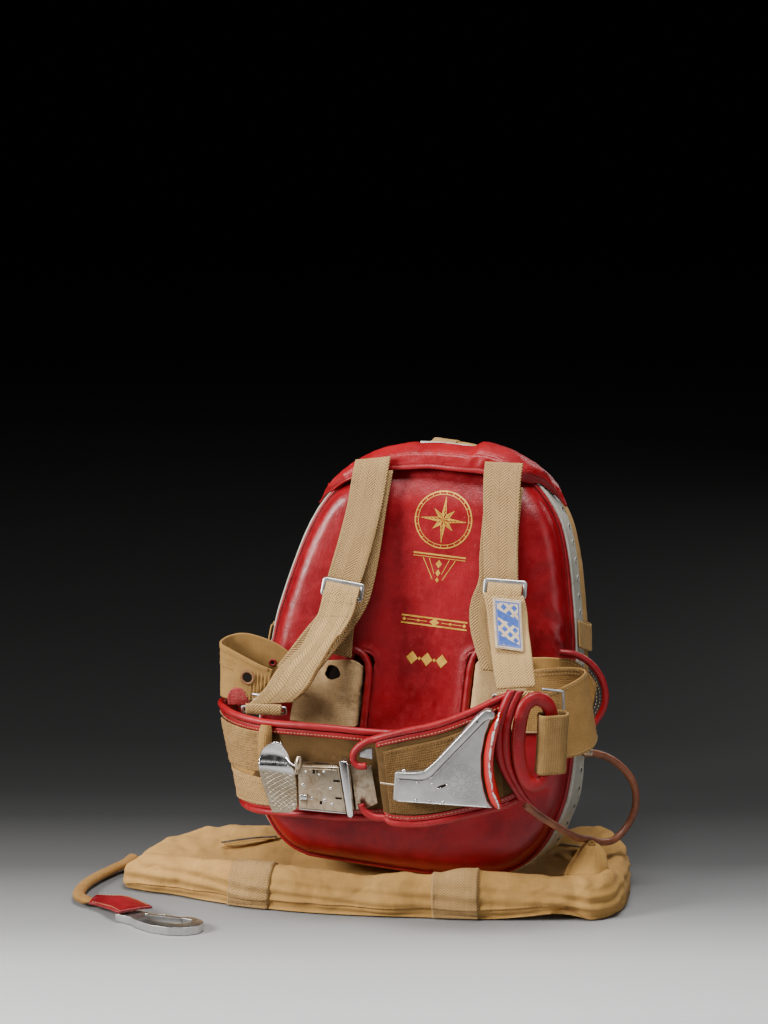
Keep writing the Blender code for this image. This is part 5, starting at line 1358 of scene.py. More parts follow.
def flap(name, rib, c0, c1, mat, s0=0.0, s1=None, h=0.0, t=1.0, side=1, step=3.0, across=6, wave=None, **kw):
    """a strip laid on a ribbon's face between c0 and c1 mm from its first edge"""
    s1 = rib.length if s1 is None else s1
    S = np.linspace(s0, s1, max(4, int((s1 - s0) / 5)))
    hh = side * (rib.t / 2 + t / 2 + h)
    A, _ = rib.at(S, np.full(len(S), c0 / rib.width), hh)
    B, _ = rib.at(S, np.full(len(S), c1 / rib.width), hh)
    q = Ribbon(np.hstack([A, B]), t, step=step, across=across, k=3, wave=wave, front=rib.n[len(rib.n) // 2] * side, front_at=0.5,
               edge=min(1.0, t))
    q.mesh(name, mat, **kw)
    return q


def solve_ab(O, X, Z, Y, c, x, z):
    """the plane coordinates a, b whose point at depth c has that x and z"""
    M2 = np.array(((X[0], Z[0]), (X[2], Z[2])))
    return np.linalg.solve(M2, np.array((x - O[0] - Y[0] * c, z - O[2] - Y[2] * c)))


def rounded(outline, k=3):
    return [tuple(p) for p in catmull(np.array(outline, float), k, True)]


# ------------------------------------------------------------------ side webbing loops
SIDE_L = [(-142, -91, 302, -148, -90, 240), (-160, -92, 314, -162, -91, 247), (-180, -94, 322, -181, -93, 250),
          (-200, -98, 326, -201, -97, 252), (-215, -105, 324, -216, -104, 253), (-221.5, -116, 321, -222, -115, 253),
          (-219, -129, 319, -220, -129, 253), (-205, -138, 315, -208, -138, 253), (-184, -142, 306, -188, -142, 253),
          (-166, -143, 298, -172, -143, 253), (-152, -143, 293, -160, -143, 253)]
SIDE_R = [(150, -100, 296, 150, -99, 220), (176, -99, 299, 176, -99, 221), (200, -97, 301, 204, -97, 222),
          (215, -99, 301, 228, -99, 221), (222, -108, 300, 237, -108, 217), (218, -123, 296, 234, -123, 210),
          (205, -135, 290, 221, -135, 204), (190, -143, 284, 203, -143, 201), (178, -148, 280, 190, -149, 201)]


def side_wave_L(S, C):
    L = 174.0
    P = np.stack([S + 0 * C, C * 70 + 0 * S, 0 * S + 0 * C], -1)
    pl = sstep(L - 32, L - 20, S) * sstep(0.14, 0.42, C)
    pleats = 1.7 * pl * np.sin((S - L) / 0.72 + 0.8 * np.sin(C * 6))
    return 0.8 * fbm(P, (30, 46, 30), 3, 51) + pleats - 0.5 * bump(S, 66, 9) * np.sin(C * 9)


sl = Ribbon(SIDE_L, 2.2, step=1.4, across=40, k=10, wave=side_wave_L, front_at=0.95)
SL_LEN = sl.length
sl.mesh("side_loop_left", MT["canvas_side"], replaces="side_band_L", slot="tan_canvas")
for i, (c, s0, s1) in enumerate(((3.4, 8, SL_LEN - 6), (13.5, SL_LEN * 0.52, SL_LEN - 44), (23.5, SL_LEN * 0.55, SL_LEN - 46))):
    seam("side_loop_left_seam_%d" % i, sl, (lambda S, c=c: c + 1.6 * np.sin(S / 15.0) * (c > 5)), MT["brown"], s0, s1, pitch=3.6, length=2.2,
         slot="tan_canvas")
flap("side_loop_left_hem", sl, 0.3, 6.2, MT["canvas_side"], 4, SL_LEN - 4, t=0.9, slot="tan_canvas")


def eyelet(tag, p, n, r0, r1, h, ring_mat, slot, hole=True, sides=22):
    # with a hole, a dark disc sits in the eyelet: painted shade
    if hole:
        dome(tag + "_dark", [p + unit(n) * 0.5], unit(n), r0 + 0.3, 0.15, MT["hole_shade_and_black"], sides=sides, slot=slot)
    washers(tag + "_ring", [p + unit(n) * 0.4], [n], r0, r1, h, ring_mat, sides=sides, slot=slot)


k = int(np.argmin(np.linalg.norm(sl.mid[:, [0, 2]] - np.array((-183, 281)), axis=1) + (sl.mid[:, 1] > -130) * 999))
P_, N_ = sl.at(sl.S[k], 0.44, 1.15)
eyelet("side_loop_left_port", P_, N_, 6.3, 9.4, 1.3, MT["brown"], "red_leather")
eyelet("side_loop_left_eye", np.array((-163.9, -93.8, 289.5)), np.array((0.12, -1, 0.05)), 2.6, 4.6, 1.0, MT["leather_dark"], "red_leather")

sr = Ribbon(SIDE_R, 2.2, step=2.0, across=30, k=10, front_at=0.95,
            wave=lambda S, C: 0.5 * fbm(np.stack([S + 0 * C, C * 75 + 0 * S, 0 * S + 0 * C], -1), (34, 50, 30), 3, 57))
sr.mesh("side_loop_right", MT["rib"], replaces="side_band_R", slot="herringbone_webbing")
for i, c in enumerate((3.0, 8.0)):
    seam("side_loop_right_seam_%d" % i, sr, c, MT["cream"], 4, 70, pitch=3.8, length=2.6, side=-1, slot="herringbone_webbing")
for i, c in enumerate((3.4, sr.width - 3.4)):
    seam("side_loop_right_edge_%d" % i, sr, c, MT["cream"], sr.length * 0.52, sr.length - 3, pitch=3.8, length=2.5, slot="herringbone_webbing")

# ------------------------------------------------------------------ belt
BELT_L = [(22, -184, 228, 12, -184, 137), (-20, -190, 229, -22, -190, 135), (-62, -193, 232, -60, -193, 134),
          (-104, -191, 233, -100, -190, 134), (-146, -182, 232, -138, -180, 131), (-180, -168, 233, -168, -164, 128),
          (-206, -147, 235, -188, -143, 127), (-221, -122, 237, -199, -117, 127), (-223, -98, 235, -201, -94, 128),
          (-216, -84, 232, -200, -86, 130)]
BELT_R = [(-14, -207, 226, -3, -206, 140), (-4, -209, 230, 6, -209, 136), (22, -211, 238, 36, -210, 136),
          (60, -210, 248, 68, -209, 142), (96, -205, 262, 104, -204, 151), (126, -197, 276, 138, -196, 160),
          (142, -191, 283, 152, -190, 167)]


def belt_wave_L(S, C):
    P = np.stack([S + 0 * C, C * 95 + 0 * S, 0 * S + 0 * C], -1)
    inside = sstep(0.02, 0.14, C) * sstep(0.98, 0.86, C)
    fold = 1.5 * np.exp(-(S / 70.0) ** 2) * np.sin(S / 5.5 + 2.2 * np.sin(C * 4.0) + 1.4 * C)
    return inside * (0.9 * fbm(P, (46, 30, 30), 3, 61) + fold + 1.1 * sstep(0, 0.5, C) * sstep(1, 0.5, C))


bl = Ribbon(BELT_L, 3.2, step=2.2, across=44, k=10, wave=belt_wave_L, front_at=0.2)
ob = bl.mesh("belt_canvas_left", MT["canvas_brown_painted_shade"], replaces="belt_panel_L", slot="tan_canvas")
br = Ribbon(BELT_R, 3.2, step=2.2, across=40, k=10, front_at=0.5,
            wave=lambda S, C: 0.6 * fbm(np.stack([S + 0 * C, C * 95 + 0 * S, 0 * S + 0 * C], -1), (40, 30, 30), 3, 65)
            * sstep(0.02, 0.14, C) * sstep(0.98, 0.86, C))
ob = br.mesh("belt_canvas_right", MT["canvas_brown_painted_shade"], replaces="belt_panel_R", slot="tan_canvas")
BIND = 4.2


def edge_line(rib, top, out, s0=0, s1=None, step=3.0):
    s1 = rib.length if s1 is None else s1
    S = np.linspace(s0, s1, int((s1 - s0) / step))
    A, _ = rib.at(S, np.zeros(len(S)), 0)
    B, _ = rib.at(S, np.ones(len(S)), 0)
    up = unit(A - B)
    return A + up * out if top else B - up * out


def thick_roll(seed, r=BIND, amp=0.10):
    return lambda t: r + amp * math.sin(t * 41 + seed) + amp * 0.6 * math.sin(t * 97 + 2 * seed)


top, low = edge_line(bl, True, BIND + 1.0), edge_line(bl, False, BIND + 1.0)
t0, t1 = unit(top[0] - top[1]) * 5.2, unit(top[-1] - top[-2]) * 5.2
loop = list(top) + [top[-1] + t1 + (low[-1] - top[-1]) * f for f in (0.04, 0.2, 0.35, 0.5, 0.65, 0.8, 0.96)]
loop += list(low[::-1]) + [low[0] + t0 + (top[0] - low[0]) * f for f in (0.04, 0.2, 0.35, 0.5, 0.65, 0.8, 0.96)]
tube("belt_piping_left", np.array(loop), thick_roll(1), MT["leather"], k=2, cyclic=True, sides=20, step=2.2, replaces="belt_binding_L",
     slot="red_leather")
lead_t = [(-24, -208.5, 198), (-34, -208.8, 197.6), (-39.5, -209, 203.5), (-39, -209, 213), (-32, -208.6, 222), (-22, -207.6, 228.5)]
lead_b = [(-31, -207, 151), (-28.5, -207.2, 144), (-21, -207, 138), (-12, -206.4, 135)]
tube("belt_piping_right_top", np.vstack([lead_t, edge_line(br, True, BIND + 0.6, step=9)]), thick_roll(2), MT["leather"], k=6, sides=20,
     step=2.0, replaces="belt_binding_R_top", slot="red_leather")
tube("belt_piping_right_low", np.vstack([lead_b, edge_line(br, False, BIND + 0.9, step=9)]), thick_roll(3), MT["leather"], k=6, sides=20,
     step=2.0, replaces="belt_binding_R_low", slot="red_leather")
for nm, rib, L0_, L1_ in (("left", bl, 3, bl.length - 3), ("right", br, 2, br.length - 2)):
    W_ = rib.width
    flap("belt_lip_%s_top" % nm, rib, -0.5, 6.6, MT["leather"], L0_, L1_, t=1.3, slot="red_leather")
    flap("belt_lip_%s_low" % nm, rib, W_ + 0.5, W_ - 6.0, MT["leather"], L0_, L1_, t=1.3, slot="red_leather")
    seam("belt_stitch_%s_top" % nm, rib, 3.9, MT["cream"], L0_ + 2, L1_ - 2, h=rib.t / 2 + 1.32, pitch=4.3, length=2.8, r=0.52,
         slot="red_leather")
    seam("belt_stitch_%s_low" % nm, rib, W_ - 3.2, MT["cream"], L0_ + 2, L1_ - 2, h=rib.t / 2 + 1.32, pitch=4.3, length=2.8, r=0.52,
         slot="red_leather")
    flap("belt_inner_lip_%s" % nm, rib, -0.5, 6.0, MT["leather"], L0_, L1_, t=1.2, side=-1, slot="red_leather")
    seam("belt_inner_stitch_%s" % nm, rib, 3.9, MT["cream"], L0_ + 2, L1_ - 2, h=rib.t / 2 + 1.22, side=-1, pitch=4.3, length=2.8,
         r=0.5, slot="red_leather")


def offset_rows(rows, dist, top_in, low_in, i0=0, i1=None):
    rows = [np.array(r, float) for r in rows[i0:i1]]
    out = []
    for i, r in enumerate(rows):
        a, b = r[:3], r[3:]
        tan = unit(rows[min(len(rows) - 1, i + 1)][:3] - rows[max(0, i - 1)][:3])
        nn = unit(np.cross(tan, b - a))
        if nn[1] > 0:
            nn = -nn
        up = unit(a - b)
        out.append((*(a - up * top_in + nn * dist), *(b + up * low_in + nn * dist)))
    return out


def fuzz(a, b, c, seed, w=60):
    def f(S, C):
        P = np.stack([S + 0 * C, C * w + 0 * S, 0 * S + 0 * C], -1)
        return a * fbm(P, 26, 2, seed) + b * fbm(P, 5.0, 2, seed + 2) + c * vnoise(P, 2.1, seed + 4)
    return f


rw = Ribbon(offset_rows(BELT_R, 3.4, 12.5, 7.5, 1, 6), 2.4, step=1.5, across=54, k=8, wave=fuzz(0.5, 0.35, 0.25, 71))
rw.mesh("belt_webbing_right", MT["felt"], replaces="belt_webbing_R", slot="coarse_webbing")
for i, c in enumerate((3.5, rw.width - 3.5)):
    seam("belt_webbing_right_seam_%d" % i, rw, c, MT["brown"], 3, rw.length - 3, pitch=4.6, length=2.8, slot="coarse_webbing")
W1 = offset_rows([(-148, -181, 238, -138, -180, 123), (-180, -168, 238, -168, -164, 121), (-206, -147, 239, -188, -143, 120),
                  (-219, -128, 240, -197, -122, 120)], 4.4, 12, 54)
W2 = offset_rows([(-148, -181, 238, -138, -180, 123), (-180, -168, 238, -168, -164, 121), (-206, -147, 239, -188, -143, 120),
                  (-216, -131, 240, -194, -125, 120)], 4.9, 70, 12)
w1 = Ribbon(W1, 2.6, step=1.3, across=34, k=8, wave=fuzz(0.7, 0.5, 0.3, 75))
w1.mesh("belt_wrap_upper", MT["wrap"], replaces="end_wrap_upper", slot="coarse_webbing")
w2 = Ribbon(W2, 2.6, step=1.3, across=28, k=8, wave=fuzz(0.7, 0.45, 0.3, 79))
w2.mesh("belt_wrap_lower", MT["bag_web"], replaces="end_wrap_lower", slot="coarse_webbing")
seam("belt_wrap_upper_seam", w1, w1.width - 3, MT["brown"], 3, w1.length - 3, pitch=4.4, length=2.8, slot="coarse_webbing")
core = Ribbon(offset_rows([(-140, -184, 238, -132, -182, 123), (-180, -168, 238, -168, -164, 121), (-206, -147, 239, -188, -143, 120),
                           (-214, -135, 240, -193, -129, 120)], 2.6, 52, 38), 1.6, step=2.5, across=10, k=8)
core.mesh("belt_core", MT["canvas"], slot="tan_canvas")
# the webbing turned back in a roll beside the buckle
tube("belt_turned_webbing", [(-150, -188, 236), (-150.5, -190.5, 226), (-151, -191.2, 212), (-151, -190.5, 198), (-150.5, -188.5, 190)],
     lambda t: 8.2 - 2.0 * (2 * t - 1) ** 4, MT["rib"], k=8, sides=26, step=1.5, slot="coarse_webbing")

# ------------------------------------------------------------------ buckle
BXv = unit(np.array((0.998, 0.06, -0.03)))
BZv = np.array((0.06, 0.0, 1.0))
BZv = unit(BZv - BXv * (BZv @ BXv))
BYv = np.cross(BXv, BZv)
BYv = -BYv if BYv[1] > 0 else BYv
B0 = np.array((-107.0, -199.5, 165.0))


def bp(a, b, c):
    return B0 + BXv * a + BZv * b + BYv * c


def bprism(name, pts, c0, depth, mat, bevel=0.8, **kw):
    return prism(name, pts, bp(0, 0, c0), BXv, BZv, BYv, depth, MT[mat], bevel, slot=kw.pop("slot", "aged_nickel"), **kw)


bprism("buckle_case", [(0.5, 31.5), (48.5, 33), (59.5, -22), (2.5, -20.5)], 0.0, 18.6, "nickel", 1.3, replaces="buckle_box")
bprism("buckle_case_ridge", [(49.2, 41), (52.5, 41.6), (58.4, 41.2), (60.4, 37), (68.0, -24), (66.4, -27), (62.0, -26.8), (60.4, -22)], -0.6, 21.4,
       "steel", 1.0)
bprism("buckle_case_lid", [(3.2, 28.6), (47.0, 29.8), (56.4, -19.4), (4.8, -17.6)], 18.4, 0.9, "nickel", 0.4)
bprism("buckle_case_top", [(4, 31.4), (47, 32.8), (46.6, 34.0), (4, 32.6)], 2.5, 14.5, "nickel", 0.4)
# the top slot is a thin dark plate: painted shade
prism("buckle_top_slot", [(-9, -1.2), (9, -1.2), (9, 1.2), (-9, 1.2)], bp(27, 33.6, 9.5), BXv, BYv, BZv, 0.55, MT["hole_shade_and_black"], 0.3, slot="aged_nickel")
RV = [(10.0, 25.2), (26.2, 23.0), (31.6, 26.6), (7.4, 9.0), (40.2, 6.6), (17.9, -7.1), (33.5, -8.5), (42.4, -12.5)]
dome("buckle_rivets", [bp(a, b, 19.2) for a, b in RV], BYv, np.array([1.5, 1.3, 1.9, 1.9, 2.0, 2.0, 2.2, 2.0]), 1.2, MT["steel"], slot="aged_nickel")
# the case's slots are thin dark plates: painted shade
for i, (a, b, w_, h_) in enumerate(((19.6, 26.2, 3.0, 5.4), (47.0, 16.4, 8.0, 2.6), (50.0, -4.6, 7.6, 2.6), (29.0, -11.4, 3.2, 4.2),
                                    (23.4, 26.6, 1.3, 4.2))):
    bprism("buckle_slot_%d" % i, [(a - w_ / 2, b - h_ / 2), (a + w_ / 2, b - h_ / 2), (a + w_ / 2, b + h_ / 2), (a - w_ / 2, b + h_ / 2)], 19.15, 0.3,
           "hole_shade_and_black", 0.12)
bprism("buckle_case_step", [(8, 3.5), (30, 4.3), (30.4, 3.3), (8, 2.5)], 19.1, 0.5, "nickel", 0.2)
bprism("buckle_bolt", [(3.2, -2.4), (12.6, -2.0), (13.2, -8.4), (3.6, -8.8)], 19.2, 4.2, "steel", 1.5, replaces="buckle_clip")
bprism("buckle_bolt_leg", [(4.0, -8.6), (12.4, -8.2), (12.4, -17.6), (5.0, -17.6)], 19.1, 2.6, "nickel", 0.9)
bprism("buckle_bottom_lip", [(3.0, -20.2), (59.2, -21.8), (59.0, -23.6), (3.2, -22.0)], 8, 10.4, "steel", 0.6)
bprism("buckle_tongue_plate", [(60.9, 34), (86, 33.5), (95, -12), (80, -20), (69.3, -21.5)], 3.0, 2.4, "nickel", 0.7, replaces="buckle_tongue")
tube("buckle_barrel", [bp(1.6, 42.5, 15.5), bp(0.8, 36, 17.5), bp(-0.4, 28, 19.5), bp(-1.4, 22, 20.5)],
     lambda t: (2.4 + 1.9 * math.sin(math.pi * min(1, t * 1.25 + 0.12)) ** 0.8), MT["nickel"], k=8, sides=22, step=0.8, replaces="buckle_catch",
     slot="aged_nickel")
tube("buckle_wire", [bp(-22.5, 57.0, 9.0), bp(-20.8, 49, 8.6), bp(-17.0, 41.0, 9.2), bp(-10.5, 34.5, 14.5), bp(-5.0, 31.5, 17.0), bp(-1.2, 30.5, 17.5)],
     0.95, MT["steel"], k=8, sides=10, step=1.0, slot="aged_nickel")


def knurl_metal():
    m = Mat("knurled_nickel", metal=1.0)
    u, v, vec = m.uv()
    d1 = m.math("PINGPONG", m.add(m.mul(u, 0.74), m.mul(v, 0.68)), 2.15)
    d2 = m.math("PINGPONG", m.math("SUBTRACT", m.mul(u, 0.80), m.mul(v, 0.62)), 2.15)
    cut = m.math("MAXIMUM", m.map(d1, 0.0, 0.42, 1.0, 0.0), m.map(d2, 0.0, 0.42, 1.0, 0.0))
    mask = m.mul(m.map(u, 51.0, 53.0, 1.0, 0.0), m.mul(m.map(u, 4.0, 6.0), m.map(v, 3.0, 4.5)))
    mask = m.mul(mask, m.map(m.noise(9, 3, 0.6), 0.3, 0.42, 0.55, 1.0))
    cut = m.mul(cut, mask)
    cloud = m.noise(16, 5, 0.62, warp=0.4)
    c = m.mix(m.map(cloud, 0.36, 0.66, 0.0, 0.75), (0.46, 0.39, 0.29), (0.29, 0.21, 0.13))
    c = m.mix(m.map(u, 50.0, 56.0), c, (0.66, 0.65, 0.64))
    c = m.mix(m.mul(cut, 0.85), c, (0.05, 0.036, 0.026))
    r = m.map(m.noise(8, 5, 0.65), 0.3, 0.7, 0.24, 0.42)
    r = m.math("SUBTRACT", r, m.map(u, 50, 56, 0.0, 0.11))
    h = m.add(m.mul(cut, -1.0), m.mul(m.noise(6, 3, 0.6), 0.25))
    return m.out(c, m.math("ADD", r, m.mul(cut, 0.3)), m.bump(h, 0.35))


MT["knurl"] = knurl_metal()
PL = [(-29.6, -10.2, -30.2, -28.6, 11.4, 11.4), (-33.0, -1.0, -22, -22.5, 12.0, 12.0), (-39.3, -0.3, -5, -6, 12.3, 12.2), (-44.6, -1.6, 12, 8, 12.3, 12.2),
      (-47.6, -3.6, 24, 20, 12.1, 12.4), (-48.0, -6.8, 29, 29, 11.8, 12.6), (-47.9, -9.0, 34, 33, 8.6, 10.6), (-46.6, -11.4, 41, 38, 7.4, 9.4),
      (-43.0, -13.2, 47.5, 43, 8.2, 9.8), (-37.0, -16.5, 53, 49, 10.6, 11.6), (-31.0, -21.0, 57, 56, 13.4, 13.4)]
lever = Ribbon([(*bp(a, b, c), *bp(a2, b2, c2)) for a, a2, b, b2, c, c2 in PL], 2.6, step=1.2, across=26, k=8, front_at=0.5, edge=1.0,
               wave=lambda S, C: -1.4 * sstep(60, 78, S) * np.sin(math.pi * C))
lever.mesh("buckle_thumb_plate", MT["knurl"], body="buckle_lever", replaces="buckle_lever", slot="aged_nickel")
dome("buckle_thumb_rivets", [bp(-11.6, 29.2, 13.8), bp(-4.4, -18.0, 13.4)], BYv, 1.7, 1.0, MT["steel"], body="buckle_lever", slot="aged_nickel")
prism("belt_bar_end", [(-33.5, 208), (-17, 206), (-17, 219), (-24, 219.6), (-32, 215)], (0, -204.0, 0), (1, 0, 0), (0, 0, 1), (0, -1, 0), 4.0,
      MT["alu_dull"], 1.2, replaces="bar_end", slot="bare_aluminium")

# ------------------------------------------------------------------ lever box and opening lever
LXv = unit(np.array((0.996, 0.085, -0.02)))
LZv = np.array((0.02, 0.0, 1.0))
LZv = unit(LZv - LXv * (LZv @ LXv))
LYv = np.cross(LXv, LZv)
LYv = -LYv if LYv[1] > 0 else LYv
L0 = np.array((71.0, -214.6, 198.0))


def lp(a, b, c):
    return L0 + LXv * a + LZv * b + LYv * c


def lprism(name, pts, c0, depth, mat, bevel=0.8, **kw):
    return prism(name, pts, lp(0, 0, c0), LXv, LZv, LYv, depth, MT[mat], bevel, slot=kw.pop("slot", "bare_aluminium"), **kw)


LBOX = [(-56, 0.5), (-58, -33), (-54, -35.5), (57, -38), (50.5, -30), (46, -15), (43, 0), (42, 24), (46, 50), (51.5, 67), (56, 72), (53.5, 79),
        (46, 80), (36, 72), (-19, 5), (-27, 1), (-40, 0)]
lprism("lever_case", LBOX, 0.0, 13.6, "alu", 2.2, segs=4, replaces="lever_box")
lprism("lever_case_flange", [(-57, 1.2), (-41, 1.2), (-31, 2.0), (-23, 4.5), (-10, 17), (42, 77.6), (47, 80.6), (52.5, 80.2), (56.4, 76.5), (56.6, 71.6),
                             (53.6, 69.2), (49.8, 69.8), (44, 66.5), (-15.5, -1.5), (-21, -5.0), (-28, -6.6), (-54, -6.4), (-57.4, -5.2)],
       9.6, 7.2, "alu", 1.5, segs=4)
bead = [lp(a, b, 14.3) for a, b in ((-54, -8.2), (-28.5, -8.6), (-20.4, -6.8), (-13.6, -2.6), (10, 25), (44.8, 64.6), (49, 67.4))]
tube("lever_case_bead", bead, 0.85, MT["alu"], k=6, sides=10, step=1.5, slot="bare_aluminium")
tube("lever_case_foot_roll", [lp(-55.6, -1, 11.5), lp(-56.4, -18, 11.6), lp(-57.0, -33.5, 11.2)], 2.5, MT["alu"], k=6, sides=16, step=2, slot="bare_aluminium")
tube("lever_case_base_line", [lp(a, b, 13.9) for a, b in ((-53, -34.2), (0, -35.4), (52, -36.4))], 0.6, MT["alu"], k=6, sides=8, step=3,
     slot="bare_aluminium")
RV = [(-31, -11.4), (-13.4, -12.4), (3.7, -12.4), (-32.2, -32.0), (-16.2, -32.8), (-0.6, -33.2)]
dome("lever_case_rivets", [lp(a, b, 13.5) for a, b in RV], LYv, 1.75, 1.1, MT["steel"], slot="bare_aluminium")
# the hole and the slot below are dark plates on the face: painted shade
dome("lever_case_hole", [lp(36.9, 66.0, 16.7)], LYv, 1.5, 0.15, MT["hole_shade_and_black"], slot="bare_aluminium")
lprism("lever_case_slot", [(-7.6, -18.0), (-8.2, -15.2), (-4.5, -13.0), (1.6, -10.8), (2.6, -13.0), (-1.5, -15.5)], 13.55, 0.25, "hole_shade_and_black", 0.1)
tube("lever_case_slot_pin", [lp(-7.4, -17.2, 13.9), lp(-4.6, -16.0, 14.2), lp(-3.4, -15.4, 13.9)], 0.8, MT["steel"], k=4, sides=8, step=0.8,
     slot="bare_aluminium")
dome("lever_case_stud", [lp(-47.6, 1.6, 8.0)], LZv, 3.2, 2.0, MT["steel"], sides=18, slot="bare_aluminium")


def engraved(name, ca, cb, radii, ticks, c=13.62):
    """plain rings and short strokes cut in the face, shown as thin dark lines"""
    V, F = [], []
    def quad(p, q, w_):
        d = unit(np.array(q) - np.array(p))
        n = np.array((-d[1], d[0])) * w_ / 2
        b = len(V)
        for a_, b_ in (np.array(p) + n, np.array(p) - n, np.array(q) - n, np.array(q) + n):
            V.append(lp(a_, b_, c))
        F.append((b, b + 1, b + 2, b + 3))
    for r, w_ in radii:
        for i in range(64):
            g, g2 = 2 * math.pi * i / 64, 2 * math.pi * (i + 1.04) / 64
            quad((ca + r * math.cos(g), cb + r * math.sin(g)), (ca + r * math.cos(g2), cb + r * math.sin(g2)), w_)
    for r0, r1, n, w_, skip in ticks:
        for i in range(n):
            if skip and i % skip == 0:
                continue
            g = 2 * math.pi * i / n
            quad((ca + r0 * math.cos(g), cb + r0 * math.sin(g)), (ca + r1 * math.cos(g), cb + r1 * math.sin(g)), w_)
    m = Mat("engraving", metal=0.6)
    shade = m.mix(m.noise(3, 3, 0.6), (0.16, 0.145, 0.13), (0.30, 0.285, 0.265))
    mat = m.out(shade, m.map(m.noise(1.5, 2, 0.5), 0, 1, 0.5, 0.7))
    mesh_object(name, np.array(V), F, mat, smooth=False, slot="bare_aluminium")


engraved("lever_case_rings", 20.3, -7.3, [(20.5, 0.45), (13.6, 0.45), (5.0, 0.5)], [(14.6, 19.4, 48, 0.55, 4), (6.2, 11.8, 8, 0.6, 0)])

LV = [  # b, left edge a, ridge a, right edge a, ridge c
    (77.6, 61.0, 62.2, 64.0, 12.5), (74.0, 58.8, 61.4, 64.6, 15.0), (70, 56.8, 60.6, 64.3, 16.2), (66, 53.9, 59.2, 63.4, 16.6), (51, 48.6, 56.0, 60.2, 16.8),
    (38, 46.0, 53.8, 57.9, 16.9), (25, 44.6, 52.4, 56.6, 17.0), (12, 44.7, 52.3, 56.6, 17.0), (0, 45.6, 53.6, 58.0, 16.9), (-15, 48.7, 57.0, 61.8, 16.8),
    (-27, 52.2, 61.2, 65.2, 16.6), (-34, 56.2, 63.6, 67.2, 15.6), (-38.4, 61.2, 64.6, 67.6, 12.5)]


def build_lever():
    R = catmull(np.array(LV, float), 9)
    R = R[::1]
    rings_, V_ = [], []
    for b, al, ar, aR, c in R:
        sec = np.array([(al, 7.0), (al + 0.2, 9.6), (al + 0.9, 11.2), (al + (ar - al) * 0.45, 13.0 + (c - 15) * 0.5), (ar - 1.2, c - 0.9), (ar, c),
                        (ar + 1.0, c - 0.1), (ar + (aR - ar) * 0.7, c - 1.5), (aR, c - 3.4), (aR, 9.5), (aR - 0.6, 6.6), (al + 1.0, 6.4)])
        s2 = resample(catmull(sec, 4, True), n=44, cyclic=True, key=2)
        rings_.append([lp(x, b, y) for x, y in s2])
        d = arc(s2, True)
        j = int(np.argmin(np.hypot(s2[:, 0] - ar, s2[:, 1] - c)))
        vv = d - d[j]
        V_.append(vv)
    P = np.array(rings_)
    V_ = np.array(V_)
    grid("opening_lever_blade", P, MT["enamel"], cv=True, U=arc(P.mean(1)), V=V_, caps=True, body="opening_lever", replaces="opening_lever",
         slot="red_enamel")


build_lever()
tube("opening_lever_pin", [lp(60.5, 72, 3.2), lp(60.5, 72, 5.8)], 2.2, MT["steel"], k=2, sides=16, step=0.6, body="opening_lever", slot="bare_aluminium")
tube("pull_wire_tube", [lp(-76, -17, 1.7), lp(-69, -17.5, 2.6), lp(-59.5, -18, 3.4)], 1.2, MT["nickel"], k=6, sides=12, step=0.8, replaces="pull_wire",
     slot="aged_nickel")

# ------------------------------------------------------------------ leather end roll, ring and its webbing
END = [(143, -199, 296, 158, -195, 294), (134, -203, 274, 149, -199, 272), (128, -205.5, 244, 144, -202, 244),
       (131, -205.5, 212, 147, -202, 208), (144, -202, 184, 158, -198, 178), (158, -198, 164, 170, -194, 158)]


def build_end_roll():
    D = resample(catmull(np.array(END, float), 12), step=1.8)
    A, B = D[:, :3], D[:, 3:]
    tan = unit(np.gradient((A + B) / 2, axis=0))
    ax = unit(B - A)
    nn = np.cross(tan, ax)
    nn = nn * np.where(nn[:, 1:2] > 0, -1, 1)
    W = np.linalg.norm(B - A, axis=1).mean()
    r = 6.0
    sec = [(-0.32 * r, -0.2 * r)]
    for g in np.linspace(200, 18, 14):                # left roll
        sec.append((0.62 * r + 0.95 * r * math.cos(math.radians(g)), r * 0.98 * math.sin(math.radians(g)) * (1 if g < 180 else 0.3)))
    for g in np.linspace(162, -20, 14):
        sec.append((W - 0.62 * r + 0.95 * r * math.cos(math.radians(g)), r * 0.98 * math.sin(math.radians(g)) * (1 if g > 0 else 0.3)))
    sec.append((W + 0.32 * r, -0.2 * r))
    sec = resample(np.array(sec), n=54, key=2)
    s = arc((A + B) / 2)
    P = A[:, None] + ax[:, None] * sec[None, :, :1] + nn[:, None] * sec[None, :, 1:2]
    lump = 0.22 * np.sin(s / 8.0)[:, None] + 0.15 * np.sin(s / 3.1 + 1)[:, None]
    P = P + nn[:, None] * (lump * (sec[None, :, 1] > 2))[..., None]
    ob = grid("end_roll_leather", P, MT["leather"], cv=True, U=s, V=arc(sec, True), caps=True, replaces="end_roll_R", slot="red_leather")
    mid = A + ax * (W * 0.5) + nn * 2.9
    stitches("end_roll_seam", mid[3:-3], nn[3:-3], MT["brown"], pitch=4.0, length=2.7, r=0.5, slot="red_leather")
    lf = A - ax * 0.6 + nn * 1.9
    stitches("end_roll_edge_seam", lf[3:-3], unit(nn - ax * 0.8)[3:-3], MT["cream"], pitch=4.0, length=2.7, r=0.5, slot="red_leather")


build_end_roll()
RING = [(158, -200, 266), (155, -202, 240), (156.5, -202, 212), (163, -199, 190), (174, -194, 182), (186, -188, 188), (192, -183, 206),
        (192, -182, 240), (190, -183, 266), (184, -187, 280), (173, -193, 285), (163, -198, 279)]


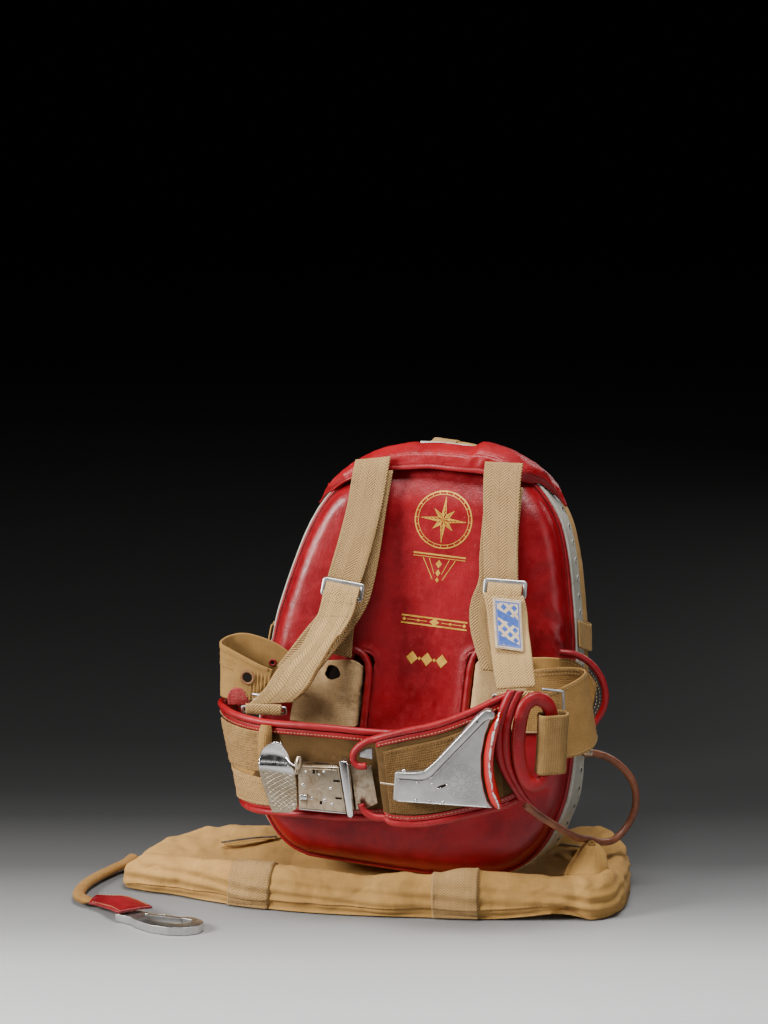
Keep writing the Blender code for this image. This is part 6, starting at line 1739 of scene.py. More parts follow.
def build_ring():
    rp = resample(catmull(np.array(RING, float), 14, True), step=1.7, cyclic=True)
    tan = unit(np.roll(rp, -1, 0) - np.roll(rp, 1, 0))
    cen = np.array((174, -192, 234.0))
    rad = rp - cen
    rad = unit(rad - tan * (rad * tan).sum(1, keepdims=True))
    nn = np.cross(tan, rad)
    nn = nn * np.where(nn[:, 1:2] > 0, -1, 1)
    g = 2 * np.pi * np.arange(32) / 32
    s = arc(rp, True)
    a = np.sign(np.cos(g)) * np.abs(np.cos(g)) ** 0.9 * 8.4
    b = np.sign(np.sin(g)) * np.abs(np.sin(g)) ** 0.9 * 6.0
    P = rp[:, None] + rad[:, None] * a[None, :, None] + nn[:, None] * b[None, :, None]
    P = P + nn[:, None] * (0.18 * np.sin(s[:-1] / 6.0) + 0.12 * np.sin(s[:-1] / 2.7))[:, None, None]
    grid("ring_leather", P, MT["leather"], cu=True, cv=True, U=s, V=arc(np.stack([a, b], 1), True), replaces="leather_ring", slot="red_leather")
    e = rp + rad * 6.9 + nn * 3.2
    k0 = int(len(e) * 0.02)
    stitches("ring_seam", np.vstack([e[-20:], e[:int(len(e) * 0.42)]]), unit(np.vstack([(nn + rad)[-20:], (nn + rad)[:int(len(e) * 0.42)]])),
             MT["brown"], pitch=4.2, length=2.7, r=0.45, slot="red_leather")


build_ring()


def band_loop(name, c, ex, ez, ey, w, h, d, t, mat, **kw):
    C, X, Z, Y = np.array(c, float), unit(ex), unit(ez), unit(ey)
    n = 110
    g = 2 * np.pi * np.arange(n) / n
    px = np.sign(np.cos(g)) * np.abs(np.cos(g)) ** 0.55
    py = np.sign(np.sin(g)) * np.abs(np.sin(g)) ** 0.55
    path = np.stack([px * (w - t) / 2, py * (d - t) / 2], 1)
    path = resample(path, n=n, cyclic=True, key=2)
    tan = unit(np.roll(path, -1, 0) - np.roll(path, 1, 0))
    nn = np.stack([tan[:, 1], -tan[:, 0]], 1)
    s = arc(path, True)
    m = 40
    z = np.linspace(-1, 1, m)
    hz = h / 2
    edge = np.clip((1 - np.abs(z)) * hz / 1.2, 0, 1)
    th = t / 2 * np.sqrt(np.clip(1 - (1 - edge) ** 2, 0.04, 1))
    P = []
    for sg in (1, -1):
        zz, tt = (z, th) if sg > 0 else (z[::-1], th[::-1])
        wob = 0.5 * np.sin(s[:-1] / 6.0)[:, None] * np.abs(zz)[None, :] ** 3 - 1.0 * (1 - zz[None, :] ** 2) * 0.6
        off = path[:, None] + nn[:, None] * (sg * tt[None, :, None] + wob[..., None])
        P.append(C + X * off[..., :1] + Y * off[..., 1:2] + Z * (zz * hz)[None, :, None])
    P = np.concatenate(P, 1)
    V = np.concatenate([z * hz, z[::-1] * hz, z[:1] * hz])
    return grid(name, P, mat, cu=True, cv=True, U=s, V=V, **kw)


MT["rib_long"] = ribbed("ribbed_webbing_long", base=(0.40, 0.29, 0.17), dark=(0.29, 0.20, 0.11), pitch=2.0, fuzz=0.4, bump=0.5, along=True, soil=0.3)
band_loop("ring_loop_webbing", (192, -184, 231), (0.93, 0.36, 0.03), (0.04, -0.02, 1), (0.36, -0.93, 0), 36, 72, 27, 2.4, MT["rib_long"],
          replaces="ring_webbing", slot="herringbone_webbing")
tube("rect_ring_wire", [(176.5, -158, 288), (188, -154.2, 286.3), (197, -151.4, 285.0), (199.8, -150.7, 284.0), (201.0, -150.4, 281), (201.4, -150.7, 250),
                        (201.7, -151, 207.6), (200.8, -151.3, 204.6), (198.4, -152.0, 203.5), (186, -156, 204)], 1.7, MT["alu"], k=6, sides=14, step=1.6,
     replaces="rect_ring", slot="aged_nickel")
TAB = [(150, -86, 308, 150, -87, 236), (178, -84, 309, 176, -84, 232), (204, -80, 305.5, 202, -80, 227),
       (221, -75, 292, 218, -75, 226), (233, -72, 274, 226, -72, 236)]
tb = Ribbon(TAB, 2.4, step=2.2, across=30, k=10, wave=fuzz(0.5, 0.1, 0.0, 85))
tb.mesh("back_tab_canvas", MT["canvas"], replaces="back_tab", slot="tan_canvas")
TB = [(188, -83.6, 315.5), (204, -81, 313.5), (220, -76.5, 305.5), (233, -71.5, 290.5), (241, -69, 272), (242.6, -69, 254),
      (237.5, -70, 238.5), (228, -73, 224)]
tube("back_tab_piping", TB, thick_roll(5), MT["leather"], k=8, sides=20, step=2.0, replaces="back_tab_binding", slot="red_leather")
inner = catmull(np.array(TB), 6)
mid = np.array((190, -80, 255.0))
for i, f in enumerate((6.5, 10.5)):
    q = inner + unit(mid - inner) * f
    q[:, 1] -= 2.2
    stitches("back_tab_stitch_%d" % i, q, np.tile((0.25, -0.97, 0.0), (len(q), 1)), MT["cream"], pitch=4.2, length=2.8, r=0.5, slot="tan_canvas")
dome("side_loop_right_pins", [np.array((204.5, -137.0, 262)), np.array((209, -137.0, 228))], unit((0.45, -0.9, 0.0)), 1.7, 0.8, MT["hole_shade_and_black"],
     slot="aged_nickel")

# the leather tab and the small bars inside the left end of the belt
TABL = [(-208.5, 246.5), (-181.5, 246.5), (-180.5, 256), (-184, 264), (-191, 268.5), (-198.5, 268.5), (-205.5, 264.5), (-209, 256)]


def aged_leather():
    m = Mat("red_leather_cracked", spec=0.5)
    u, v, vec = m.uv()
    cells = m.cells(3.4, feature="DISTANCE_TO_EDGE")
    crack = m.map(cells, 0.02, 0.11, 1.0, 0.0)
    much = m.map(m.noise(9, 4, 0.65), 0.38, 0.62, 0.1, 1.0)
    crack = m.mul(crack, much)
    c = m.mix(m.noise(12, 4, 0.6), (0.20, 0.006, 0.009), (0.33, 0.012, 0.015))
    c = m.mix(m.mul(crack, 0.35), c, (0.36, 0.13, 0.06))
    h = m.add(m.mul(crack, -1.0), m.mul(m.noise(5, 3, 0.6), 0.4))
    return m.out(c, m.map(m.noise(6, 3, 0.6), 0.3, 0.7, 0.42, 0.68), m.bump(h, 0.35))


MT["cracked"] = aged_leather()
tabl = Ribbon([(-208.5, -141.2, 246.5, -181.5, -141.2, 246.5), (-209, -141.4, 251, -180.8, -141.4, 251), (-209, -141.6, 256, -180.5, -141.6, 256),
               (-207.6, -141.5, 261, -182.0, -141.5, 261), (-204.5, -141.2, 265.2, -185.2, -141.2, 265.2), (-200, -141.0, 268.2, -189.2, -141.0, 268.2)],
              2.4, step=1.0, across=26, k=10, wave=lambda S, C: 0.8 * np.sin(math.pi * C) * sstep(0, 8, S) + fuzz(0.35, 0.2, 0.0, 91, 28)(S, C))
tabl.mesh("inner_tab_leather", MT["cracked"], replaces="tab_L", slot="red_leather")
seam("inner_tab_seam", tabl, 2.6, MT["dark"], 1, 18, pitch=3.2, length=2.1, r=0.38, slot="red_leather")
seam("inner_tab_seam_b", tabl, tabl.width - 2.8, MT["dark"], 1, 18, pitch=3.2, length=2.1, r=0.38, slot="red_leather")
for i, (x0, x1, zz) in enumerate(((-176.5, -160.5, 262.4), (-174.5, -162.0, 256.4))):
    tube("belt_inner_bar_%d" % i, [(x0, -147.0, zz), ((x0 + x1) / 2, -149.6, zz + 0.2), (x1, -150.4, zz + 0.3)], 1.7, MT["alu_dull"], k=8, sides=14, step=0.8,
         slot="aged_nickel")

# ------------------------------------------------------------------ shoulder straps
def pack_rows(rows):
    return [(*pk((ul, vl, wl)), *pk((ur, vr, wr))) for ul, wl, ur, wr, vl, vr in rows]


def strap_wave(seed, amp=0.45, edge=0.35):
    def f(S, C):
        P = np.stack([S + 0 * C, C * 44 + 0 * S, 0 * S + 0 * C], -1)
        return amp * fbm(P, (40, 26, 20), 2, seed) + edge * np.abs(2 * C - 1) ** 3 * np.sin(S / 13.0 + seed + 2.0 * (C > 0.5))
    return f


STRAPS = {}


def strap(name, rows, mat, node, wave_seed, t=2.8, across=26, step=1.8, k=8, **kw):
    q = Ribbon(rows, t, step=step, across=across, k=k, wave=strap_wave(wave_seed), edge=1.5, **kw)
    q.mesh(name, MT[mat], replaces=node, slot="herringbone_webbing")
    STRAPS[name] = q
    return q


LOWL = [(*pk((-128, -82.5, 337)), *pk((-85, -82.5, 335.5))), (-102.6, -108, 358.5, -59.7, -108, 359.1), (-111.7, -120, 337.7, -68.9, -120, 340.3),
        (-120.5, -133, 319.8, -81, -132, 321.2), (-144.5, -147, 296, -93.5, -144, 297.5), (-160, -153, 271.5, -106.6, -151, 274.5),
        (-181.7, -154.5, 249.5, -125.5, -151.5, 256)]
LOWR = [(*pk((66, -83, 359)), *pk((116, -83, 360))), (102.4, -107, 369.2, 151.4, -107, 369.4), (107.2, -121, 348.0, 155.2, -121, 350.5),
        (112.0, -137, 331.5, 160.0, -137, 335.5), (116.6, -151, 314, 164.0, -150, 320.5), (122, -164, 296, 168.4, -161, 301.5),
        (124.4, -169, 288.0, 170, -165.5, 292.5)]
suL = strap("strap_left_front", pack_rows([(-115, 497, -71.5, 506, -40.5, -41.5), (-115, 478, -71.5, 484, -50, -50), (-116, 440, -73, 442, -57, -57),
                                           (-120, 400, -77, 400, -65, -64), (-125, 366, -83, 362, -71, -70), (-127, 352, -86, 349, -72.5, -71.5)]),
            "strap", "strap_L_upper", 101)
srL = strap("strap_left_back", pack_rows([(-109, 484, -66, 490, -45.2, -45.2), (-111, 440, -68, 441, -50.0, -50.0), (-113, 400, -69, 398, -54.5, -53.5),
                                          (-117, 362, -71, 358, -58, -57), (-124, 334, -77, 322, -61, -60), (-134, 308, -94, 286, -66, -66),
                                          (-149, 282, -112, 256, -76, -76), (-163, 256, -128, 230, -88, -88), (-172, 240, -141, 212, -96, -96)]),
            "strap", "strap_L_rear", 103)
anL = strap("anchor_strap", pack_rows([(-118, 320, -90, 320, -52, -52), (-119, 300, -91, 300, -52, -52), (-120, 275, -91, 278, -52.6, -52.6),
                                       (-120, 258, -90, 256, -52.8, -52.8)]), "strap", "anchor_L", 105, across=18)
slL = strap("strap_left_low", LOWL, "strap_low", "strap_L_lower", 107)
suR = strap("strap_right_front", pack_rows([(44.5, 513.5, 91, 516.8, -40.5, -40.5), (46.5, 490, 92, 492, -50, -50), (52, 450, 96, 450, -57, -57),
                                            (57, 415, 100, 414, -65, -65), (62, 388, 104, 388, -71, -71), (64, 372, 106, 373, -73, -73)]),
            "strap", "strap_R_upper", 109)
srR = strap("strap_right_back", pack_rows([(50, 486, 95, 488, -45.2, -45.2), (51, 440, 96, 440, -50, -50), (53, 400, 97, 400, -56, -55),
                                           (56, 372, 100, 370, -60, -58), (50, 344, 98, 344, -64, -61), (52, 318, 100, 318, -67, -66),
                                           (62, 292, 108, 292, -74, -74), (76, 266, 120, 268, -85, -85)]), "strap", "strap_R_rear", 111)
slR = strap("strap_right_low", LOWR, "strap_low", "strap_R_lower", 113)


def frame_axes(ang, tilt):
    a = math.radians(ang)
    ex = pkn((math.cos(a), 0, math.sin(a)))
    ez = pkn((-math.sin(a) * math.cos(tilt), math.sin(tilt), math.cos(a) * math.cos(tilt)))
    return ex, ez, np.cross(ex, ez)


def wire_frame(name, C, X, Z, Y, w, h, bar, depth, mat, node):
    """rounded rectangular frame of flat oval bar, closed round its window"""
    n = 150
    g = 2 * np.pi * np.arange(n) / n
    p = 0.09
    path = np.stack([np.sign(np.cos(g)) * np.abs(np.cos(g)) ** p * (w - bar) / 2, np.sign(np.sin(g)) * np.abs(np.sin(g)) ** p * (h - bar) / 2], 1)
    path = resample(path, n=n, cyclic=True, key=2)
    path = (np.roll(path, 1, 0) + 2 * path + np.roll(path, -1, 0)) / 4
    tan = unit(np.roll(path, -1, 0) - np.roll(path, 1, 0))
    nn = np.stack([tan[:, 1], -tan[:, 0]], 1)
    m = 22
    q = 2 * np.pi * np.arange(m) / m
    a = np.sign(np.cos(q)) * np.abs(np.cos(q)) ** 0.7 * bar / 2
    b = np.sign(np.sin(q)) * np.abs(np.sin(q)) ** 0.8 * depth / 2
    off = path[:, None] + nn[:, None] * a[None, :, None]
    P = C + X * off[..., :1] + Z * off[..., 1:2] + Y * b[None, :, None]
    s = arc(path, True)
    return grid(name, P, mat, cu=True, cv=True, U=s, V=arc(np.stack([a, b], 1), True), replaces=node, slot="bare_aluminium")


def over_bar(tag, C, X, Z, Y, w, h, bar, strap_w, mat, seed, top_seen=True):
    """webbing turned over a frame's lower bar; its doubled end, stitched behind, is not drawn"""
    zb = -(h - bar) / 2
    rows_ = []
    for g in np.linspace(110, 372, 22):
        r = bar / 2 + 2.1
        y = r * math.cos(math.radians(g)) * 1.0
        z = zb + r * math.sin(math.radians(g)) * 1.05
        # front face is -Y here: Y points backwards or forwards as the axes come
        a, b = C - X * strap_w / 2 + Z * z + Y * y, C + X * strap_w / 2 + Z * z + Y * y
        rows_.append((*a, *b))
    q = Ribbon(rows_, 2.2, step=0.9, across=22, k=2, wave=strap_wave(seed, 0.2, 0.15), edge=1.2)
    q.mesh(tag, MT[mat], slot="herringbone_webbing")
    return q


exL, ezL, eyL = frame_axes(-3.6, math.radians(6))
exR, ezR, eyR = frame_axes(2.6, math.radians(4))
cL, cR = pk((-105.6, -77.6, 340.2)), pk((91.5, -78.4, 366))
wire_frame("adjuster_left_frame", cL, exL, ezL, eyL, 53, 23, 5.2, 3.0, MT["alu"], "adjuster_L")
wire_frame("adjuster_right_frame", cR, exR, ezR, eyR, 53, 23, 5.2, 3.0, MT["alu"], "adjuster_R")


def bulge_band(tag, C, X, Z, Y, w, z0, z1, front, mat, seed):
    """the strap's doubled part inside the frame: a soft cushion of webbing"""
    rows_ = []
    sgn = 1.0 if (Y @ np.array((0, -1.0, 0))) > 0 else -1.0
    for z, y in zip(np.linspace(z0, z1, 7), (3.4, 4.2, 4.6, 4.5, 3.8, 2.4, 0.0)):
        a = C - X * w / 2 + Z * z + Y * sgn * (y + front)
        b = C + X * w / 2 + Z * z + Y * sgn * (y + front)
        rows_.append((*a, *b))
    q = Ribbon(rows_, 2.4, step=0.9, across=22, k=6, wave=strap_wave(seed, 0.25, 0.2), edge=1.2)
    q.mesh(tag, MT[mat], slot="herringbone_webbing")
    return q


bulge_band("adjuster_left_fold", cL, exL, ezL, eyL, 42, -15.0, 6.2, 0.2, "strap_low", 125)
bulge_band("adjuster_right_fold", cR, exR, ezR, eyR, 41.5, -15.0, 6.2, 0.2, "strap_low", 127)

SLA = (np.array((-160.0, -156.6, 246.0)), unit((0.998, 0.06, 0.0)), np.array((0.0, -0.35, 0.93)))
SRA = (np.array((148.0, -176, 281)), unit((0.99, 0.10, 0.06)), np.array((-0.05, -0.35, 0.93)))
for nm, (c, ex, ez), node, ribw in (("left", SLA, "strap_slide_L", 44), ("right", SRA, "strap_slide_R", 44)):
    ez = unit(ez - ex * (ez @ ex))
    ey = np.cross(ex, ez)
    wire_frame("slide_%s_frame" % nm, c, ex, ez, ey, 56, 12, 3.4, 2.8, MT["alu"], node)
    fr = 1.0 if ey[1] < 0 else -1.0
    rows_ = []
    for z, y in ((-6.2, -0.6), (-4.2, 2.4), (-1.0, 3.1), (2.2, 2.7), (5.6, 1.6), (8.6, 0.2)):
        a, b = c - ex * ribw / 2 + ez * z + ey * fr * y, c + ex * ribw / 2 + ez * z + ey * fr * y
        rows_.append((*a, *b))
    q = Ribbon(rows_, 2.2, step=0.9, across=22, k=8, wave=strap_wave(131, 0.25, 0.2), edge=1.2)
    q.mesh("slide_%s_turn" % nm, MT["strap_low"], slot="herringbone_webbing")
    seam("slide_%s_seam" % nm, q, lambda S: 5 + 0 * S, MT["cream"], 1, q.length - 1, pitch=3.4, length=2.2, r=0.4, slot="herringbone_webbing")

# stitch boxes and rows on the straps
for nm, q, rows_ in (("low_left", slL, ((3.0, 8, 60), (40.0, 8, 60))), ("low_right", slR, ((3.2, 6, 64), (40.2, 6, 64))),
                     ("back_left", srL, ((3.2, 100, 250), (40.0, 100, 250))), ("back_right", srR, ((3.4, 100, 220), (41.5, 100, 220))),
                     ("front_left", suL, ((3.0, 60, 150), (40.0, 60, 150))), ("front_right", suR, ((3.0, 60, 140), (42.0, 60, 140)))):
    for i, (c, s0, s1) in enumerate(rows_):
        seam("strap_%s_seam_%d" % (nm, i), q, c, MT["cream"], s0, min(s1, q.length - 1), pitch=3.6, length=2.4, r=0.40, slot="herringbone_webbing")


def cross_row(name, rib, s, mat, c0=4.0, c1=None, **kw):
    c1 = rib.width - 4 if c1 is None else c1
    C = np.linspace(c0, c1, 16) / rib.width
    P, N = rib.at(np.full(16, float(s)), C, rib.t / 2 + 0.02)
    stitches(name, P, N, mat, pitch=3.4, length=2.3, r=0.42, slot="herringbone_webbing", **kw)


for i, s in enumerate((12.0, 30.0)):
    cross_row("strap_low_left_row_%d" % i, slL, s, MT["cream"])
for i, s in enumerate((10.0, 15.0)):
    cross_row("strap_low_right_row_%d" % i, slR, s, MT["cream"])
# rust coloured nap on the right edge of the left lower strap
flap("strap_low_left_nap", slL, slL.width - 3.4, slL.width + 0.6, MT["felt"], slL.length * 0.35, slL.length * 0.97, t=1.0, step=1.0, across=5,
     wave=fuzz(0.5, 0.5, 0.5, 141, 4), slot="coarse_webbing")

# woven label, its figures plain
LAB = [(109.6, -106.2, 385.0, 144.2, -106.6, 382.2), (113.6, -122.2, 357.4, 148.0, -123.2, 354.4),
       (119.4, -145.4, 332.6, 153.0, -147.4, 329.4)]


def build_label():
    D = resample(np.hstack([(catmull(np.array(LAB, float), 10)[:, :3] + catmull(np.array(LAB, float), 10)[:, 3:]) / 2, catmull(np.array(LAB, float), 10)]), step=1.6)
    A, B = D[:, 3:6], D[:, 6:9]
    s = arc(D[:, :3])
    m = 26
    c = np.linspace(0, 1, m)
    tan = unit(np.gradient(D[:, :3], axis=0))
    nn = np.cross(tan, B - A)
    nn = unit(nn * np.where(nn[:, 1:2] > 0, -1, 1))
    w = 0.25 * fbm(np.stack([s[:, None] + 0 * c[None], c[None] * 35 + 0 * s[:, None], np.zeros((len(s), m))], -1), 18, 2, 151)
    base = A[:, None] + (B - A)[:, None] * c[None, :, None]
    edge = np.sqrt(np.clip(1 - (1 - np.clip(np.minimum(c, 1 - c) * 35 / 0.8, 0, 1)) ** 2, 0.1, 1)) * 0.6
    top = base + nn[:, None] * (w + edge[None])[..., None]
    low = base + nn[:, None] * (w - edge[None])[..., None]
    P = np.concatenate([top, low[:, ::-1]], 1)
    L = s[-1]
    U = (L - s) * 62.0 / L
    V = np.concatenate([c * 35, c[::-1] * 35, c[:1] * 35])
    grid("strap_label", P, MT["badge"], cv=True, U=U, V=V, caps=True, replaces="woven_label", slot="tan_canvas")
    for i, cc in enumerate((0.06, 0.94)):
        q = A + (B - A) * cc + nn * 0.75
        stitches("label_seam_%d" % i, q, nn, MT["cream"], pitch=3.0, length=2.1, r=0.32, slot="tan_canvas")
    for i, j in enumerate((1, len(A) - 2)):
        q = A[j] + (B[j] - A[j]) * c[:, None] + nn[j] * 0.75
        stitches("label_row_%d" % i, q[1:-1], np.tile(nn[j], (m - 2, 1)), MT["cream"], pitch=3.0, length=2.1, r=0.32, slot="tan_canvas")


build_label()

# ------------------------------------------------------------------ carrying bag
BAG = [(-352, -118, -38, 16, 14, 14, 4), (-344, -134, -8, 32, 22, 22, 0), (-320, -144, 18, 42, 30, 30, 0),
       (-280, -149, 58, 46, 27, 34, 0), (-235, -162, 80, 48, 20, 32, 0), (-180, -173, 92, 50, 14, 30, 0),
       (-110, -180, 98, 50, 11.5, 28, 0), (-30, -178, 104, 46.5, 11.5, 26, 0), (50, -170, 112, 51.5, 11.5, 28, 0),
       (115, -163, 120, 54, 12, 30, 0), (165, -156, 130, 52, 18, 34, 4), (205, -150, 138, 51, 30, 40, 8),
       (236, -143, 108, 54, 42, 44, 0), (256, -130, 60, 54, 44, 42, 0), (268, -106, 14, 40, 36, 32, 0),
       (273, -86, -22, 18, 16, 14, 4)]


def bag_ring(x, yf, yr, zr, zm, zb, lift):
    lift = max(0.0, lift)
    d = yr - yf
    m = min(1.0, d / 150.0)
    return [(x, yf + 14 * m, lift), (x, yf + 3 * m, 6 * m + lift), (x, yf, zr * 0.40 + lift * 0.6), (x, yf + 5 * m, zr * 0.78), (x, yf + 16 * m, zr),
            (x, yf + 29 * m, zr * 0.97), (x, yf + 42 * m, zm + (zr - zm) * 0.5), (x, yf + 56 * m, zm), (x, yf + d * 0.52 + 8 * m, zm),
            (x, yr - d * 0.24, zm + (zb - zm) * 0.45), (x, yr - d * 0.12, zb * 0.97), (x, yr - 7 * m, zb * 0.86), (x, yr, zb * 0.42), (x, yr - 5 * m, 4 * m),
            (x, yr - 14 * m, 0), (x, yf + d * 0.45, 0)]


NU_B, NV_B = 258, 176


def bag_surface():
    rows_ = resample(catmull(np.array(BAG, float), 14), n=NU_B, key=2)
    rings_ = []
    for r in rows_:
        q = catmull(np.array(bag_ring(*r)), 12, True)
        n0 = len(q)
        # fixed parameter along the section keeps the rings in step: more rows on the front roll
        t = np.concatenate([np.linspace(0, 0.50, 112, endpoint=False), np.linspace(0.50, 0.86, 44, endpoint=False), np.linspace(0.86, 1.0, 20, endpoint=False)])
        i = t * n0
        a = np.floor(i).astype(int) % n0
        f = (i % 1)[:, None]
        rings_.append(q[a] * (1 - f) + q[(a + 1) % n0] * f)
    P = np.array(rings_)
    n = np.cross(np.gradient(P, axis=0), np.roll(P, -1, 1) - np.roll(P, 1, 1))
    n = unit(n)
    c = P.mean(1, keepdims=True)
    if (n * (P - c)).sum(-1).mean() < 0:
        n = -n
    x, y, z = P[..., 0], P[..., 1], P[..., 2]
    v = np.linspace(0, 1, NV_B, endpoint=False)[None, :]
    s = arc(P.mean(1))[:, None]
    near_floor = sstep(1.0, 10.0, z)
    off_pack = 1 - sstep(-176, -150, x) * sstep(176, 150, x) * sstep(-120, -100, y) * sstep(92, 70, y) * 0.85
    off_pack = off_pack * (1 - 0.7 * bump(x, 150, 20) * sstep(-40, -80, y))
    big = 2.6 * fbm(P, (46, 60, 40), 2, 161)
    # long soft folds that run along the roll, and cross wrinkles where it bunches
    fold = 1.5 * np.sin(z * 0.42 + 0.030 * x + 3.2 * vnoise(P, (70, 60, 60), 163)) * bump(z, 24, 17)
    cross = 0.8 * np.sin(x / 6.8 + 2.4 * vnoise(P, (30, 40, 30), 165)) * (bump(x, -262, 34) + bump(x, -110, 20) * 0.6 + bump(x, 8, 26) * 0.8
                                                                           + bump(x, 128, 22) * 0.8)
    sharp = -1.1 * creases(P, (44, 44, 34), 167, 8.0)
    fine = 0.45 * fbm(P, (9, 14, 10), 2, 169)
    right = 1.1 * np.sin(0.10 * x + 0.16 * y + 2.2 * vnoise(P, (40, 40, 40), 171)) * sstep(150, 215, x) + \
        0.6 * np.sin(0.21 * x - 0.12 * y + 2 * vnoise(P, (26, 26, 26), 173)) * sstep(140, 200, x)
    left = 1.0 * np.sin(0.14 * x + 0.10 * y + 2.4 * vnoise(P, (34, 34, 34), 175)) * sstep(-225, -280, x)
    disp = (big + fold + cross + sharp + fine + right + left) * near_floor * off_pack
    disp = disp - 0.5
    # seam along the roll's foot and one along its back
    disp = disp - 1.3 * bump(v, 0.118, 0.004) + 0.9 * bump(v, 0.127, 0.006) * near_floor
    disp = disp * sstep(0, 0.02, (s / s[-1])) * sstep(1.0, 0.98, (s / s[-1]))
    Q = P + n * disp[..., None]
    Q[..., 2] = np.maximum(Q[..., 2], 0.15)
    return P, n, Q, s[:, 0]


BP0, BN0, BQ, BS = bag_surface()
BV = arc(BP0[NU_B // 2], True)
ob = grid("bag_canvas", BQ, MT["canvas_bag"], cv=True, U=BS, V=BV, caps=True, replaces="bag", slot="tan_canvas")


def bag_sample(i, j, h):
    """bag surface at fractional grid indices"""
    i = np.clip(i, 0, NU_B - 1.001)
    a, f = np.floor(i).astype(int), (i % 1)[..., None]
    jj = j % NV_B
    b, g = np.floor(jj).astype(int) % NV_B, (jj % 1)[..., None]
    b2 = (b + 1) % NV_B
    g_ = lambda M: (M[a, b] * (1 - f) + M[a + 1, b] * f) * (1 - g) + (M[a, b2] * (1 - f) + M[a + 1, b2] * f) * g
    return g_(BQ) + unit(g_(BN0)) * np.asarray(h)[..., None]


def bag_index(x):
    return float(np.interp(x, BP0[:, 0, 0], np.arange(NU_B)))


def bag_patch(name, x0, x1, j0, j1, h, t, mat, skew=0.0, nx=26, nj=90, **kw):
    i0, i1 = bag_index(x0), bag_index(x1)
    A = np.linspace(0, 1, nx)[:, None]
    J = np.linspace(j0, j1, nj)[None, :]
    I = i0 + (i1 - i0) * A + skew * (J - (j0 + j1) / 2) / (j1 - j0)
    I, J = np.broadcast_arrays(I, J)
    width = (x1 - x0)
    edge = np.clip(np.minimum(A, 1 - A) * width / 1.4, 0, 1)
    th = t / 2 * np.sqrt(np.clip(1 - (1 - edge) ** 2, 0.05, 1)) + 0 * J
    top = bag_sample(I, J, h + th)
    low = bag_sample(I, J, h - th)
    top[..., 2] = np.maximum(top[..., 2], 0.3)
    low[..., 2] = np.maximum(low[..., 2], 0.3)
    P = np.concatenate([top, low[::-1]], 0)
    P = np.transpose(P, (1, 0, 2))
    s = arc(P[:, nx // 2])
    a = A[:, 0] * width
    V = np.concatenate([a, a[::-1], a[:1]])
    grid(name, P, mat, cv=True, U=s, V=V, caps=True, **kw)
    return top, s


def bag_j(z_frac):
    return z_frac * NV_B


bag_patch("bag_band_left", -203, -150, 7.0, 76.0, 1.3, 2.4, MT["bag_web"], skew=3.0, replaces="bag_band_L", slot="herringbone_webbing")
bag_patch("bag_band_right", 46, 103, 7.0, 76.0, 1.3, 2.4, MT["bag_web"], skew=-1.5, nx=28, replaces="bag_band_R", slot="herringbone_webbing")
for tag, x0, sk in (("left_a", -200.5, 3.0), ("left_b", -153.0, 3.0), ("right_a", 48.6, -1.5), ("right_b", 100.0, -1.5)):
    J = np.linspace(8.5, 74.5, 80)
    I = bag_index(x0) + sk * (J - 41.5) / 69.0
    P_ = bag_sample(I, J, np.full(80, 2.5))
    N_ = bag_sample(I, J, np.full(80, 3.5)) - P_
    stitches("bag_band_seam_" + tag, P_, unit(N_), MT["cream"], pitch=3.9, length=2.6, r=0.45, slot="herringbone_webbing")


def bag_line(name, pts, mat, h=0.3, **kw):
    """stitches along the bag through (x, section share) points"""
    D = resample(catmull(np.array([(bag_index(x), j * NV_B) for x, j in pts], float), 12), n=max(20, 40 * len(pts)), key=2)
    P_ = bag_sample(D[:, 0], D[:, 1], np.full(len(D), h))
    N_ = bag_sample(D[:, 0], D[:, 1], np.full(len(D), h + 1.0)) - P_
    return stitches(name, P_, unit(N_), mat, slot="tan_canvas", **kw)


bag_line("bag_seam_front", [(-330, 0.130), (-250, 0.128), (-100, 0.128), (40, 0.128), (180, 0.130)], MT["brown"], pitch=4.6, length=3.0, r=0.42)
bag_line("bag_seam_right", [(178, 0.36), (206, 0.40), (232, 0.46), (250, 0.52)], MT["brown"], pitch=4.6, length=3.0, r=0.42)
bag_line("bag_seam_left", [(-326, 0.42), (-300, 0.46), (-268, 0.50), (-238, 0.52)], MT["brown"], pitch=4.6, length=3.0, r=0.42)

TIP = [(228, -96, 57, 19, 22), (229, -92, 63, 15, 17), (230, -87, 70, 10, 12), (231, -83, 75, 7, 8), (231, -81, 78, 3.5, 4)]


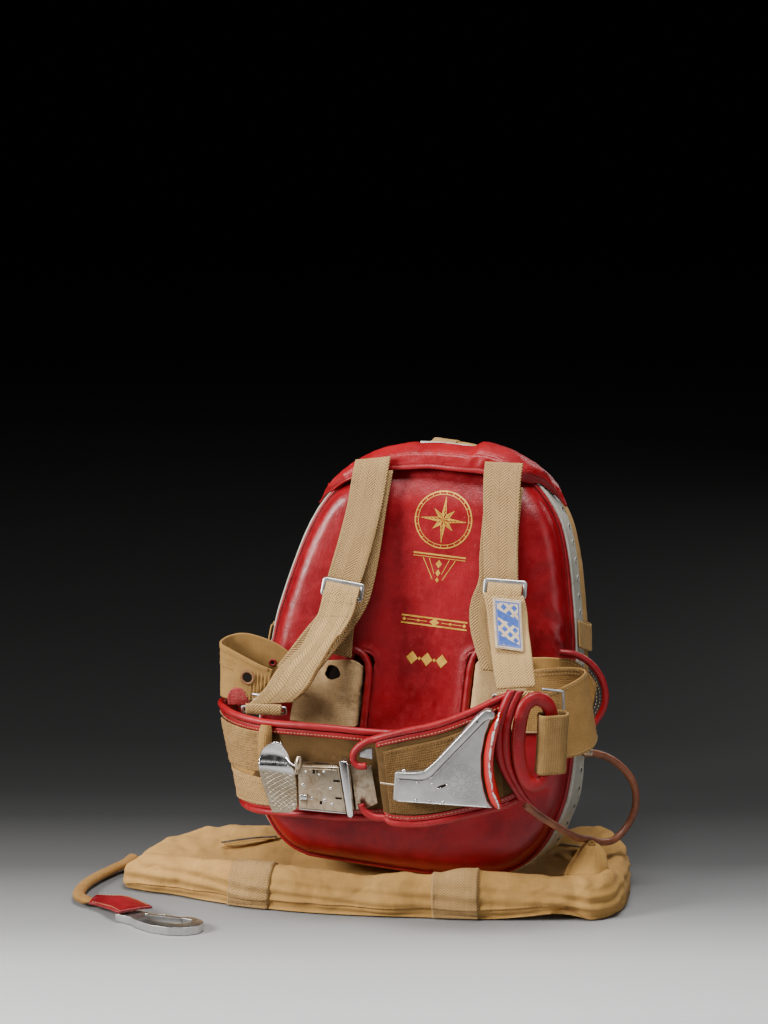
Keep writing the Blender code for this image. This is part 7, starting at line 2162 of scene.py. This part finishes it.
def build_tip():
    rows_ = [(226.5, -99, 43.0, 27, 30), (227, -98, 50.5, 25, 29), (228, -96, 57, 22.5, 25), (229, -92, 63.5, 19.5, 21), (229.5, -88, 69.5, 16.5, 16.5),
             (229.8, -85, 74.5, 12.5, 12), (230, -83.5, 78, 8.5, 8), (230.2, -83, 80, 4.5, 4.5), (230.2, -83, 80.6, 1.2, 1.4)]
    D = catmull(np.array(rows_, float), 9)
    m = 108
    g = 2 * np.pi * np.arange(m) / m
    P = []
    n = len(D)
    for k, (x, y, z, a, b) in enumerate(D):
        t = k / (n - 1)
        pleat = 1 + 0.05 * sstep(0.18, 0.72, t) * np.sin(13 * g + 2.0 * np.sin(2 * g)) + 0.05 * np.sin(5 * g + 3 * t)
        neck = 1 - 0.06 * float(bump(t, 0.80, 0.05))
        P.append(np.stack([x + a * np.cos(g) * pleat * neck, y + b * np.sin(g) * pleat * neck, np.full(m, z) + 1.2 * np.sin(3 * g) * (1 - t)], 1))
    P = np.array(P)
    grid("bag_gathered_corner", P, MT["canvas_bag"], cv=True, U=arc(P.mean(1)), V=np.concatenate([g, [2 * np.pi]]) * 14.0, caps=True, replaces="bag_corner", slot="tan_canvas")
    # the gathering cord's knot, drawn in at the top
    tube("corner_knot", [(228, -88.5, 78.5), (231.5, -90, 79.5), (234, -87.5, 80.5), (231, -85.5, 82), (227.5, -87.5, 81), (229.5, -90.5, 80)], 1.5,
         MT["line"], k=8, cyclic=True, sides=12, step=1.0, slot="coarse_webbing")


build_tip()


def zipper(tag, pts, node, wide=9.0, tape="line"):
    D = resample(catmull(np.array(pts, float), 12), step=1.0)
    tan = unit(np.gradient(D, axis=0))
    side = unit(np.cross(tan, (0, 0, 1.0)))
    up = np.cross(side, tan)
    for sgn in (1, -1):
        rows_ = [(*(p + s_ * sgn * 1.1 + u_ * 0.2), *(p + s_ * sgn * wide + u_ * -0.9)) for p, s_, u_ in zip(D[::4], side[::4], up[::4])]
        q = Ribbon(rows_, 1.2, step=1.6, across=8, k=2, front=(0, 0, 1))
        q.mesh("zip_tape_%s_%d" % (tag, (sgn + 1) // 2), MT[tape], slot="tan_canvas")
    V, F = [], []
    box = np.array([(-0.5, -1, -1), (0.5, -1, -1), (0.5, 1, -1), (-0.5, 1, -1), (-0.4, -0.8, 1), (0.4, -0.8, 1), (0.4, 0.8, 1), (-0.4, 0.8, 1)])
    for i in range(0, len(D), 1):
        for sgn in (1, -1):
            if (i + (sgn > 0)) % 2:
                continue
            c = D[i] + side[i] * sgn * 0.95 + up[i] * 1.1
            b = len(V)
            for x, y, z in box:
                V.append(c + tan[i] * x * 1.25 + side[i] * y * 1.35 + up[i] * z * 0.8)
            F += [(b, b + 1, b + 2, b + 3), (b + 4, b + 5, b + 6, b + 7), (b, b + 1, b + 5, b + 4), (b + 1, b + 2, b + 6, b + 5), (b + 2, b + 3, b + 7, b + 6),
                  (b + 3, b, b + 4, b + 7)]
    mesh_object("zip_teeth_" + tag, np.array(V), F, MT["alu_dull"], smooth=False, replaces=node, slot="aged_nickel")


zipper("left", [(-250, -20, 30.5), (-232, -2, 29.5), (-212, 14, 28.6), (-190, 30, 26.5)], "bag_zip_L", wide=4.6, tape="canvas_bag")
zipper("right", [(176, 52, 31.5), (194, 38, 34.5), (211, 22, 38)], "bag_zip_R", wide=5.5, tape="canvas_bag")

# ------------------------------------------------------------------ static line's tab and snap hook
ST = [(-366, -187, 9, -367, -214, 9), (-348, -188, 10.5, -351, -223, 10), (-327, -195, 13.4, -336, -239, 13), (-303, -212, 14.6, -325, -250, 14),
      (-281, -233, 15.5, -317, -255, 14.5)]
tab = Ribbon(ST, 3.6, step=1.3, across=26, k=10, front=(0, 0, 1), wave=lambda S, C: 0.9 * np.sin(math.pi * C) + fuzz(0.5, 0.15, 0.0, 181, 34)(S, C))
tab_ob = tab.mesh("line_leather_tab", MT["leather_dark"], replaces="static_tab", slot="red_leather")
tab_seams = [seam("line_tab_seam_%d" % i, tab, c, MT["cream"], 4, tab.length - 4, pitch=4.2, length=2.8, r=0.45, slot="red_leather")
             for i, c in enumerate((3.0, tab.width - 3.0))]
HK = np.array((-300.0, -246.0, 0.0))
HXv, HYv, HZv = unit((0.995, -0.10, 0)), unit((0.10, 0.995, 0)), np.array((0, 0, 1.0))
HOOK = [(-24, -5), (-25, 9), (-20, 13), (4, 13.5), (9.6, 11), (10, 3), (13, -4), (24, -12), (40, -17.5), (58, -18), (70, -13), (76, -5), (74, 0.5),
        (66, 2.0), (60, 2.6), (60, 9.6), (72, 10), (84, 5), (91, -5), (88, -18), (76, -28), (56, -33), (32, -30), (12, -21), (0, -12), (-12, -8)]
GATE = [(11.4, 4.2), (10.6, 6.2), (10.6, 8.6), (11.8, 11.2), (24, 13), (30, 15.5), (34, 15.2), (40, 11.6), (59.3, 9.2), (59.3, 3.6), (44, 4.2), (26, 5.0)]


def smooth_outline(pts, k=3, keep=()):
    P = np.array(pts, float)
    out = []
    n = len(P)
    for i in range(n):
        a, b, c = P[(i - 1) % n], P[i], P[(i + 1) % n]
        if i in keep:
            out.append(tuple(b))
            continue
        r = min(0.32, 3.5 / max(np.linalg.norm(a - b), 1e-6)), min(0.32, 3.5 / max(np.linalg.norm(c - b), 1e-6))
        p, q = b + (a - b) * r[0], b + (c - b) * r[1]
        for t in np.linspace(0, 1, k + 1):
            out.append(tuple((1 - t) ** 2 * p + 2 * t * (1 - t) * b + t * t * q))
    return out


hook_ob = prism("snap_hook_body", smooth_outline(HOOK, 4), HK + HZv * 0.8, HXv, HYv, HZv, 9.6, MT["alu"], 3.0, segs=5, replaces="hook_body",
                slot="bare_aluminium")
gate_ob = prism("snap_hook_gate", smooth_outline(GATE, 3), HK + HZv * 2.0, HXv, HYv, HZv, 7.2, MT["alu"], 2.0, segs=4, body="hook_gate",
                replaces="hook_gate", slot="bare_aluminium")
pins = dome("snap_hook_pins", [HK + HXv * 13.0 + HYv * 7.2 + HZv * 10.2, HK + HXv * -6 + HYv * 4.5 + HZv * 10.2], (0, 0, 1), 2.6, 1.1, MT["steel"], sides=18,
            slot="bare_aluminium")
gate_pins = dome("snap_gate_knurl", [HK + HXv * a + HYv * (12.6 - abs(a - 31) * 0.25) + HZv * 9.0 for a in (27.0, 29.4, 31.8, 34.2)], (0, 0, 1), 0.8, 0.7, MT["steel"],
                 body="hook_gate", slot="bare_aluminium")

# ------------------------------------------------------------------ routes of the hose and the static line, in metres
full = LINE_ROUTE + LINE_IN_TAB
hose_path = route_m(HOSE_ROUTE, 8, 12.0)
route_m(full, 8, 10.0)

# ------------------------------------------------------------------ floor, light
me = bpy.data.meshes.new("floor_plane")
me.from_pydata([(-9, -6, 0), (9, -6, 0), (9, 14, 0), (-9, 14, 0)], [], [(0, 1, 2, 3)])
fl = bpy.data.objects.new("floor_plane", me)
scene.collection.objects.link(fl)
me.materials.append(MT["floor"])

world = bpy.data.worlds.new("studio") if scene.world is None else scene.world
scene.world = world
world.use_nodes = True
bg = world.node_tree.nodes.get("Background") or world.node_tree.nodes.new("ShaderNodeBackground")
bg.inputs[0].default_value = (0.0004, 0.0004, 0.0004, 1)
bg.inputs[1].default_value = 1.0


def area(name, at, to, size, power, color=(1, 1, 1), size_y=None):
    d = bpy.data.lights.new(name, "AREA")
    d.shape = "RECTANGLE"
    d.size, d.size_y = size, size_y or size
    d.energy = power
    d.color = color
    ob = bpy.data.objects.new(name, d)
    scene.collection.objects.link(ob)
    ob.location = at
    ob.rotation_euler = (Vector(to) - Vector(at)).to_track_quat("-Z", "Y").to_euler()
    return ob


area("key", (-2.45, -1.75, 1.65), (0.0, -0.1, 0.30), 0.8, 176, (1.0, 0.98, 0.95), 1.0)
area("fill", (2.3, -2.0, 1.15), (0.05, -0.05, 0.25), 1.2, 12, (0.97, 0.985, 1.0), 1.4)
area("top", (0.15, -0.55, 2.3), (0.0, -0.05, 0.1), 1.1, 66, (1.0, 0.99, 0.98), 0.7)

area("back", (1.3, 2.5, 1.5), (0.0, 0.1, 0.25), 1.2, 20, (1.0, 0.99, 0.97), 1.0)
